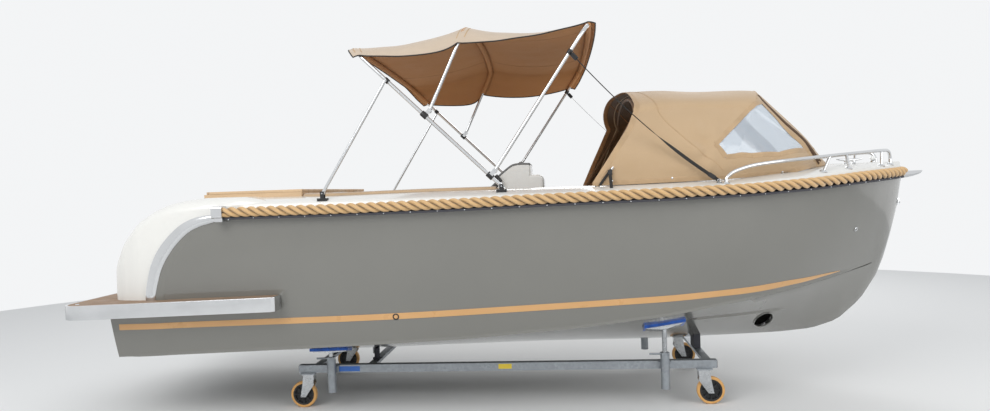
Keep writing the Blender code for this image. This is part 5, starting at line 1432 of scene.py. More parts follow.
@dataclass
class Stern:
    """The white quarters that close the stern, with a polished band along their edge."""

    lines: HullLines
    # x, height of the top, half breadth as a share of half the beam
    sections: tuple[tuple[float, ...], ...] = (
        (-2.938, 0.960, 0.700), (-2.915, 1.080, 0.780), (-2.860, 1.215, 0.845),
        (-2.770, 1.350, 0.886), (-2.640, 1.468, 0.920), (-2.500, 1.540, 0.939),
        (-2.490, 1.543, 0.940), (-2.420, 1.568, 0.948), (-2.300, 1.592, 0.955),
        (-2.120, 1.608, 0.962), (-1.861, 1.606, 0.970), (-1.740, 1.588, 0.966),
        (-1.620, 1.545, 0.958))
    # A place on the moulding's lower edge as x and height, and the edge's slope
    lower_edge: Triple = (-2.45, 0.900, 0.0231)
    # The band's middle line as x and height, with its half width
    strip: tuple[Triple, ...] = (
        (-2.553, 0.893, 0.036), (-2.546, 0.960, 0.037), (-2.528, 1.040, 0.039),
        (-2.500, 1.130, 0.042), (-2.448, 1.222, 0.043), (-2.372, 1.314, 0.041),
        (-2.276, 1.396, 0.038), (-2.180, 1.440, 0.034), (-2.075, 1.461, 0.028),
        (-1.975, 1.472, 0.018))

    def build(self) -> None:
        """Build the stern."""
        self.moulding()
        for side in Side:
            self.band(side)

    def half(self, x: float) -> float:
        """Return the moulding's half breadth."""
        return read_table(self.sections, x, 2) * self.lines.beam / 2 - 0.004

    def profile(self, x: float) -> list[Pair]:
        """Return the (y, z) half section at x."""
        top = read_table(self.sections, x, 1)
        aft, height, slope = self.lower_edge
        low = max(height + slope * (x - aft), self.lines.sheer(x)) + 0.0003
        outer = self.half(x)
        shoulder = min(0.090, (top - low) * 0.6)
        points = [(outer, low), (outer, (low + top - shoulder) / 2)]
        for angle in between(0.0, math.pi / 2, 8):
            points.append((outer - shoulder * (1 - math.cos(angle)),
                           top - shoulder * (1 - math.sin(angle))))
        return points + [(outer * 0.5, top + 0.006)]

    def moulding(self) -> None:
        """Build the white moulding with round shoulders."""
        rings = []
        places = sorted({row[0] for row in self.sections}
                        | set(between(self.sections[0][0], self.lines.stern_fore, 22))
                        | set(between(self.lines.stern_fore, self.sections[-1][0], 24)))
        for x in places:
            profile = self.profile(x)
            crown = read_table(self.sections, x, 1) + 0.012
            rings.append([Vector((x, -y, z)) for y, z in profile] + [Vector((x, 0.0, crown))]
                         + [Vector((x, y, z)) for y, z in reversed(profile)])
        solid = Solid().loft(rings, GELCOAT)
        solid.piece("stern_skin", replaces=["stern_moulding"])

    def surface(self, x: float, z: float) -> float:
        """Return the half breadth of whatever the band lies on."""
        fore = max(x, self.lines.stern_fore)
        return max(self.lines.side_at(fore, min(z, self.lines.sheer(fore))), self.half(x))

    def band(self, side: Side) -> None:
        """Lay the polished band between the grey topsides and the white quarter."""
        middle = smooth_route([Vector((x, z, half)) for x, z, half in self.strip], 0.02)
        rings = []
        for index, spot in enumerate(middle):
            after = middle[min(index + 1, len(middle) - 1)]
            before = middle[max(index - 1, 0)]
            along = Vector((after.x - before.x, after.y - before.y)).normalized()
            across = Vector((-along.y, along.x))
            outline = []
            for share, out in ((-1.0, 0.004), (-0.8, 0.009), (-0.3, 0.0125), (0.3, 0.0125),
                               (0.8, 0.009), (1.0, 0.004), (1.0, -0.004), (-1.0, -0.004)):
                x, z = spot.x + across.x * share * spot.z, spot.y + across.y * share * spot.z
                base = max(self.surface(spot.x, spot.y), self.surface(x, z))
                outline.append(Vector((x, side.value * (base + out), z)))
            rings.append(outline)
        Solid().loft(rings, STEEL).piece(f"stern_band_{side.label}")
        self.fill(side, middle)

    def fill(self, side: Side, middle: Sequence[Vector]) -> None:
        """Carry the grey paint from the hull's edge to the band."""
        rings = []
        for spot in middle:
            reach = spot.z + 0.060 * ease((1.480 - spot.y) / 0.06) + 0.006
            outline = []
            for out in (0.0012, -0.006):
                marks = between(-spot.z * 0.5, reach, 8)
                for ahead in marks if out > 0 else reversed(marks):
                    x, z = spot.x + ahead, spot.y - ahead * 0.25
                    high = self.surface(x, z)
                    low = self.lines.side_at(max(x, self.lines.stern_fore),
                                             min(z, self.lines.sheer(x))) - 0.0015
                    share = ease((reach - ahead) / 0.022)
                    y = low + (high + max(out, 0.0) - low) * share + min(out, 0.0)
                    outline.append(side.at(x, y, z))
            rings.append(outline)
        Solid().loft(rings, HULL_PAINT).piece(f"stern_paint_{side.label}")


@dataclass
class Platform:
    """The swim platform, its teak, its polished rim and the aft deck's board."""

    frame: dict
    board_ends: Pair = (-2.238, -1.502)
    board_half: float = 0.858
    board_heights: Pair = (1.592, 1.6305)
    eye: Triple = (-3.070, 1.118, 0.850)
    eye_facing: Triple = (-0.62, 0.785, 0.0)

    def build(self) -> None:
        """Dress the platform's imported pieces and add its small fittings."""
        dress(self.frame, "platform_base", GELCOAT, 0.006)
        dress(self.frame, "platform_teak", TEAK, 0.001)
        dress(self.frame, "platform_rim", STEEL, 0.003)
        dress(self.frame, "aft_deck_board", BOARD_WOOD, 0.004)
        (aft, fore), half = self.board_ends, self.board_half
        edge = rounded([(aft, -half), (fore, -half), (fore, half), (aft, half)], 0.012, 3)
        Solid().prism(edge, *self.board_heights, BOARD_WOOD).piece("aft_board_edge")
        solid = Solid()
        for side in Side:
            spot, out = side.at(*self.eye), side.at(*self.eye_facing)
            solid.turned([(0.0, -0.016), (0.040, -0.010), (0.040, 0.008), (0.036, 0.011),
                          (0.033, 0.008), (0.0, 0.008)], spot, out, STEEL, 36)
            solid.turned([(0.0, 0.0075), (0.032, 0.0075), (0.030, 0.010), (0.0, 0.013)], spot,
                         out, DIAL, 36)
        solid.piece("platform_eyes")


@dataclass
class Fender:
    """The thick laid rope along the sheer, in its black rubber shelf."""

    lines: HullLines
    radius: float = 0.036
    aft: float = -1.985
    fore: float = 2.930
    seat: float = 0.0008
    back: float = 0.010
    rise: float = 0.010
    lay: float = 0.21
    around: int = 24

    def build(self) -> None:
        """Build the rope and its shelf on both sides."""
        for side in Side:
            self.rope(side)
            self.shelf(side)
            self.end_cap(side)
        self.screws()

    def run(self, side: Side, aft: float, fore: float, out: float, rise: float,
            step: float) -> list[Vector]:
        """Return points along the sheer whose aft end keeps the slope before it."""
        route = self.lines.along_sheer(side.value, aft, fore, out, rise, step)
        sheer = self.lines.sheer
        bend, ahead = -1.80, 0.30
        slope = (sheer(bend + ahead) - sheer(bend)) / ahead
        for spot in route:
            if spot.x < bend:
                spot.z = max(spot.z, sheer(bend) + rise + slope * (spot.x - bend))
        return route

    def bulge(self, angle: float) -> float:
        """Return the rope's radius at an angle around it, with its three strands."""
        strand = self.radius * math.sin(math.pi / 3) / (1 + math.sin(math.pi / 3))
        centre = self.radius - strand
        third = 2 * math.pi / 3
        local = (angle + third / 2) % third - third / 2
        inside = max(strand ** 2 - (centre * math.sin(local)) ** 2, 0.0)
        return centre * math.cos(local) + math.sqrt(inside)

    def rope(self, side: Side) -> None:
        """Build one rope with its strands twisted along the sheer."""
        coarse = self.run(side, self.aft, self.fore,
                          self.seat + self.back + 0.0003 + self.radius, self.rise, 0.05)
        route = smooth_route(coarse, 0.010)
        lengths = lengths_along(route)
        points, marks, deep = [], [], []
        for index, (spot, along) in enumerate(zip(route, tangents(route))):
            across = along.cross(Vector(UP)).normalized()
            up = across.cross(along).normalized()
            twist = side.value * 2 * math.pi * lengths[index] / self.lay
            end = min(lengths[index], lengths[-1] - lengths[index])
            close = math.sqrt(min(1.0, 0.15 + end / 0.02))
            for step in range(self.around):
                angle = 2 * math.pi * step / self.around
                reach = self.bulge(angle)
                points.append(spot + (across * math.cos(angle + twist)
                                      + up * math.sin(angle + twist)) * reach * close)
                marks.append((lengths[index], angle * self.radius))
                # Painted shade: how deep in the groove between strands each point lies.
                deep.append(1.0 - ease((reach / self.radius - 0.42) / 0.42))
        rings = len(route)
        faces = [(row * self.around + col, row * self.around + (col + 1) % self.around,
                  (row + 1) * self.around + (col + 1) % self.around, (row + 1) * self.around + col)
                 for row in range(rings - 1) for col in range(self.around)]
        faces.append(tuple(range(self.around)))
        faces.append(tuple((rings - 1) * self.around + col for col in range(self.around)))
        name = f"rope_fender_{side.label}"
        mesh = Solid().form(points, faces, ROPE).mesh(name)
        layer = mesh.uv_layers.new(name="fibres")
        for loop in mesh.loops:
            layer.data[loop.index].uv = marks[loop.vertex_index]
        groove = mesh.attributes.new("groove", "FLOAT", "POINT")
        groove.data.foreach_set("value", deep)
        finished(name, mesh, ROPE, replaces=[f"rope_{side.label}"], angle=75)

    def shelf(self, side: Side) -> None:
        """Build the rubber shelf under and behind one rope."""
        low = self.rise - self.radius - 0.0003
        route = self.run(side, self.aft, self.fore, self.seat, 0.0, 0.04)
        section = rounded([(0.0, low - 0.016), (0.048, low - 0.016), (0.048, low),
                           (self.back, low), (self.back, -0.0016), (0.0, -0.0016)], 0.005, 3)
        solid = Solid().swept(route, [(-side.value * out, up) for out, up in section], RUBBER)
        solid.piece(f"fender_shelf_{side.label}", replaces=[f"rub_strip_{side.label}"])

    def end_cap(self, side: Side) -> None:
        """Build the polished socket that holds the rope's aft end."""
        out = self.seat + self.back + self.radius
        route = self.run(side, self.aft - 0.045, self.aft + 0.032, out, self.rise, 0.02)
        solid = Solid()
        section = rounded([(-0.041, -0.042), (0.041, -0.042), (0.041, 0.042), (-0.041, 0.042)],
                          0.016, 5)
        solid.swept(route, section, STEEL)
        foot = [spot + Vector((0.0, 0.0, -0.052)) for spot in route[1:]]
        solid.swept(foot, rounded([(-0.030, -0.016), (0.030, -0.016), (0.030, 0.016),
                                   (-0.030, 0.016)], 0.006), STEEL)
        solid.piece(f"rope_socket_{side.label}")

    def screws(self) -> None:
        """Set screws along the shelf's lip."""
        lines = []
        for side in Side:
            route = self.lines.along_sheer(side.value, self.aft + 0.06, self.fore - 0.06,
                                           self.seat + 0.0472, self.rise - self.radius - 0.0085,
                                           0.04)
            facing = [Vector((0.0, side.value, 0.0))] * len(route)
            lines.append((route, facing))
        Repeat(Stamp.STUD, 0.0042, 0.18, PLATED).along("shelf_screws", lines)


# ---------------------------------------------------------------- cockpit and helm


@dataclass
class Cockpit:
    """The liner, the sole and the padded benches."""

    frame: dict
    lines: HullLines
    aft: float = -1.46
    well_aft: float = -0.94
    bench_fore: float = 0.94
    bench_wide: float = 0.430
    gap: float = 0.028
    corner: float = 0.13
    voxel: float = 0.0065
    pressure: float = 4.0
    frames: int = 20
    cap: float = 0.011

    def build(self) -> None:
        """Dress the liner and the sole and build the cushions."""
        dress(self.frame, "cockpit_liner", LINER, 0.010)
        dress(self.frame, "cockpit_sole", TEAK, 0.001)
        aisle = self.lines.cockpit_half(0.0) - self.bench_wide
        for side in Side:
            outline = [(self.well_aft + 0.01, side.value * aisle),
                       (self.bench_fore, side.value * aisle)]
            for x in between(self.bench_fore, self.well_aft + 0.01, 10):
                outline.append((x, side.value * (self.lines.cockpit_half(x) - self.gap)))
            self.cushion(f"cushion_{side.label}", outline, 3)
        aft, corner = self.aft + self.gap, self.corner
        reach = self.lines.cockpit_half(self.aft) - self.gap
        outline = [(self.well_aft, -reach - 0.005), (self.well_aft, reach + 0.005),
                   (aft + corner, reach - 0.01), (aft, reach - corner), (aft, -reach + corner),
                   (aft + corner, -reach + 0.01)]
        self.cushion("cushion_aft", outline, 3, lengthwise=False)

    def cushion(self, node: str, outline: Outline, parts: int,
                lengthwise: bool = True) -> None:
        """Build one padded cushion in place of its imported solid.

        Args:
            node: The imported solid's name, which the piece takes with an ending.
            outline: Its plan outline.
            parts: How many sewn panels it has.
            lengthwise: Whether the panels follow each other along the boat.
        """
        middle = Vector((sum(x for x, _ in outline) / len(outline),
                         sum(y for _, y in outline) / len(outline)))
        low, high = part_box(node)
        soft = rounded(self.drawn_in(outline, middle, 0.014), 0.05, 4)
        rings = [[Vector((x, y, low[2] + rise)) for x, y in self.drawn_in(soft, middle, inset)]
                 for rise, inset in ((0.004, 0.014), (0.012, 0.004), (0.030, 0.0), (0.058, 0.0),
                                     (0.073, 0.006), (0.080, 0.020))]
        mesh = Solid().loft(rings, CUSHION).mesh(node)
        item = linked(f"{node}_pad", mesh)
        self.apply(item, self.remesh(item))
        base = [vertex.co.copy() for vertex in item.data.vertices]
        self.inflate(item, base)
        self.quilt(item, low, high, parts, 0 if lengthwise else 1)
        self.fit(item, low, high)
        even = item.modifiers.new("even", "SMOOTH")
        even.factor = 0.5
        even.iterations = 2
        self.apply(item, even)
        made = item.data
        bpy.data.objects.remove(item, do_unlink=True)
        piece = finished(f"{node}_pad", made, CUSHION, replaces=[node], angle=80)
        self.piping(node, soft, middle, low)

    @staticmethod
    def drawn_in(outline: Outline, middle: Vector, inset: float) -> list[Pair]:
        """Return an outline with its points drawn in toward a middle."""
        points = []
        for point in outline:
            way = Vector(point) - middle
            points.append(tuple(middle + way * (1 - inset / max(way.length, 0.05))))
        return points

    def remesh(self, item: bpy.types.Object) -> bpy.types.Modifier:
        """Return a modifier that gives the pad an even skin."""
        change = item.modifiers.new("even_skin", "REMESH")
        change.mode = "VOXEL"
        change.voxel_size = self.voxel * 1.0
        return change

    @staticmethod
    def apply(item: bpy.types.Object, change: bpy.types.Modifier) -> None:
        """Apply a modifier to a piece's mesh."""
        made = seen_mesh(item)
        item.modifiers.remove(change)
        item.data = made

    def inflate(self, item: bpy.types.Object, base: Sequence[Vector]) -> None:
        """Swell the pad with a short cloth simulation, with a cap on each point's move."""
        cloth = item.modifiers.new("filling", "CLOTH")
        cloth.settings.use_pressure = True
        cloth.settings.uniform_pressure_force = self.pressure
        cloth.settings.effector_weights.gravity = 0.0
        cloth.settings.quality = 3
        cloth.point_cache.frame_start, cloth.point_cache.frame_end = 1, self.frames
        scene = bpy.context.scene
        for number in range(1, self.frames + 1):
            scene.frame_set(number)
        self.apply(item, cloth)
        scene.frame_set(1)
        for vertex, start in zip(item.data.vertices, base):
            move = vertex.co - start
            if move.length > self.cap:
                vertex.co = start + move * (self.cap / move.length)

    @staticmethod
    def crown(item: bpy.types.Object, low: Point, high: Point) -> None:
        """Raise the pad's middle a little where no simulation is run."""
        for vertex in item.data.vertices:
            x = (vertex.co.x - low[0]) / (high[0] - low[0])
            y = (vertex.co.y - low[1]) / (high[1] - low[1])
            share = ease(4 * min(x, 1 - x)) * ease(4 * min(y, 1 - y))
            if vertex.co.z > (low[2] + high[2]) / 2:
                vertex.co.z += 0.008 * share

    @staticmethod
    def quilt(item: bpy.types.Object, low: Point, high: Point, parts: int, axis: int) -> None:
        """Press sewn channels into the pad's top and a soft unevenness into its sides."""
        for vertex in item.data.vertices:
            rise = (vertex.co.z - low[2]) / (high[2] - low[2])
            place = (vertex.co[axis] - low[axis]) / (high[axis] - low[axis]) * parts
            away = abs(place - round(place)) * (high[axis] - low[axis]) / parts
            if 0 < round(place) < parts:
                vertex.co.z -= 0.010 * math.exp(-(away / 0.014) ** 2) * ease(rise * 1.6 - 0.5)
            ripple = noise.noise(vertex.co * 7.0) * 0.0022
            vertex.co.z += ripple * ease(rise * 2 - 0.6)

    @staticmethod
    def fit(item: bpy.types.Object, low: Point, high: Point) -> None:
        """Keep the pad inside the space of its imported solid."""
        for vertex in item.data.vertices:
            for axis in range(3):
                spare = 0.006 if axis == 2 else 0.001
                vertex.co[axis] = min(max(vertex.co[axis], low[axis] + 0.0003),
                                      high[axis] + spare)

    def piping(self, node: str, outline: Outline, middle: Vector, low: Point) -> None:
        """Lay the welted seam around the cushion's upper edge."""
        route = [Vector((x, y, low[2] + 0.066))
                 for x, y in self.drawn_in(outline, middle, 0.001)]
        Solid().tube(route, 0.0042, CUSHION_CAP, 8, closed=True).piece(f"{node}_welt")


@dataclass
class Helm:
    """The console with its wheel, dials, low screen and engine lever."""

    frame: dict
    panel: tuple[float, float, float, float] = (-0.11, 1.535, 0.10, 1.705)
    middle_y: float = -0.220
    half: float = 0.2104
    screen_fore: float = 0.121
    # The screen's upper edge as x and z
    screen: tuple[Pair, ...] = (
        (-0.118, 1.695), (-0.060, 1.742), (-0.002, 1.780), (0.060, 1.788), (0.121, 1.786))
    trim: float = 0.0095

    def build(self) -> None:
        """Dress the console and the wheel and add the instruments."""
        dress(self.frame, "helm_console", GELCOAT, 0.004)
        dress(self.frame, "steering_wheel", GREY_LEATHER, 0.002)
        aft, low, fore, high = self.panel
        run = Vector((fore - aft, 0.0, high - low)).normalized()
        out = Vector((-run.z, 0.0, run.x))
        start = Vector((aft, self.middle_y, low))
        solid = Solid()
        for y, along, radius in ((-0.155, 0.175, 0.030), (0.155, 0.175, 0.030),
                                 (-0.155, 0.085, 0.020), (0.155, 0.085, 0.020)):
            spot = start + run * along + Vector((0.0, y, 0.0))
            solid.turned([(0.0, 0.0), (radius, 0.0), (radius, 0.005), (radius * 0.86, 0.009),
                          (radius * 0.80, 0.005), (0.0, 0.005)], spot, out, STEEL, 32)
            solid.turned([(0.0, 0.0052), (radius * 0.8, 0.0052), (radius * 0.8, 0.0060),
                          (0.0, 0.0064)], spot, out, DIAL, 32)
            for turn in (210, 260, 310):
                angle = math.radians(turn)
                mark = spot + (run * math.cos(angle)
                               + Vector(ACROSS) * math.sin(angle)) * radius * 0.55
                solid.plate(mark + out * 0.006, out, run, (radius * 0.28, 0.002, 0.0008), GELCOAT,
                            0.0005)
        solid.piece("helm_dials")
        self.hub(start, run, out)
        self.lever()
        self.cheeks()

    def cheeks(self) -> None:
        """Build the low screen around the dials, with its grey edge."""
        solid = Solid()
        edge = smooth_route([Vector((x, 0.0, z)) for x, z in self.screen], 0.015)
        outline = edge + [Vector((self.screen_fore, 0.0, 1.640)), Vector((0.02, 0.0, 1.610)),
                          Vector((-0.109, 0.0, 1.545))]
        thick, top = 0.014, self.screen[-1][1]
        for sign in (1, -1):
            y = self.middle_y - sign * self.half
            rings = [[Vector((spot.x, y + sign * deep, spot.z)) for spot in outline]
                     for deep in (0.0, thick)]
            solid.loft(rings, GELCOAT)
            solid.tube([Vector((spot.x, y + sign * thick / 2, spot.z)) for spot in edge],
                       self.trim, GREY_LEATHER, 12, ACROSS)
        front = [Vector((self.screen_fore, self.middle_y + y, top)) for y in (-0.203, 0.203)]
        solid.tube(front, self.trim, GREY_LEATHER, 12, UP)
        solid.plate((self.screen_fore, self.middle_y, 1.742), (1, 0, 0), ACROSS,
                    (0.400, 0.085, 0.010), GELCOAT, 0.004)
        solid.piece("console_screen")

    def hub(self, start: Vector, run: Vector, out: Vector) -> None:
        """Set the bright boss in the middle of the wheel."""
        item = Solid()
        seat = start + run * 0.135
        item.turned([(0.0, 0.095), (0.036, 0.095), (0.034, 0.100), (0.020, 0.104), (0.0, 0.105)],
                    seat, out, STEEL)
        item.piece("wheel_boss", body="helm_wheel")

    def lever(self) -> None:
        """Build the engine lever on the console's near side."""
        solid = Solid()
        face = self.middle_y - 0.2103
        foot = Vector((-0.020, face, 1.535))
        solid.plate(foot, (0, -1, 0), UP, (0.110, 0.085, 0.014), STEEL, 0.016)
        hub = foot + Vector((0.0, -0.014, 0.012))
        solid.bar(hub, hub + Vector((0, -0.026, 0)), 0.026, BLACK_PLASTIC, 28)
        route = [hub + Vector(place) for place in ((0.0, -0.018, 0.0), (-0.050, -0.026, 0.065),
                                                   (-0.090, -0.028, 0.125))]
        solid.tube(smooth_route(route, 0.01), 0.0085, STEEL, 12, ACROSS)
        solid.bar(route[-1] + Vector((0.016, 0.0, -0.018)), route[-1] + Vector((-0.022, 0, 0.036)),
                  0.019, BLACK_PLASTIC, 24, 0.016)
        solid.piece("engine_lever")


# ---------------------------------------------------------------- canopy


@dataclass(frozen=True)
class BowShape:
    """One bow of the canopy: its pivot and tip as x and z, and its half breadth."""

    pivot: Vector
    tip: Vector
    half: float
    turn: float = math.pi / 2
    skirt: float = 0.100
    corner: float = 0.120
    camber: float = 0.045

    @property
    def way(self) -> Vector:
        """The direction of its legs, as x and z."""
        return (self.tip - self.pivot).normalized()

    @property
    def length(self) -> float:
        """The length from its pivot to its tip."""
        return (self.tip - self.pivot).length

    @property
    def along(self) -> Vector:
        """The direction of its legs in space."""
        return Vector((self.way.x, 0.0, self.way.y))

    @property
    def level(self) -> Vector:
        """The direction square to its plane, which keeps a section upright."""
        return Vector((-self.way.y, 0.0, self.way.x))

    def place(self, y: float, along: float, up: float = 0.0) -> Vector:
        """Return a point a distance along the legs' direction."""
        spot = self.pivot + self.way * along
        return Vector((spot.x, y, spot.y + up))

    def route(self, start: float) -> list[Vector]:
        """Return the bow's middle line, up one leg, over and down."""
        length = self.length
        half = [(self.half, along) for along in between(start, length - self.corner, 8)]
        for angle in between(0.0, math.pi / 2, 9)[1:]:
            half.append((self.half - self.corner * (1 - math.cos(angle)),
                         length - self.corner + self.corner * math.sin(angle)))
        inner = self.half - self.corner
        for y in between(inner, 0.0, 14)[1:-1]:
            half.append((y, length + self.camber * (1 - (y / inner) ** 2)))
        both = [(-y, along) for y, along in half] + [(0.0, length + self.camber)]
        both += [(y, along) for y, along in reversed(half)]
        return [self.place(y, along) for y, along in both]

    def section(self, off: float, turn: float, skirt: float, across: int = 34) -> list[Vector]:
        """Return the cloth's line over the bow, from starboard to port.

        Args:
            off: How far the cloth lies outside the bow.
            turn: How far round the bow's starboard corner its edge hangs down.
            skirt: How far it hangs down the port leg.
            across: Steps over the flat half of the bow.

        Returns:
            The points of the line.
        """
        inner = self.half - self.corner
        length = self.length
        line = []
        for side, reach in ((-1, turn), (1, math.pi / 2)):
            half = []
            if side > 0:
                for down in between(skirt, 0.0, 5)[:-1]:
                    half.append(self.place(self.half + off, length - self.corner - down))
            for angle in between(reach, 0.0, 9):
                half.append(self.place(side * (inner + (self.corner + off) * math.sin(angle)),
                                       length + self.corner * (math.cos(angle) - 1),
                                       off * math.cos(angle)))
            for y in between(inner, 0.0, across)[1:]:
                half.append(self.place(side * y, length + self.camber * (1 - (y / inner) ** 2),
                                       off))
            line += half if side < 0 else list(reversed(half[:-1]))
        return line

    def mixed(self, other: "BowShape", share: float) -> "BowShape":
        """Return the shape between this bow and another."""
        return BowShape(self.pivot.lerp(other.pivot, share), self.tip.lerp(other.tip, share),
                        *(start + (end - start) * share for start, end in (
                            (self.half, other.half), (self.turn, other.turn),
                            (self.skirt, other.skirt))))


@dataclass
class Canopy:
    """The folding canopy: three bows, its struts, its cloth and the straps."""

    frame: dict
    lines: HullLines
    tube: float = 0.0125
    half: float = 1.050
    mid_inset: float = 0.036
    main_pivot: Pair = (-0.045, 1.622)
    main_tip: Pair = (-1.044, 2.600)
    cloth: float = 0.010
    overhang: float = 0.050
    dips: Pair = (0.046, 0.070)
    strap_foot: Pair = (1.420, 0.955)
    strap_sag: float = 0.060
    front_slide: float = 0.104
    mid_slide: float = 0.718
    strut_top: float = 1.070
    strut_foot: Pair = (-1.276, 1.612)
    strut_out: float = 0.040

    def __post_init__(self) -> None:
        """Work out the three bows from the main one."""
        pivot, tip = Vector(self.main_pivot), Vector(self.main_tip)
        self.main = BowShape(pivot, tip, self.half, 1.25)
        off = Vector((self.main.way.y, -self.main.way.x))
        self.front = BowShape(pivot + self.main.way * self.front_slide + off * 0.046,
                              Vector((0.575, 2.700)), self.half, 0.20, 0.070)
        self.middle = BowShape(pivot + self.main.way * self.mid_slide + off * 0.044,
                               Vector((-0.265, 2.715)), self.half - self.mid_inset)

    def build(self) -> None:
        """Build the canopy."""
        for name, shape in (("main", self.main), ("front", self.front), ("mid", self.middle)):
            self.bow(name, shape, f"canopy_{name}")
            self.pocket(name, shape, f"canopy_{name}")
        for side in Side:
            for node in (f"canopy_foot_{side.label}", f"strut_foot_{side.label}"):
                dress(self.frame, node, BLACK_PLASTIC, 0.001)
            self.strut(side)
            self.strap(side)
        self.cover()

    def bow(self, name: str, shape: BowShape, body: str) -> None:
        """Build one bow with its eyes and the fittings that it carries."""
        solid = Solid()
        solid.tube(shape.route(0.012), self.tube, STEEL, 20, shape.level)
        eye = sleeve(0.0055, 0.016, 0.017, 0.0142, 0.011)
        for side in Side:
            y = side.value * shape.half
            solid.turned(eye, shape.place(y, 0.0), ACROSS, STEEL, 28)
            solid.bar(shape.place(y - 0.019, 0.0), shape.place(y + 0.019, 0.0), 0.0052, PLATED, 12)
            if shape is self.main:
                self.slide(solid, side, self.front_slide, self.front)
                self.slide(solid, side, self.mid_slide, self.middle)
                self.collar(solid, shape, side, self.strut_top)
            elif shape is self.front:
                self.collar(solid, shape, side, 0.80 * shape.length)
        solid.piece(f"{name}_bow", body=body, replaces=[f"canopy_{name}_bow"])

    @staticmethod
    def pocket(name: str, shape: BowShape, body: str) -> None:
        """Build the sleeve of lining that holds a bow under the cloth."""
        route = shape.section(0.004, min(shape.turn, 0.9), shape.skirt - 0.010, 24)
        pocket = Solid().tube(route, 0.0188, LINING, 14, shape.level)
        pocket.piece(f"{name}_bow_pocket", body=body)

    @staticmethod
    def collar(solid: Solid, shape: BowShape, side: Side, along: float) -> None:
        """Add a black collar around a bow's leg."""
        solid.turned(sleeve(0.0126, 0.0165, 0.0178, 0.017, 0.014),
                     shape.place(side.value * shape.half, along), shape.along, BLACK_PLASTIC, 28)

    def slide(self, solid: Solid, side: Side, along: float, other: BowShape) -> None:
        """Add the sleeve and the cheek that carry another bow's pivot."""
        place = self.main.pivot + self.main.way * along
        solid.turned(sleeve(0.0126, 0.0190, 0.0205, 0.024, 0.021),
                     self.main.place(side.value * self.half, along), self.main.along,
                     BLACK_PLASTIC, 28)
        beyond = other.pivot + (other.pivot - place).normalized() * 0.014
        wide = self.main.way * 0.014
        near = other.half + 0.0145
        corners = [place - wide, place + wide, beyond + wide, beyond - wide]
        outline = rounded([(corner.x, corner.y) for corner in corners], 0.010, 4)
        solid.loft([[side.at(x, y, z) for x, z in outline] for y in (near, near + 0.004)], STEEL)

    def strut(self, side: Side) -> None:
        """Build one aft strut with its eye and pin."""
        solid = Solid()
        out = side.value * (self.half + self.strut_out)
        foot = Vector((self.strut_foot[0], out, self.strut_foot[1]))
        top = self.main.place(out, self.strut_top)
        way = (top - foot).normalized()
        solid.bar(foot + way * 0.006, top + way * 0.004, 0.0110, STEEL, 18)
        solid.turned(sleeve(0.0, 0.013, 0.014, 0.0125, 0.010), foot, ACROSS, STEEL, 24)
        solid.bar(foot - Vector((0, 0.018, 0)), foot + Vector((0, 0.018, 0)), 0.005, PLATED, 12)
        inner = side.at(top.x, self.half + self.tube + 0.0003, top.z)
        solid.bar(inner, top + side.at(0.0, 0.014, 0.0), 0.008, STEEL, 16)
        solid.piece(f"aft_strut_{side.label}", body=f"strut_{side.label}",
                    replaces=[f"canopy_strut_{side.label}"])

    def cover(self) -> None:
        """Build the cloth with its sag, its wrinkles, its seams and its piped edge."""
        seat = self.tube + 0.001 + self.cloth
        spans = ((self.main, self.middle, 26), (self.middle, self.front, 28))
        rows: list[list[Vector]] = [self.edge_row(self.main, -1, share, seat)
                                    for share in (1.0, 0.66, 0.33)]
        places: list[float] = [-1.0, -1.0, -1.0]
        for (first, second, count), dip in zip(spans, self.dips):
            for part in between(0.0, 1.0, count)[:-1]:
                sag = dip * math.sin(math.pi * part) ** 0.8
                shape = first.mixed(second, part)
                rows.append([spot - Vector((0.0, 0.0, sag * self.slack(spot.y)))
                             for spot in shape.section(seat, shape.turn, shape.skirt)])
                places.append(part)
        rows += [self.edge_row(self.front, 1, share, seat) for share in (0.0, 0.33, 0.66, 1.0)]
        places += [0.0, -1.0, -1.0, -1.0]
        cloth = Cloth(rows, 0.0022, CANVAS_TOP, LINING)
        normals = [[cloth.normal(r, c) for c in range(len(rows[0]))] for r in range(len(rows))]
        for r, row in enumerate(rows):
            for c, spot in enumerate(row):
                row[c] = spot + normals[r][c] * self.wrinkle(spot, places[r])
        mesh = cloth.mesh("canopy_cover")
        along, across = cloth.spans()
        piece = finished("canopy_cover", mesh, CANVAS_TOP, "canopy_main", ["canopy_cloth"],
                         angle=60)
        trims = self.trims(rows, normals)
        anchor = self.main.place(0.0, self.main.length)
        for item in [piece] + trims:
            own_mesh(item)

    def edge_row(self, shape: BowShape, way: int, share: float, seat: float) -> list[Vector]:
        """Return a row of the overhang beyond an end bow."""
        shift = Vector((way * self.overhang * share, 0.0, -0.012 * share * share))
        return [spot + shift for spot in shape.section(seat, shape.turn, shape.skirt)]

    def slack(self, y: float) -> float:
        """Return how freely the cloth sags at a place across it, 0 at its turned edges."""
        return 0.80 + 0.20 * (1 - min(abs(y) / self.half, 1.0) ** 4)

    @staticmethod
    def wrinkle(spot: Vector, part: float) -> float:
        """Return the small height of the cloth's pulls and ripples at a place."""
        away = math.sin(math.pi * min(max(part, 0.0), 1.0))
        pulls = noise.noise(Vector((spot.x * 1.2, spot.y * 5.0, 0.3))) * 0.004 * away
        edge = ease((abs(spot.y) - 0.80) / 0.25)
        ripples = math.sin(spot.x * 21 + 2.2 * noise.noise(spot * 2.0)) * 0.0026 * edge
        fine = noise.noise(spot * 11.0) * 0.0010
        return pulls + ripples * away + fine

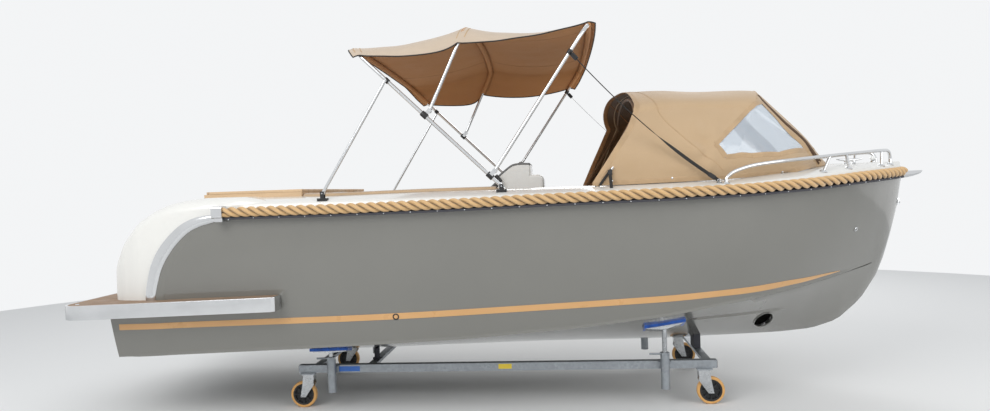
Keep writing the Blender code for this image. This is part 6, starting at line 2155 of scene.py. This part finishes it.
    def trims(self, rows: list[list[Vector]],
              normals: list[list[Vector]]) -> list[bpy.types.Object]:
        """Build the piping, the seams and the sleeve edges of the cover."""
        solid = Solid()
        cols = len(rows[0])
        inner = [[spot - normals[r][c] * 0.0011 for c, spot in enumerate(row)]
                 for r, row in enumerate(rows)]
        border = inner[0] + [row[-1] for row in inner[1:-1]] + list(reversed(inner[-1]))
        border += [row[0] for row in reversed(inner[1:-1])]
        solid.tube(border, 0.0046, PIPING, 8, (0.13, 0.31, 0.94), closed=True)
        seams = []
        for index in (3, 29, len(rows) - 4):
            for row in (index - 1, index + 1):
                line, facing = rows[row][2:-2], normals[row][2:-2]
                seam(solid, line, facing, (0.008, 0.0012), (0.009, 0.0016), 0.0022, CANVAS_SEAM)
                seams.append((line, facing))
        middle = min(range(cols), key=lambda col: abs(rows[0][col].y))
        for col in (middle - 22, middle + 22):
            line, facing = [row[col] for row in rows], [row[col] for row in normals]
            seam(solid, line, facing, (0.012, 0.0012), (0.014, 0.0018), 0.0022, CANVAS_SEAM)
            seams.append((line, facing))
        trim = solid.piece("canopy_seams", body="canopy_main")
        lines = [([spot + way * 0.0014 for spot, way in zip(route, facing)], facing)
                 for route, facing in seams]
        stitch = Repeat(Stamp.STITCH, STITCH_LENGTH, STITCH_SPACING, THREAD)
        return [trim, stitch.along("canopy_stitches", lines, "canopy_main")]

    def strap(self, side: Side) -> None:
        """Build one strap from the front bow to its foredeck eye, with its buckle."""
        high = self.front.pivot.lerp(self.front.tip, 0.80)
        top = side.at(high.x, self.half + self.tube + 0.0026, high.y)
        foot_x, foot_y = self.strap_foot
        low = side.at(foot_x, foot_y, self.lines.deck_top(foot_x, foot_y) + 0.0125)

        def hung(part: float) -> Vector:
            """Return the strap's point at a share of its length, a little below its chord."""
            sag = 4 * self.strap_sag * part * (1 - part)
            return top.lerp(low, part) - Vector((0.0, 0.0, sag))

        steps = 40
        route = [hung(part) for part in between(0.0, 1.0, steps)]
        section = rounded([(-0.0011, -0.0115), (0.0011, -0.0115), (0.0011, 0.0115),
                           (-0.0011, 0.0115)], 0.001, 2)
        rings = []
        for index, (spot, along) in enumerate(zip(route, tangents(route))):
            out = along.cross(Vector(UP)).normalized()
            up = out.cross(along)
            turn = math.pi / 2 * (1 - ease((index / steps - 0.52) / 0.25))
            rings.append([spot + out * (x * math.cos(turn) - y * math.sin(turn))
                          + up * (x * math.sin(turn) + y * math.cos(turn)) for x, y in section])
        strap = Solid().loft(rings, WEBBING)
        piece = strap.piece(f"strap_{side.label}", replaces=[f"canopy_strap_{side.label}"])
        trim = Solid()
        for part in (0.03, 0.95):
            trim.plate(hung(part) - side.at(0.0, 0.005, 0.0), (0, side.value, 0),
                       hung(part + 0.02) - hung(part), (0.052, 0.030, 0.011), BLACK_PLASTIC,
                       0.007)
        clip = trim.piece(f"strap_buckles_{side.label}")
        for item in (piece, clip):
            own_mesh(item)
        eye = Solid()
        eye.turned([(0.0, -0.001), (0.020, 0.0), (0.018, 0.004), (0.008, 0.008), (0.0, 0.008)],
                   low - Vector((0, 0, 0.0120)), UP, STEEL, 24)
        ring = [low + Vector((x, 0.0, z)) for x, z in circle(0.011, 16)]
        eye.tube(ring, 0.0028, STEEL, 8, ACROSS, closed=True)
        eye.piece(f"strap_eye_{side.label}")


# ---------------------------------------------------------------- spray hood


@dataclass
class Hood:
    """The spray hood with its clear windows, seams, snaps and hoop."""

    frame: dict
    lines: HullLines
    # base x, shoulder x, top x, shoulder half breadth, shoulder height, top height
    sections: tuple[tuple[float, ...], ...] = (
        (0.565, 0.860, 0.850, 0.800, 2.110, 2.328), (0.900, 1.080, 1.120, 0.780, 2.130, 2.322),
        (1.200, 1.400, 1.480, 0.745, 2.125, 2.308), (1.470, 1.720, 1.870, 0.685, 2.105, 2.298),
        (1.500, 1.760, 1.915, 0.672, 2.075, 2.262), (1.640, 1.900, 2.070, 0.630, 1.975, 2.115),
        (1.850, 2.090, 2.275, 0.570, 1.845, 1.895), (1.930, 2.200, 2.440, 0.520, 1.700, 1.710))
    shoulder: float = 0.55
    skew_rows: float = 1.3
    shoulder_skew: Pair = (0.055, -0.060)
    # Folds that fan out from a place: its x and z, their count, reach and start
    fans: tuple[tuple[float, ...], ...] = (
        (1.418, 1.862, 6.0, 0.20, 0.03), (1.42, 1.66, 9.0, 0.34, 0.12))
    inset: float = 0.150
    bulge: float = 0.030
    seat: float = 0.0025
    cloth: float = 0.0024
    rows: int = 126
    cols: int = 134
    # Corners as section number and share of the half girth
    side_window: tuple[Pair, ...] = (
        (2.96, 0.48), (3.96, 0.38), (4.82, 0.43), (5.52, 0.51), (6.34, 0.54), (5.50, 0.77),
        (4.58, 0.83), (2.64, 0.86), (2.34, 0.78), (2.50, 0.69), (2.68, 0.60))
    front_window: tuple[Pair, ...] = (
        (3.95, -0.24), (3.95, 0.24), (6.30, 0.33), (6.30, -0.33))
    # A seam from the crown to the strap's eye
    long_seam: tuple[Pair, ...] = (
        (0.04, 0.16), (0.38, 0.28), (0.86, 0.57), (1.86, 0.78), (2.72, 0.94))

    def point(self, place: float, part: float) -> Vector:
        """Return a point of the hood, part -1 at the starboard hem to 1 at the port hem."""
        table = [(float(index), *row) for index, row in enumerate(self.sections)]
        base_x, shoulder_x, top_x, shoulder_y, shoulder_z, top_z = (
            read_table(table, place, column) for column in range(1, 7))
        base_y = self.lines.sheer_half(base_x) - self.inset
        base_z = self.lines.deck_top(base_x, base_y) + self.seat
        reach = abs(part)
        skew = ease(1.0 - place / self.skew_rows)
        shoulder_x += skew * self.shoulder_skew[0 if part < 0 else 1]
        if reach > self.shoulder:
            share = (1 - reach) / (1 - self.shoulder)
            x = base_x + (shoulder_x - base_x) * share
            y = (base_y + (shoulder_y - base_y) * share ** 1.6
                 + self.bulge * math.sin(math.pi * share))
            z = base_z + (shoulder_z - base_z) * share
        else:
            share = 1 - reach / self.shoulder
            x = shoulder_x + (top_x - skew * 0.025 - shoulder_x) * share
            x -= max(part, 0.0) / self.shoulder * (1 - reach / self.shoulder) * 0.2 * skew
            y = shoulder_y * math.cos(share * math.pi / 2)
            z = shoulder_z + (top_z - shoulder_z) * math.sin(share * math.pi / 2)
        if part < 0:
            x -= skew * 0.026 * math.exp(-((reach - self.shoulder) / 0.07) ** 2)
        if place == len(self.sections) - 1 or reach == 1.0:
            z = self.lines.deck_top(x, y) + self.seat
        return Vector((x, math.copysign(y, part), z))

    def build(self) -> None:
        """Build the hood."""
        dress(self.frame, "hood_hoop", HOOD_LINING, 0.001)
        last = len(self.sections) - 1
        self.places = between(0.0, float(last), self.rows)
        self.parts = between(-1.0, 1.0, self.cols)
        self.grid = [[self.point(row, part) for part in self.parts] for row in self.places]
        plain = Cloth(self.grid, self.cloth, CANVAS, LINING)
        self.normals = [[plain.normal(r, c) for c in range(self.cols + 1)]
                        for r in range(self.rows + 1)]
        for row, normals, place in zip(self.grid, self.normals, self.places):
            for c, (spot, out, part) in enumerate(zip(row, normals, self.parts)):
                row[c] = spot + out * self.wrinkle(spot, place, part)
        port = self.side_window
        panes = {"starboard": [(place, -part) for place, part in port], "front": self.front_window,
                 "port": port}
        holes = {name: self.cells(outline) for name, outline in panes.items()}
        cover = Cloth(self.grid, self.cloth, CANVAS, HOOD_LINING,
                      frozenset().union(*holes.values()))
        piece = finished("hood_cover", cover.mesh("hood_cover"), CANVAS,
                         replaces=["hood_cloth"], angle=60)
        trims = [self.pane(name, cells) for name, cells in holes.items()] + self.trim(panes)
        self.ties()
        along, across = cover.spans()

    def cells(self, outline: Outline) -> set[tuple[int, int]]:
        """Return the grid cells whose middle lies inside an outline."""
        found = set()
        for r in range(self.rows):
            place = (self.places[r] + self.places[r + 1]) / 2
            for c in range(self.cols):
                part = (self.parts[c] + self.parts[c + 1]) / 2
                crossed = sum(place < r0 + (r1 - r0) * (part - p0) / (p1 - p0)
                              for (r0, p0), (r1, p1) in zip(outline, outline[1:] + outline[:1])
                              if (p0 > part) != (p1 > part))
                if crossed % 2:
                    found.add((r, c))
        return found

    def wrinkle(self, spot: Vector, row: float, part: float) -> float:
        """Return the small height of the cloth's pulls at a place."""
        hem = ease((1.0 - abs(part)) / 0.07) * ease((len(self.sections) - 1 - row) / 0.5)
        pulls = math.sin(spot.x * 9.0 - spot.z * 14.0 + 2.5 * noise.noise(spot * 2.4)) * 0.0032
        low = ease((abs(part) - 0.5) / 0.3)
        broad = noise.noise(Vector((spot.x * 2.6, spot.y * 2.2, spot.z * 4.0))) * 0.013
        fan = 0.0
        for x, z, count, reach, start in self.fans:
            away = math.hypot(spot.x - x, spot.z - z)
            turn = math.atan2(spot.z - z, spot.x - x)
            fan += (math.sin(turn * count + 0.8 * noise.noise(spot * 2.0)) * 0.017
                    * math.exp(-away / reach) * ease((away - start) / 0.12)
                    * ease((1.52 - spot.x) / 0.12))
        flat = ease((3.2 - row) / 0.6) * 0.75 + 0.25
        return (pulls * low + broad + fan * low) * hem * flat

    def on(self, place: float, part: float) -> tuple[Vector, Vector]:
        """Return the wrinkled cloth's point and outward direction at a place."""
        down = min(max(place / self.places[-1], 0.0), 1.0) * self.rows
        over = (min(max(part, -1.0), 1.0) + 1) / 2 * self.cols
        r, c = min(int(down), self.rows - 1), min(int(over), self.cols - 1)
        found = []
        for grid in (self.grid, self.normals):
            first = grid[r][c].lerp(grid[r][c + 1], over - c)
            found.append(first.lerp(grid[r + 1][c].lerp(grid[r + 1][c + 1], over - c), down - r))
        return found[0], found[1].normalized()

    def line(self, marks: Outline, lift: float = 0.0) -> tuple[list[Vector], list[Vector]]:
        """Return points and directions along a line between marks on the cloth."""
        route, facing = [], []
        for (r0, p0), (r1, p1) in zip(marks, marks[1:]):
            count = max(2, round((self.on(r0, p0)[0] - self.on(r1, p1)[0]).length / 0.018))
            for share in between(0.0, 1.0, count)[:-1] + ([1.0] if (r1, p1) == marks[-1] else []):
                spot, out = self.on(r0 + (r1 - r0) * share, p0 + (p1 - p0) * share)
                route.append(spot + out * lift)
                facing.append(out)
        return route, facing

    def pane(self, name: str, cells: set[tuple[int, int]]) -> bpy.types.Object:
        """Build one clear window sewn under the edges of its opening."""
        grown = {(r + dr, c + dc) for r, c in cells for dr in (-1, 0, 1) for dc in (-1, 0, 1)}
        every = {(r, c) for r in range(self.rows) for c in range(self.cols)}
        sheet = []
        for r, row in enumerate(self.grid):
            sheet.append([])
            for c, spot in enumerate(row):
                deep = sum((r + dr, c + dc) in cells for dr in (-6, 6) for dc in (-6, 6)) / 4
                wave = noise.noise(Vector((spot.x * 4.0, spot.y * 4.0, spot.z * 1.6))) * 0.009
                sheet[-1].append(spot - self.normals[r][c] * (0.0028 - wave * deep))
        title = f"hood_pane_{name}"
        mesh = Cloth(sheet, 0.0009, VINYL, VINYL, frozenset(every - grown)).mesh(title)
        return finished(title, mesh, VINYL, replaces=[f"hood_window_{name}"], angle=80)

    def trim(self, panes: dict[str, Outline]) -> list[bpy.types.Object]:
        """Build the hood's bindings, seams, stitches and snaps, and its strips of painted shade.
        """
        solid = Solid()
        last = float(len(self.sections) - 1)
        full = between(-0.995, 0.995, 20)
        bands = [([(0.05, part) for part in full], 0.042, CANVAS_SEAM),
                 ([(last - 0.07, part) for part in full], 0.034, CANVAS_SEAM),
                 ([(3.06, part) for part in full[6:-6]], 0.012, CANVAS_SEAM)]
        for sign in (-1, 1):
            for marks, width, finish in (
                    ([(row, 0.985) for row in between(0.0, last, 10)], 0.030, CANVAS_SEAM),
                    (self.long_seam, 0.010, CANVAS_SEAM),
                    # Painted shade: a dark brown strip along each side of the front windscreen's
                    # edge.
                    (((3.30, 0.30), (4.0, 0.325), (5.2, 0.40), (last - 0.1, 0.46)), 0.056,
                     FRONT_EDGE_SHADE)):
                bands.append(([(row, sign * part) for row, part in marks], width, finish))
        for outline in panes.values():
            corners = list(outline)
            for first, second in zip(corners, corners[1:] + corners[:1]):
                bands.append(([first, second], 0.036, CANVAS_SEAM))
        seams = []
        for marks, width, finish in bands:
            seam(solid, *self.line(marks), (width, 0.0020), (width * 0.8, 0.0014), 0.0034, finish)
            seams.append(self.line(marks, 0.0024))
        route, facing = self.line([(0.32, part) for part in full], -0.0032)
        band(solid, route, [-out for out in facing], 0.010, 0.0016, CANVAS_SEAM)
        trim = solid.piece("hood_bindings")
        stitch = Repeat(Stamp.STITCH, STITCH_LENGTH, STITCH_SPACING, THREAD)
        stitches = stitch.along("hood_stitches", seams)
        hems = [self.line([(row, sign * 0.975) for row in (0.35, 2.0, 3.0, 4.0, 5.0, 6.4)], 0.003)
                for sign in (-1, 1)]
        snaps = Repeat(Stamp.STUD, 0.0085, 0.335, STEEL).along("hood_snaps", hems)
        return [trim, stitches, snaps]

    def ties(self) -> None:
        """Build the black hold-down straps at the hood's aft corners."""
        for side in Side:
            solid = Solid()
            joint = side.at(0.690, 0.985, 1.700)
            for end, width in (((0.694, 1.058, 1.566), 0.022), ((0.620, 0.985, 1.606), 0.018),
                               ((0.745, 0.955, 1.752), 0.018)):
                tip = side.at(*end)
                route = [joint.lerp(tip, share) for share in between(0.0, 1.0, 6)]
                way = (tip - joint).normalized()
                out = Vector((0.0, side.value, 0.15)).normalized()
                band(solid, route, [out] * len(route), width, 0.004, WEBBING)
                if width == 0.022:
                    solid.plate(joint + way * 0.012, out, way, (0.034, 0.030, 0.008),
                                BLACK_PLASTIC, 0.005)
            solid.bar(joint + side.at(0.008, 0.006, 0.010), joint + side.at(0.024, 0.004, 0.026),
                      0.008, STEEL, 14)
            solid.piece(f"hood_tie_{side.label}")


# ---------------------------------------------------------------- foredeck


@dataclass
class Foredeck:
    """The bow rails, the nose plate, the towing eye and the side vents."""

    frame: dict
    lines: HullLines
    radius: float = 0.0125
    inset: float = 0.048
    # x, height above the deck
    route: tuple[Pair, ...] = (
        (1.460, 0.008), (1.463, 0.035), (1.520, 0.075), (1.680, 0.105), (2.110, 0.108),
        (2.580, 0.107), (2.790, 0.112), (2.850, 0.100), (2.872, 0.055), (2.873, 0.008))
    posts: tuple[Pair, ...] = ((2.19, 0.060), (2.41, -0.020), (2.755, 0.006))
    overflow: Pair = (2.494, 1.225)
    eye_z: float = 1.41

    def build(self) -> None:
        """Build the foredeck's metalwork."""
        self.nose()
        for side in Side:
            self.rail(side)
            self.vent(side)
        self.eye()

    def nose(self) -> None:
        """Build the polished nose that leads the anchor line over the stem."""
        rings, top = [], 1.6448
        for x, half, low in ((2.985, 0.079, 1.586), (3.030, 0.069, 1.590), (3.075, 0.055, 1.598),
                             (3.115, 0.040, 1.609), (3.145, 0.025, 1.620), (3.160, 0.013, 1.629),
                             (3.1648, 0.005, 1.634)):
            deep = (top - low) / 2
            rings.append([Vector((x, half * math.copysign(abs(y) ** 0.6, y),
                                  low + deep + deep * math.copysign(abs(z) ** 0.55, z)))
                          for y, z in circle(1.0, 24)])
        solid = Solid().loft(rings, STEEL)
        solid.turned([(0.0, -0.001), (0.0085, 0.0), (0.0085, 0.0016), (0.0, 0.0030)],
                     (3.02, 0.0, top), UP, STEEL, 20)
        solid.piece("bow_nose", replaces=["bow_plate"])

    def at(self, side: Side, x: float, rise: float) -> Vector:
        """Return a place above the deck on the rail's line."""
        y = self.lines.sheer_half(x) - self.inset
        return Vector((x, side.value * y, self.lines.deck_top(x, y) + rise))

    def rail(self, side: Side) -> None:
        """Build one low rail with its posts and feet."""
        solid = Solid()
        route = smooth_route([self.at(side, x, rise) for x, rise in self.route], 0.012)
        solid.tube(route, self.radius, STEEL, 18, (0.0, side.value, 0.0))
        for x, lean in self.posts:
            foot = self.at(side, x, 0.004)
            top = self.at(side, x + lean, 0.106)
            solid.bar(foot, top, self.radius * 0.8, STEEL, 16)
        for x in [x for x, _ in self.posts] + [self.route[0][0], self.route[-1][0]]:
            foot = self.at(side, x, 0.0)
            facing = self.lines.deck_facing(foot.x, foot.y)
            solid.turned([(0.0, -0.003), (0.026, 0.0), (0.026, 0.003), (0.020, 0.007),
                          (0.014, 0.012), (0.0, 0.012)], foot, facing, STEEL, 28)
        solid.piece(f"low_rail_{side.label}", replaces=[f"bow_rail_{side.label}"])

    def vent(self, side: Side) -> None:
        """Build the bright overflow in the topsides, with painted shade in its hole."""
        solid = Solid()
        spot = self.lines.side_point(side.value, *self.overflow, 0.001)
        facing = self.lines.side_facing(side.value, *self.overflow)
        solid.turned([(0.0, -0.004), (0.017, 0.0), (0.017, 0.003), (0.013, 0.006),
                      (0.008, 0.003), (0.008, 0.001), (0.0, 0.001)], spot, facing, STEEL, 28)
        # Painted shade: a dark disc stands in for the hollow of the overflow's hole.
        solid.turned([(0.0, 0.0011), (0.0078, 0.0011), (0.0078, 0.002), (0.0, 0.002)], spot,
                     facing, HOLE_SHADE, 20)
        solid.piece(f"side_vent_{side.label}")

    def eye(self) -> None:
        """Build the towing eye on the stem."""
        solid = Solid()
        table = [(row[0], row[1]) for row in self.lines.sections]
        x = next(x for x in between(2.80, 2.99, 190)
                 if read_table(table, x, 1) > self.eye_z - 0.05)
        spot = Vector((x, 0.0, self.eye_z))
        solid.plate(spot + Vector((0.004, 0, -0.01)), (0.9, 0.0, -0.42), (0.42, 0.0, 0.9),
                    (0.070, 0.030, 0.005), STEEL, 0.010)
        ring = [spot + Vector((0.008 + x, 0.0, z - 0.010)) for x, z in circle(0.016, 28)]
        solid.tube(ring, 0.0048, STEEL, 12, ACROSS, closed=True)
        solid.piece("towing_eye")


# ---------------------------------------------------------------- trolley


@dataclass
class Trolley:
    """The galvanised yard trolley with its jacks and castors."""

    frame: dict
    beam_y: float = 0.6025
    beam_top: float = 0.322
    beam_height: float = 0.058
    jacks: tuple[tuple[str, float], ...] = (("front", 1.062), ("rear", -1.390))
    castors: tuple[tuple[str, float, int], ...] = (("front", 1.345, 1), ("rear", -1.585, -1))
    beam_ends: tuple[tuple[float, int], ...] = ((-1.657, -1), (1.437, 1))
    plate_thick: float = 0.008
    jack_y: float = 0.676
    thread_radius: float = 0.0166
    thread_pitch: float = 0.0062

    def build(self) -> None:
        """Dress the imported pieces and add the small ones."""
        dress(self.frame, "trolley_frame", GALVANISED, 0.004)
        for end in ("front", "rear"):
            dress(self.frame, f"keel_pad_{end}", RUBBER, 0.003)
            for side in Side:
                name = f"{end}_{side.label}"
                dress(self.frame, f"jack_screw_{name}", PLATED, 0.0008)
                dress(self.frame, f"jack_board_{name}", CARPET, 0.004)
                dress(self.frame, f"castor_fork_{name}", PLATED, 0.002)
        for side in Side:
            dress(self.frame, f"keel_prop_{side.label}", RUBBER, 0.002)
        self.bolts()
        self.labels()
        for end, x, way in self.castors:
            for side in Side:
                self.castor(end, side, x, way)
        for end, x in self.jacks:
            for side in Side:
                self.jack(end, side, x)

    def bolts(self) -> None:
        """Set the bolts that hold the castors' plates, and the beams' end caps."""
        solid = Solid()
        low = self.beam_top - self.beam_height - self.plate_thick
        profile = [(0.0, -0.007), (0.0085, -0.006), (0.0085, 0.001), (0.0, 0.001)]
        corners = [(dx, dy) for dx in (-0.040, 0.040) for dy in (-0.040, 0.040)]
        for _, x, _ in self.castors:
            for side in Side:
                for dx, dy in corners:
                    spot = Vector((x + dx, side.value * self.beam_y + dy, low))
                    solid.turned(profile, spot, UP, PLATED, 6)
        for x, way in self.beam_ends:
            for side in Side:
                spot = side.at(x, self.beam_y, self.beam_top - 0.029)
                solid.plate(spot, (way, 0, 0), ACROSS, (0.050, 0.052, 0.003), BLACK_PLASTIC,
                            0.005)
        solid.piece("castor_bolts")

    def labels(self) -> None:
        """Stick the two blank labels on the near beam."""
        solid = Solid()
        face_y = -(self.beam_y + 0.0275)
        for x, z, size, finish in ((-1.300, 0.292, (0.225, 0.038), BLUE_LABEL),
                                   (-0.095, 0.296, (0.098, 0.036), YELLOW_LABEL)):
            solid.plate((x, face_y, z), (0, -1, 0), (1, 0, 0), (*size, 0.0008), finish, 0.003)
        solid.piece("beam_labels")

    def castor(self, end: str, side: Side, x: float, way: int) -> None:
        """Build one wheel with its rim, spokes and tread, and its fork's small pieces."""
        wheel = Solid()
        centre = side.at(x + way * 0.046, self.beam_y, 0.100)
        wheel.turned([(0.080, -0.020), (0.0935, -0.0200), (0.0975, -0.0175), (0.0995, -0.012),
                      (0.1000, 0.0), (0.0995, 0.012), (0.0975, 0.0175), (0.0935, 0.0200),
                      (0.080, 0.020), (0.080, -0.020)], centre, ACROSS, TREAD, 44)
        wheel.turned([(0.0665, -0.019), (0.0800, -0.0205), (0.0802, -0.018), (0.0802, 0.018),
                      (0.0800, 0.0205), (0.0665, 0.019), (0.0650, 0.0), (0.0665, -0.019)],
                     centre, ACROSS, BLACK_PLASTIC, 44)
        wheel.turned(sleeve(0.0108, 0.020, 0.023, 0.0228, 0.018), centre, ACROSS, BLACK_PLASTIC,
                     32)
        wheel.turned([(0.022, -0.003), (0.067, -0.0025), (0.067, 0.0025), (0.022, 0.003),
                      (0.022, -0.003)], centre, ACROSS, BLACK_PLASTIC, 32)
        for x_way, z_way in circle(1.0, 8):
            out, wide = Vector((x_way, 0.0, z_way)), Vector((-z_way, 0.0, x_way))
            rings = []
            for reach, half, deep in ((0.020, 0.0055, 0.019), (0.045, 0.0038, 0.0125),
                                      (0.068, 0.0052, 0.017)):
                rings.append([centre + out * reach + wide * u * half + Vector((0, v * deep, 0))
                              for u, v in ((-1, -1), (1, -1), (1, 1), (-1, 1))])
            wheel.loft(rings, BLACK_PLASTIC)
        name = f"{end}_{side.label}"
        wheel.piece(f"roller_{name}", body=f"roller_{name}", replaces=[f"castor_wheel_{name}"])
        trim = Solid()
        for lean in (-1, 1):
            spot = centre + Vector((0.0, lean * 0.0352, 0.0))
            trim.turned([(0.0, -0.002), (0.0115, -0.002), (0.0115, 0.006), (0.0, 0.0065)], spot,
                        (0, lean, 0), PLATED, 6)
        top = side.at(x, self.beam_y, self.beam_top - self.beam_height - self.plate_thick)
        trim.turned([(0.024, -0.0058), (0.046, -0.0054), (0.046, -0.0012), (0.024, -0.0010),
                     (0.024, -0.0058)], top, UP, PLATED, 36)
        trim.piece(f"castor_trim_{name}", body=f"castor_{name}")

    def jack(self, end: str, side: Side, x: float) -> None:
        """Build the thread on a jack's screw and the gusset under its board."""
        low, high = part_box(f"jack_screw_{end}_{side.label}")
        spot = side.at(x, self.jack_y, 0.0)
        solid = Solid()
        top, start, around = min(high[2] - 0.05, 0.632), low[2] + 0.004, 10
        depth, crest, half = 0.0004, 0.0011, Vector((0.0, 0.0, 0.0022))
        rings = []
        for step in range(int((top - start) / self.thread_pitch * around)):
            angle = 2 * math.pi * step / around
            out = Vector((math.cos(angle), math.sin(angle), 0.0))
            place = spot + out * self.thread_radius
            place.z = start + self.thread_pitch * step / around
            rings.append([place - out * depth - half, place + out * crest,
                          place - out * depth + half])
        solid.loft(rings, PLATED)
        low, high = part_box(f"jack_board_{end}_{side.label}")
        # Slopes of the board along and across the boat, its underside and the gusset's depth
        tilt, lean, under, drop = ((0.144, 0.36, 0.0205, 0.024) if end == "front"
                                   else (0.030, 0.21, 0.0115, 0.012))
        marks = ((0.015, 0.0), (0.275, 0.0), (0.265, -0.006), (0.165, -drop), (0.125, -drop),
                 (0.025, -0.006))
        solid.loft([[Vector((low[0] + along, spot.y + y, low[2] + under + tilt * along + deep
                             + side.value * y * lean)) for along, deep in marks]
                    for y in (-0.042, 0.042)], PLATED)
        solid.piece(f"jack_thread_{end}_{side.label}", body=f"jack_{end}_{side.label}")


# ---------------------------------------------------------------- studio


@dataclass
class Studio:
    """The pale floor, the soft lights and the camera."""

    place: Triple = (0.35, -6.136, 1.589)
    yaw: float = -0.087
    pitch: float = 0.019
    roll: float = -0.033
    focal_pixels: float = 752.0
    frame_pixels: int = 990

    def build(self) -> None:
        """Set up the studio."""
        self.floor()
        self.world()
        self.lamps()
        self.camera()

    def floor(self) -> None:
        """Lay the floor."""
        points = [(x, y, 0.0) for x, y in circle(9.5, 64)]
        mesh = bpy.data.meshes.new("studio_floor")
        mesh.from_pydata(points, [], [tuple(range(64))])
        material = bpy.data.materials.new("studio_floor")
        material.use_nodes = True
        shader = material.node_tree.nodes["Principled BSDF"]
        shader.inputs["Base Color"].default_value = (0.80, 0.80, 0.79, 1.0)
        shader.inputs["Roughness"].default_value = 0.9
        mesh.materials.append(material)
        linked("studio_floor", mesh)

    def world(self) -> None:
        """Light the object evenly and show a pale background."""
        world = bpy.data.worlds.new("studio")
        world.use_nodes = True
        bpy.context.scene.world = world
        tree = world.node_tree
        light = tree.nodes["Background"]
        light.inputs["Color"].default_value = (0.93, 0.96, 1.0, 1.0)
        light.inputs["Strength"].default_value = 0.62
        shown = tree.nodes.new("ShaderNodeBackground")
        shown.inputs["Color"].default_value = (0.90, 0.91, 0.92, 1.0)
        shown.inputs["Strength"].default_value = 1.0
        path = tree.nodes.new("ShaderNodeLightPath")
        seen = path.outputs["Is Camera Ray"]
        for ray in ("Is Glossy Ray", "Is Transmission Ray"):
            either = tree.nodes.new("ShaderNodeMath")
            either.operation = "MAXIMUM"
            tree.links.new(seen, either.inputs[0])
            tree.links.new(path.outputs[ray], either.inputs[1])
            seen = either.outputs["Value"]
        mix = tree.nodes.new("ShaderNodeMixShader")
        tree.links.new(seen, mix.inputs["Fac"])
        tree.links.new(light.outputs["Background"], mix.inputs[1])
        tree.links.new(shown.outputs["Background"], mix.inputs[2])
        tree.links.new(mix.outputs["Shader"], tree.nodes["World Output"].inputs["Surface"])

    def lamps(self) -> None:
        """Hang a large soft lamp on each side."""
        for name, place, size, power in (("key", (-3.5, -6.5, 6.0), 5.0, 330.0),
                                         ("fill", (5.0, -5.0, 3.2), 4.0, 120.0),
                                         ("back", (1.0, 7.0, 6.0), 6.0, 260.0)):
            lamp = bpy.data.lights.new(name, "AREA")
            lamp.size = size
            lamp.energy = power
            item = linked(name, lamp)
            item.location = place
            item.rotation_euler = (Vector((0.0, 0.0, 1.0)) - Vector(place)).to_track_quat(
                "-Z", "Y").to_euler()

    def camera(self) -> None:
        """Set the camera at the photograph's place."""
        ahead = Vector((math.sin(self.yaw) * math.cos(self.pitch),
                        math.cos(self.yaw) * math.cos(self.pitch), -math.sin(self.pitch)))
        right = Vector((math.cos(self.yaw), -math.sin(self.yaw), 0.0))
        up = right.cross(ahead)
        level = math.cos(self.roll) * right + math.sin(self.roll) * up
        above = -math.sin(self.roll) * right + math.cos(self.roll) * up
        lens = bpy.data.cameras.new("camera")
        lens.sensor_width = 36.0
        lens.lens = self.focal_pixels / self.frame_pixels * 36.0
        item = linked("camera", lens)
        item.matrix_world = Matrix.Translation(self.place) @ Matrix(
            (level, above, -ahead)).transposed().to_4x4()
        bpy.context.scene.camera = item


def main() -> None:
    """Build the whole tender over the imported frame."""
    logging.basicConfig(level=logging.INFO, format="%(message)s")
    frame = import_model()
    bpy.context.scene.view_settings.view_transform = "Standard"
    lines = HullLines()
    parts = (Hull(lines), Deck(lines), Stern(lines), Platform(frame), Fender(lines),
             Foredeck(frame, lines), Cockpit(frame, lines), Helm(frame), Canopy(frame, lines),
             Hood(frame, lines), Trolley(frame), Studio())
    for part in parts:
        LOG.info("building %s", type(part).__name__)
        part.build()


if __name__ == "__main__":
    main()
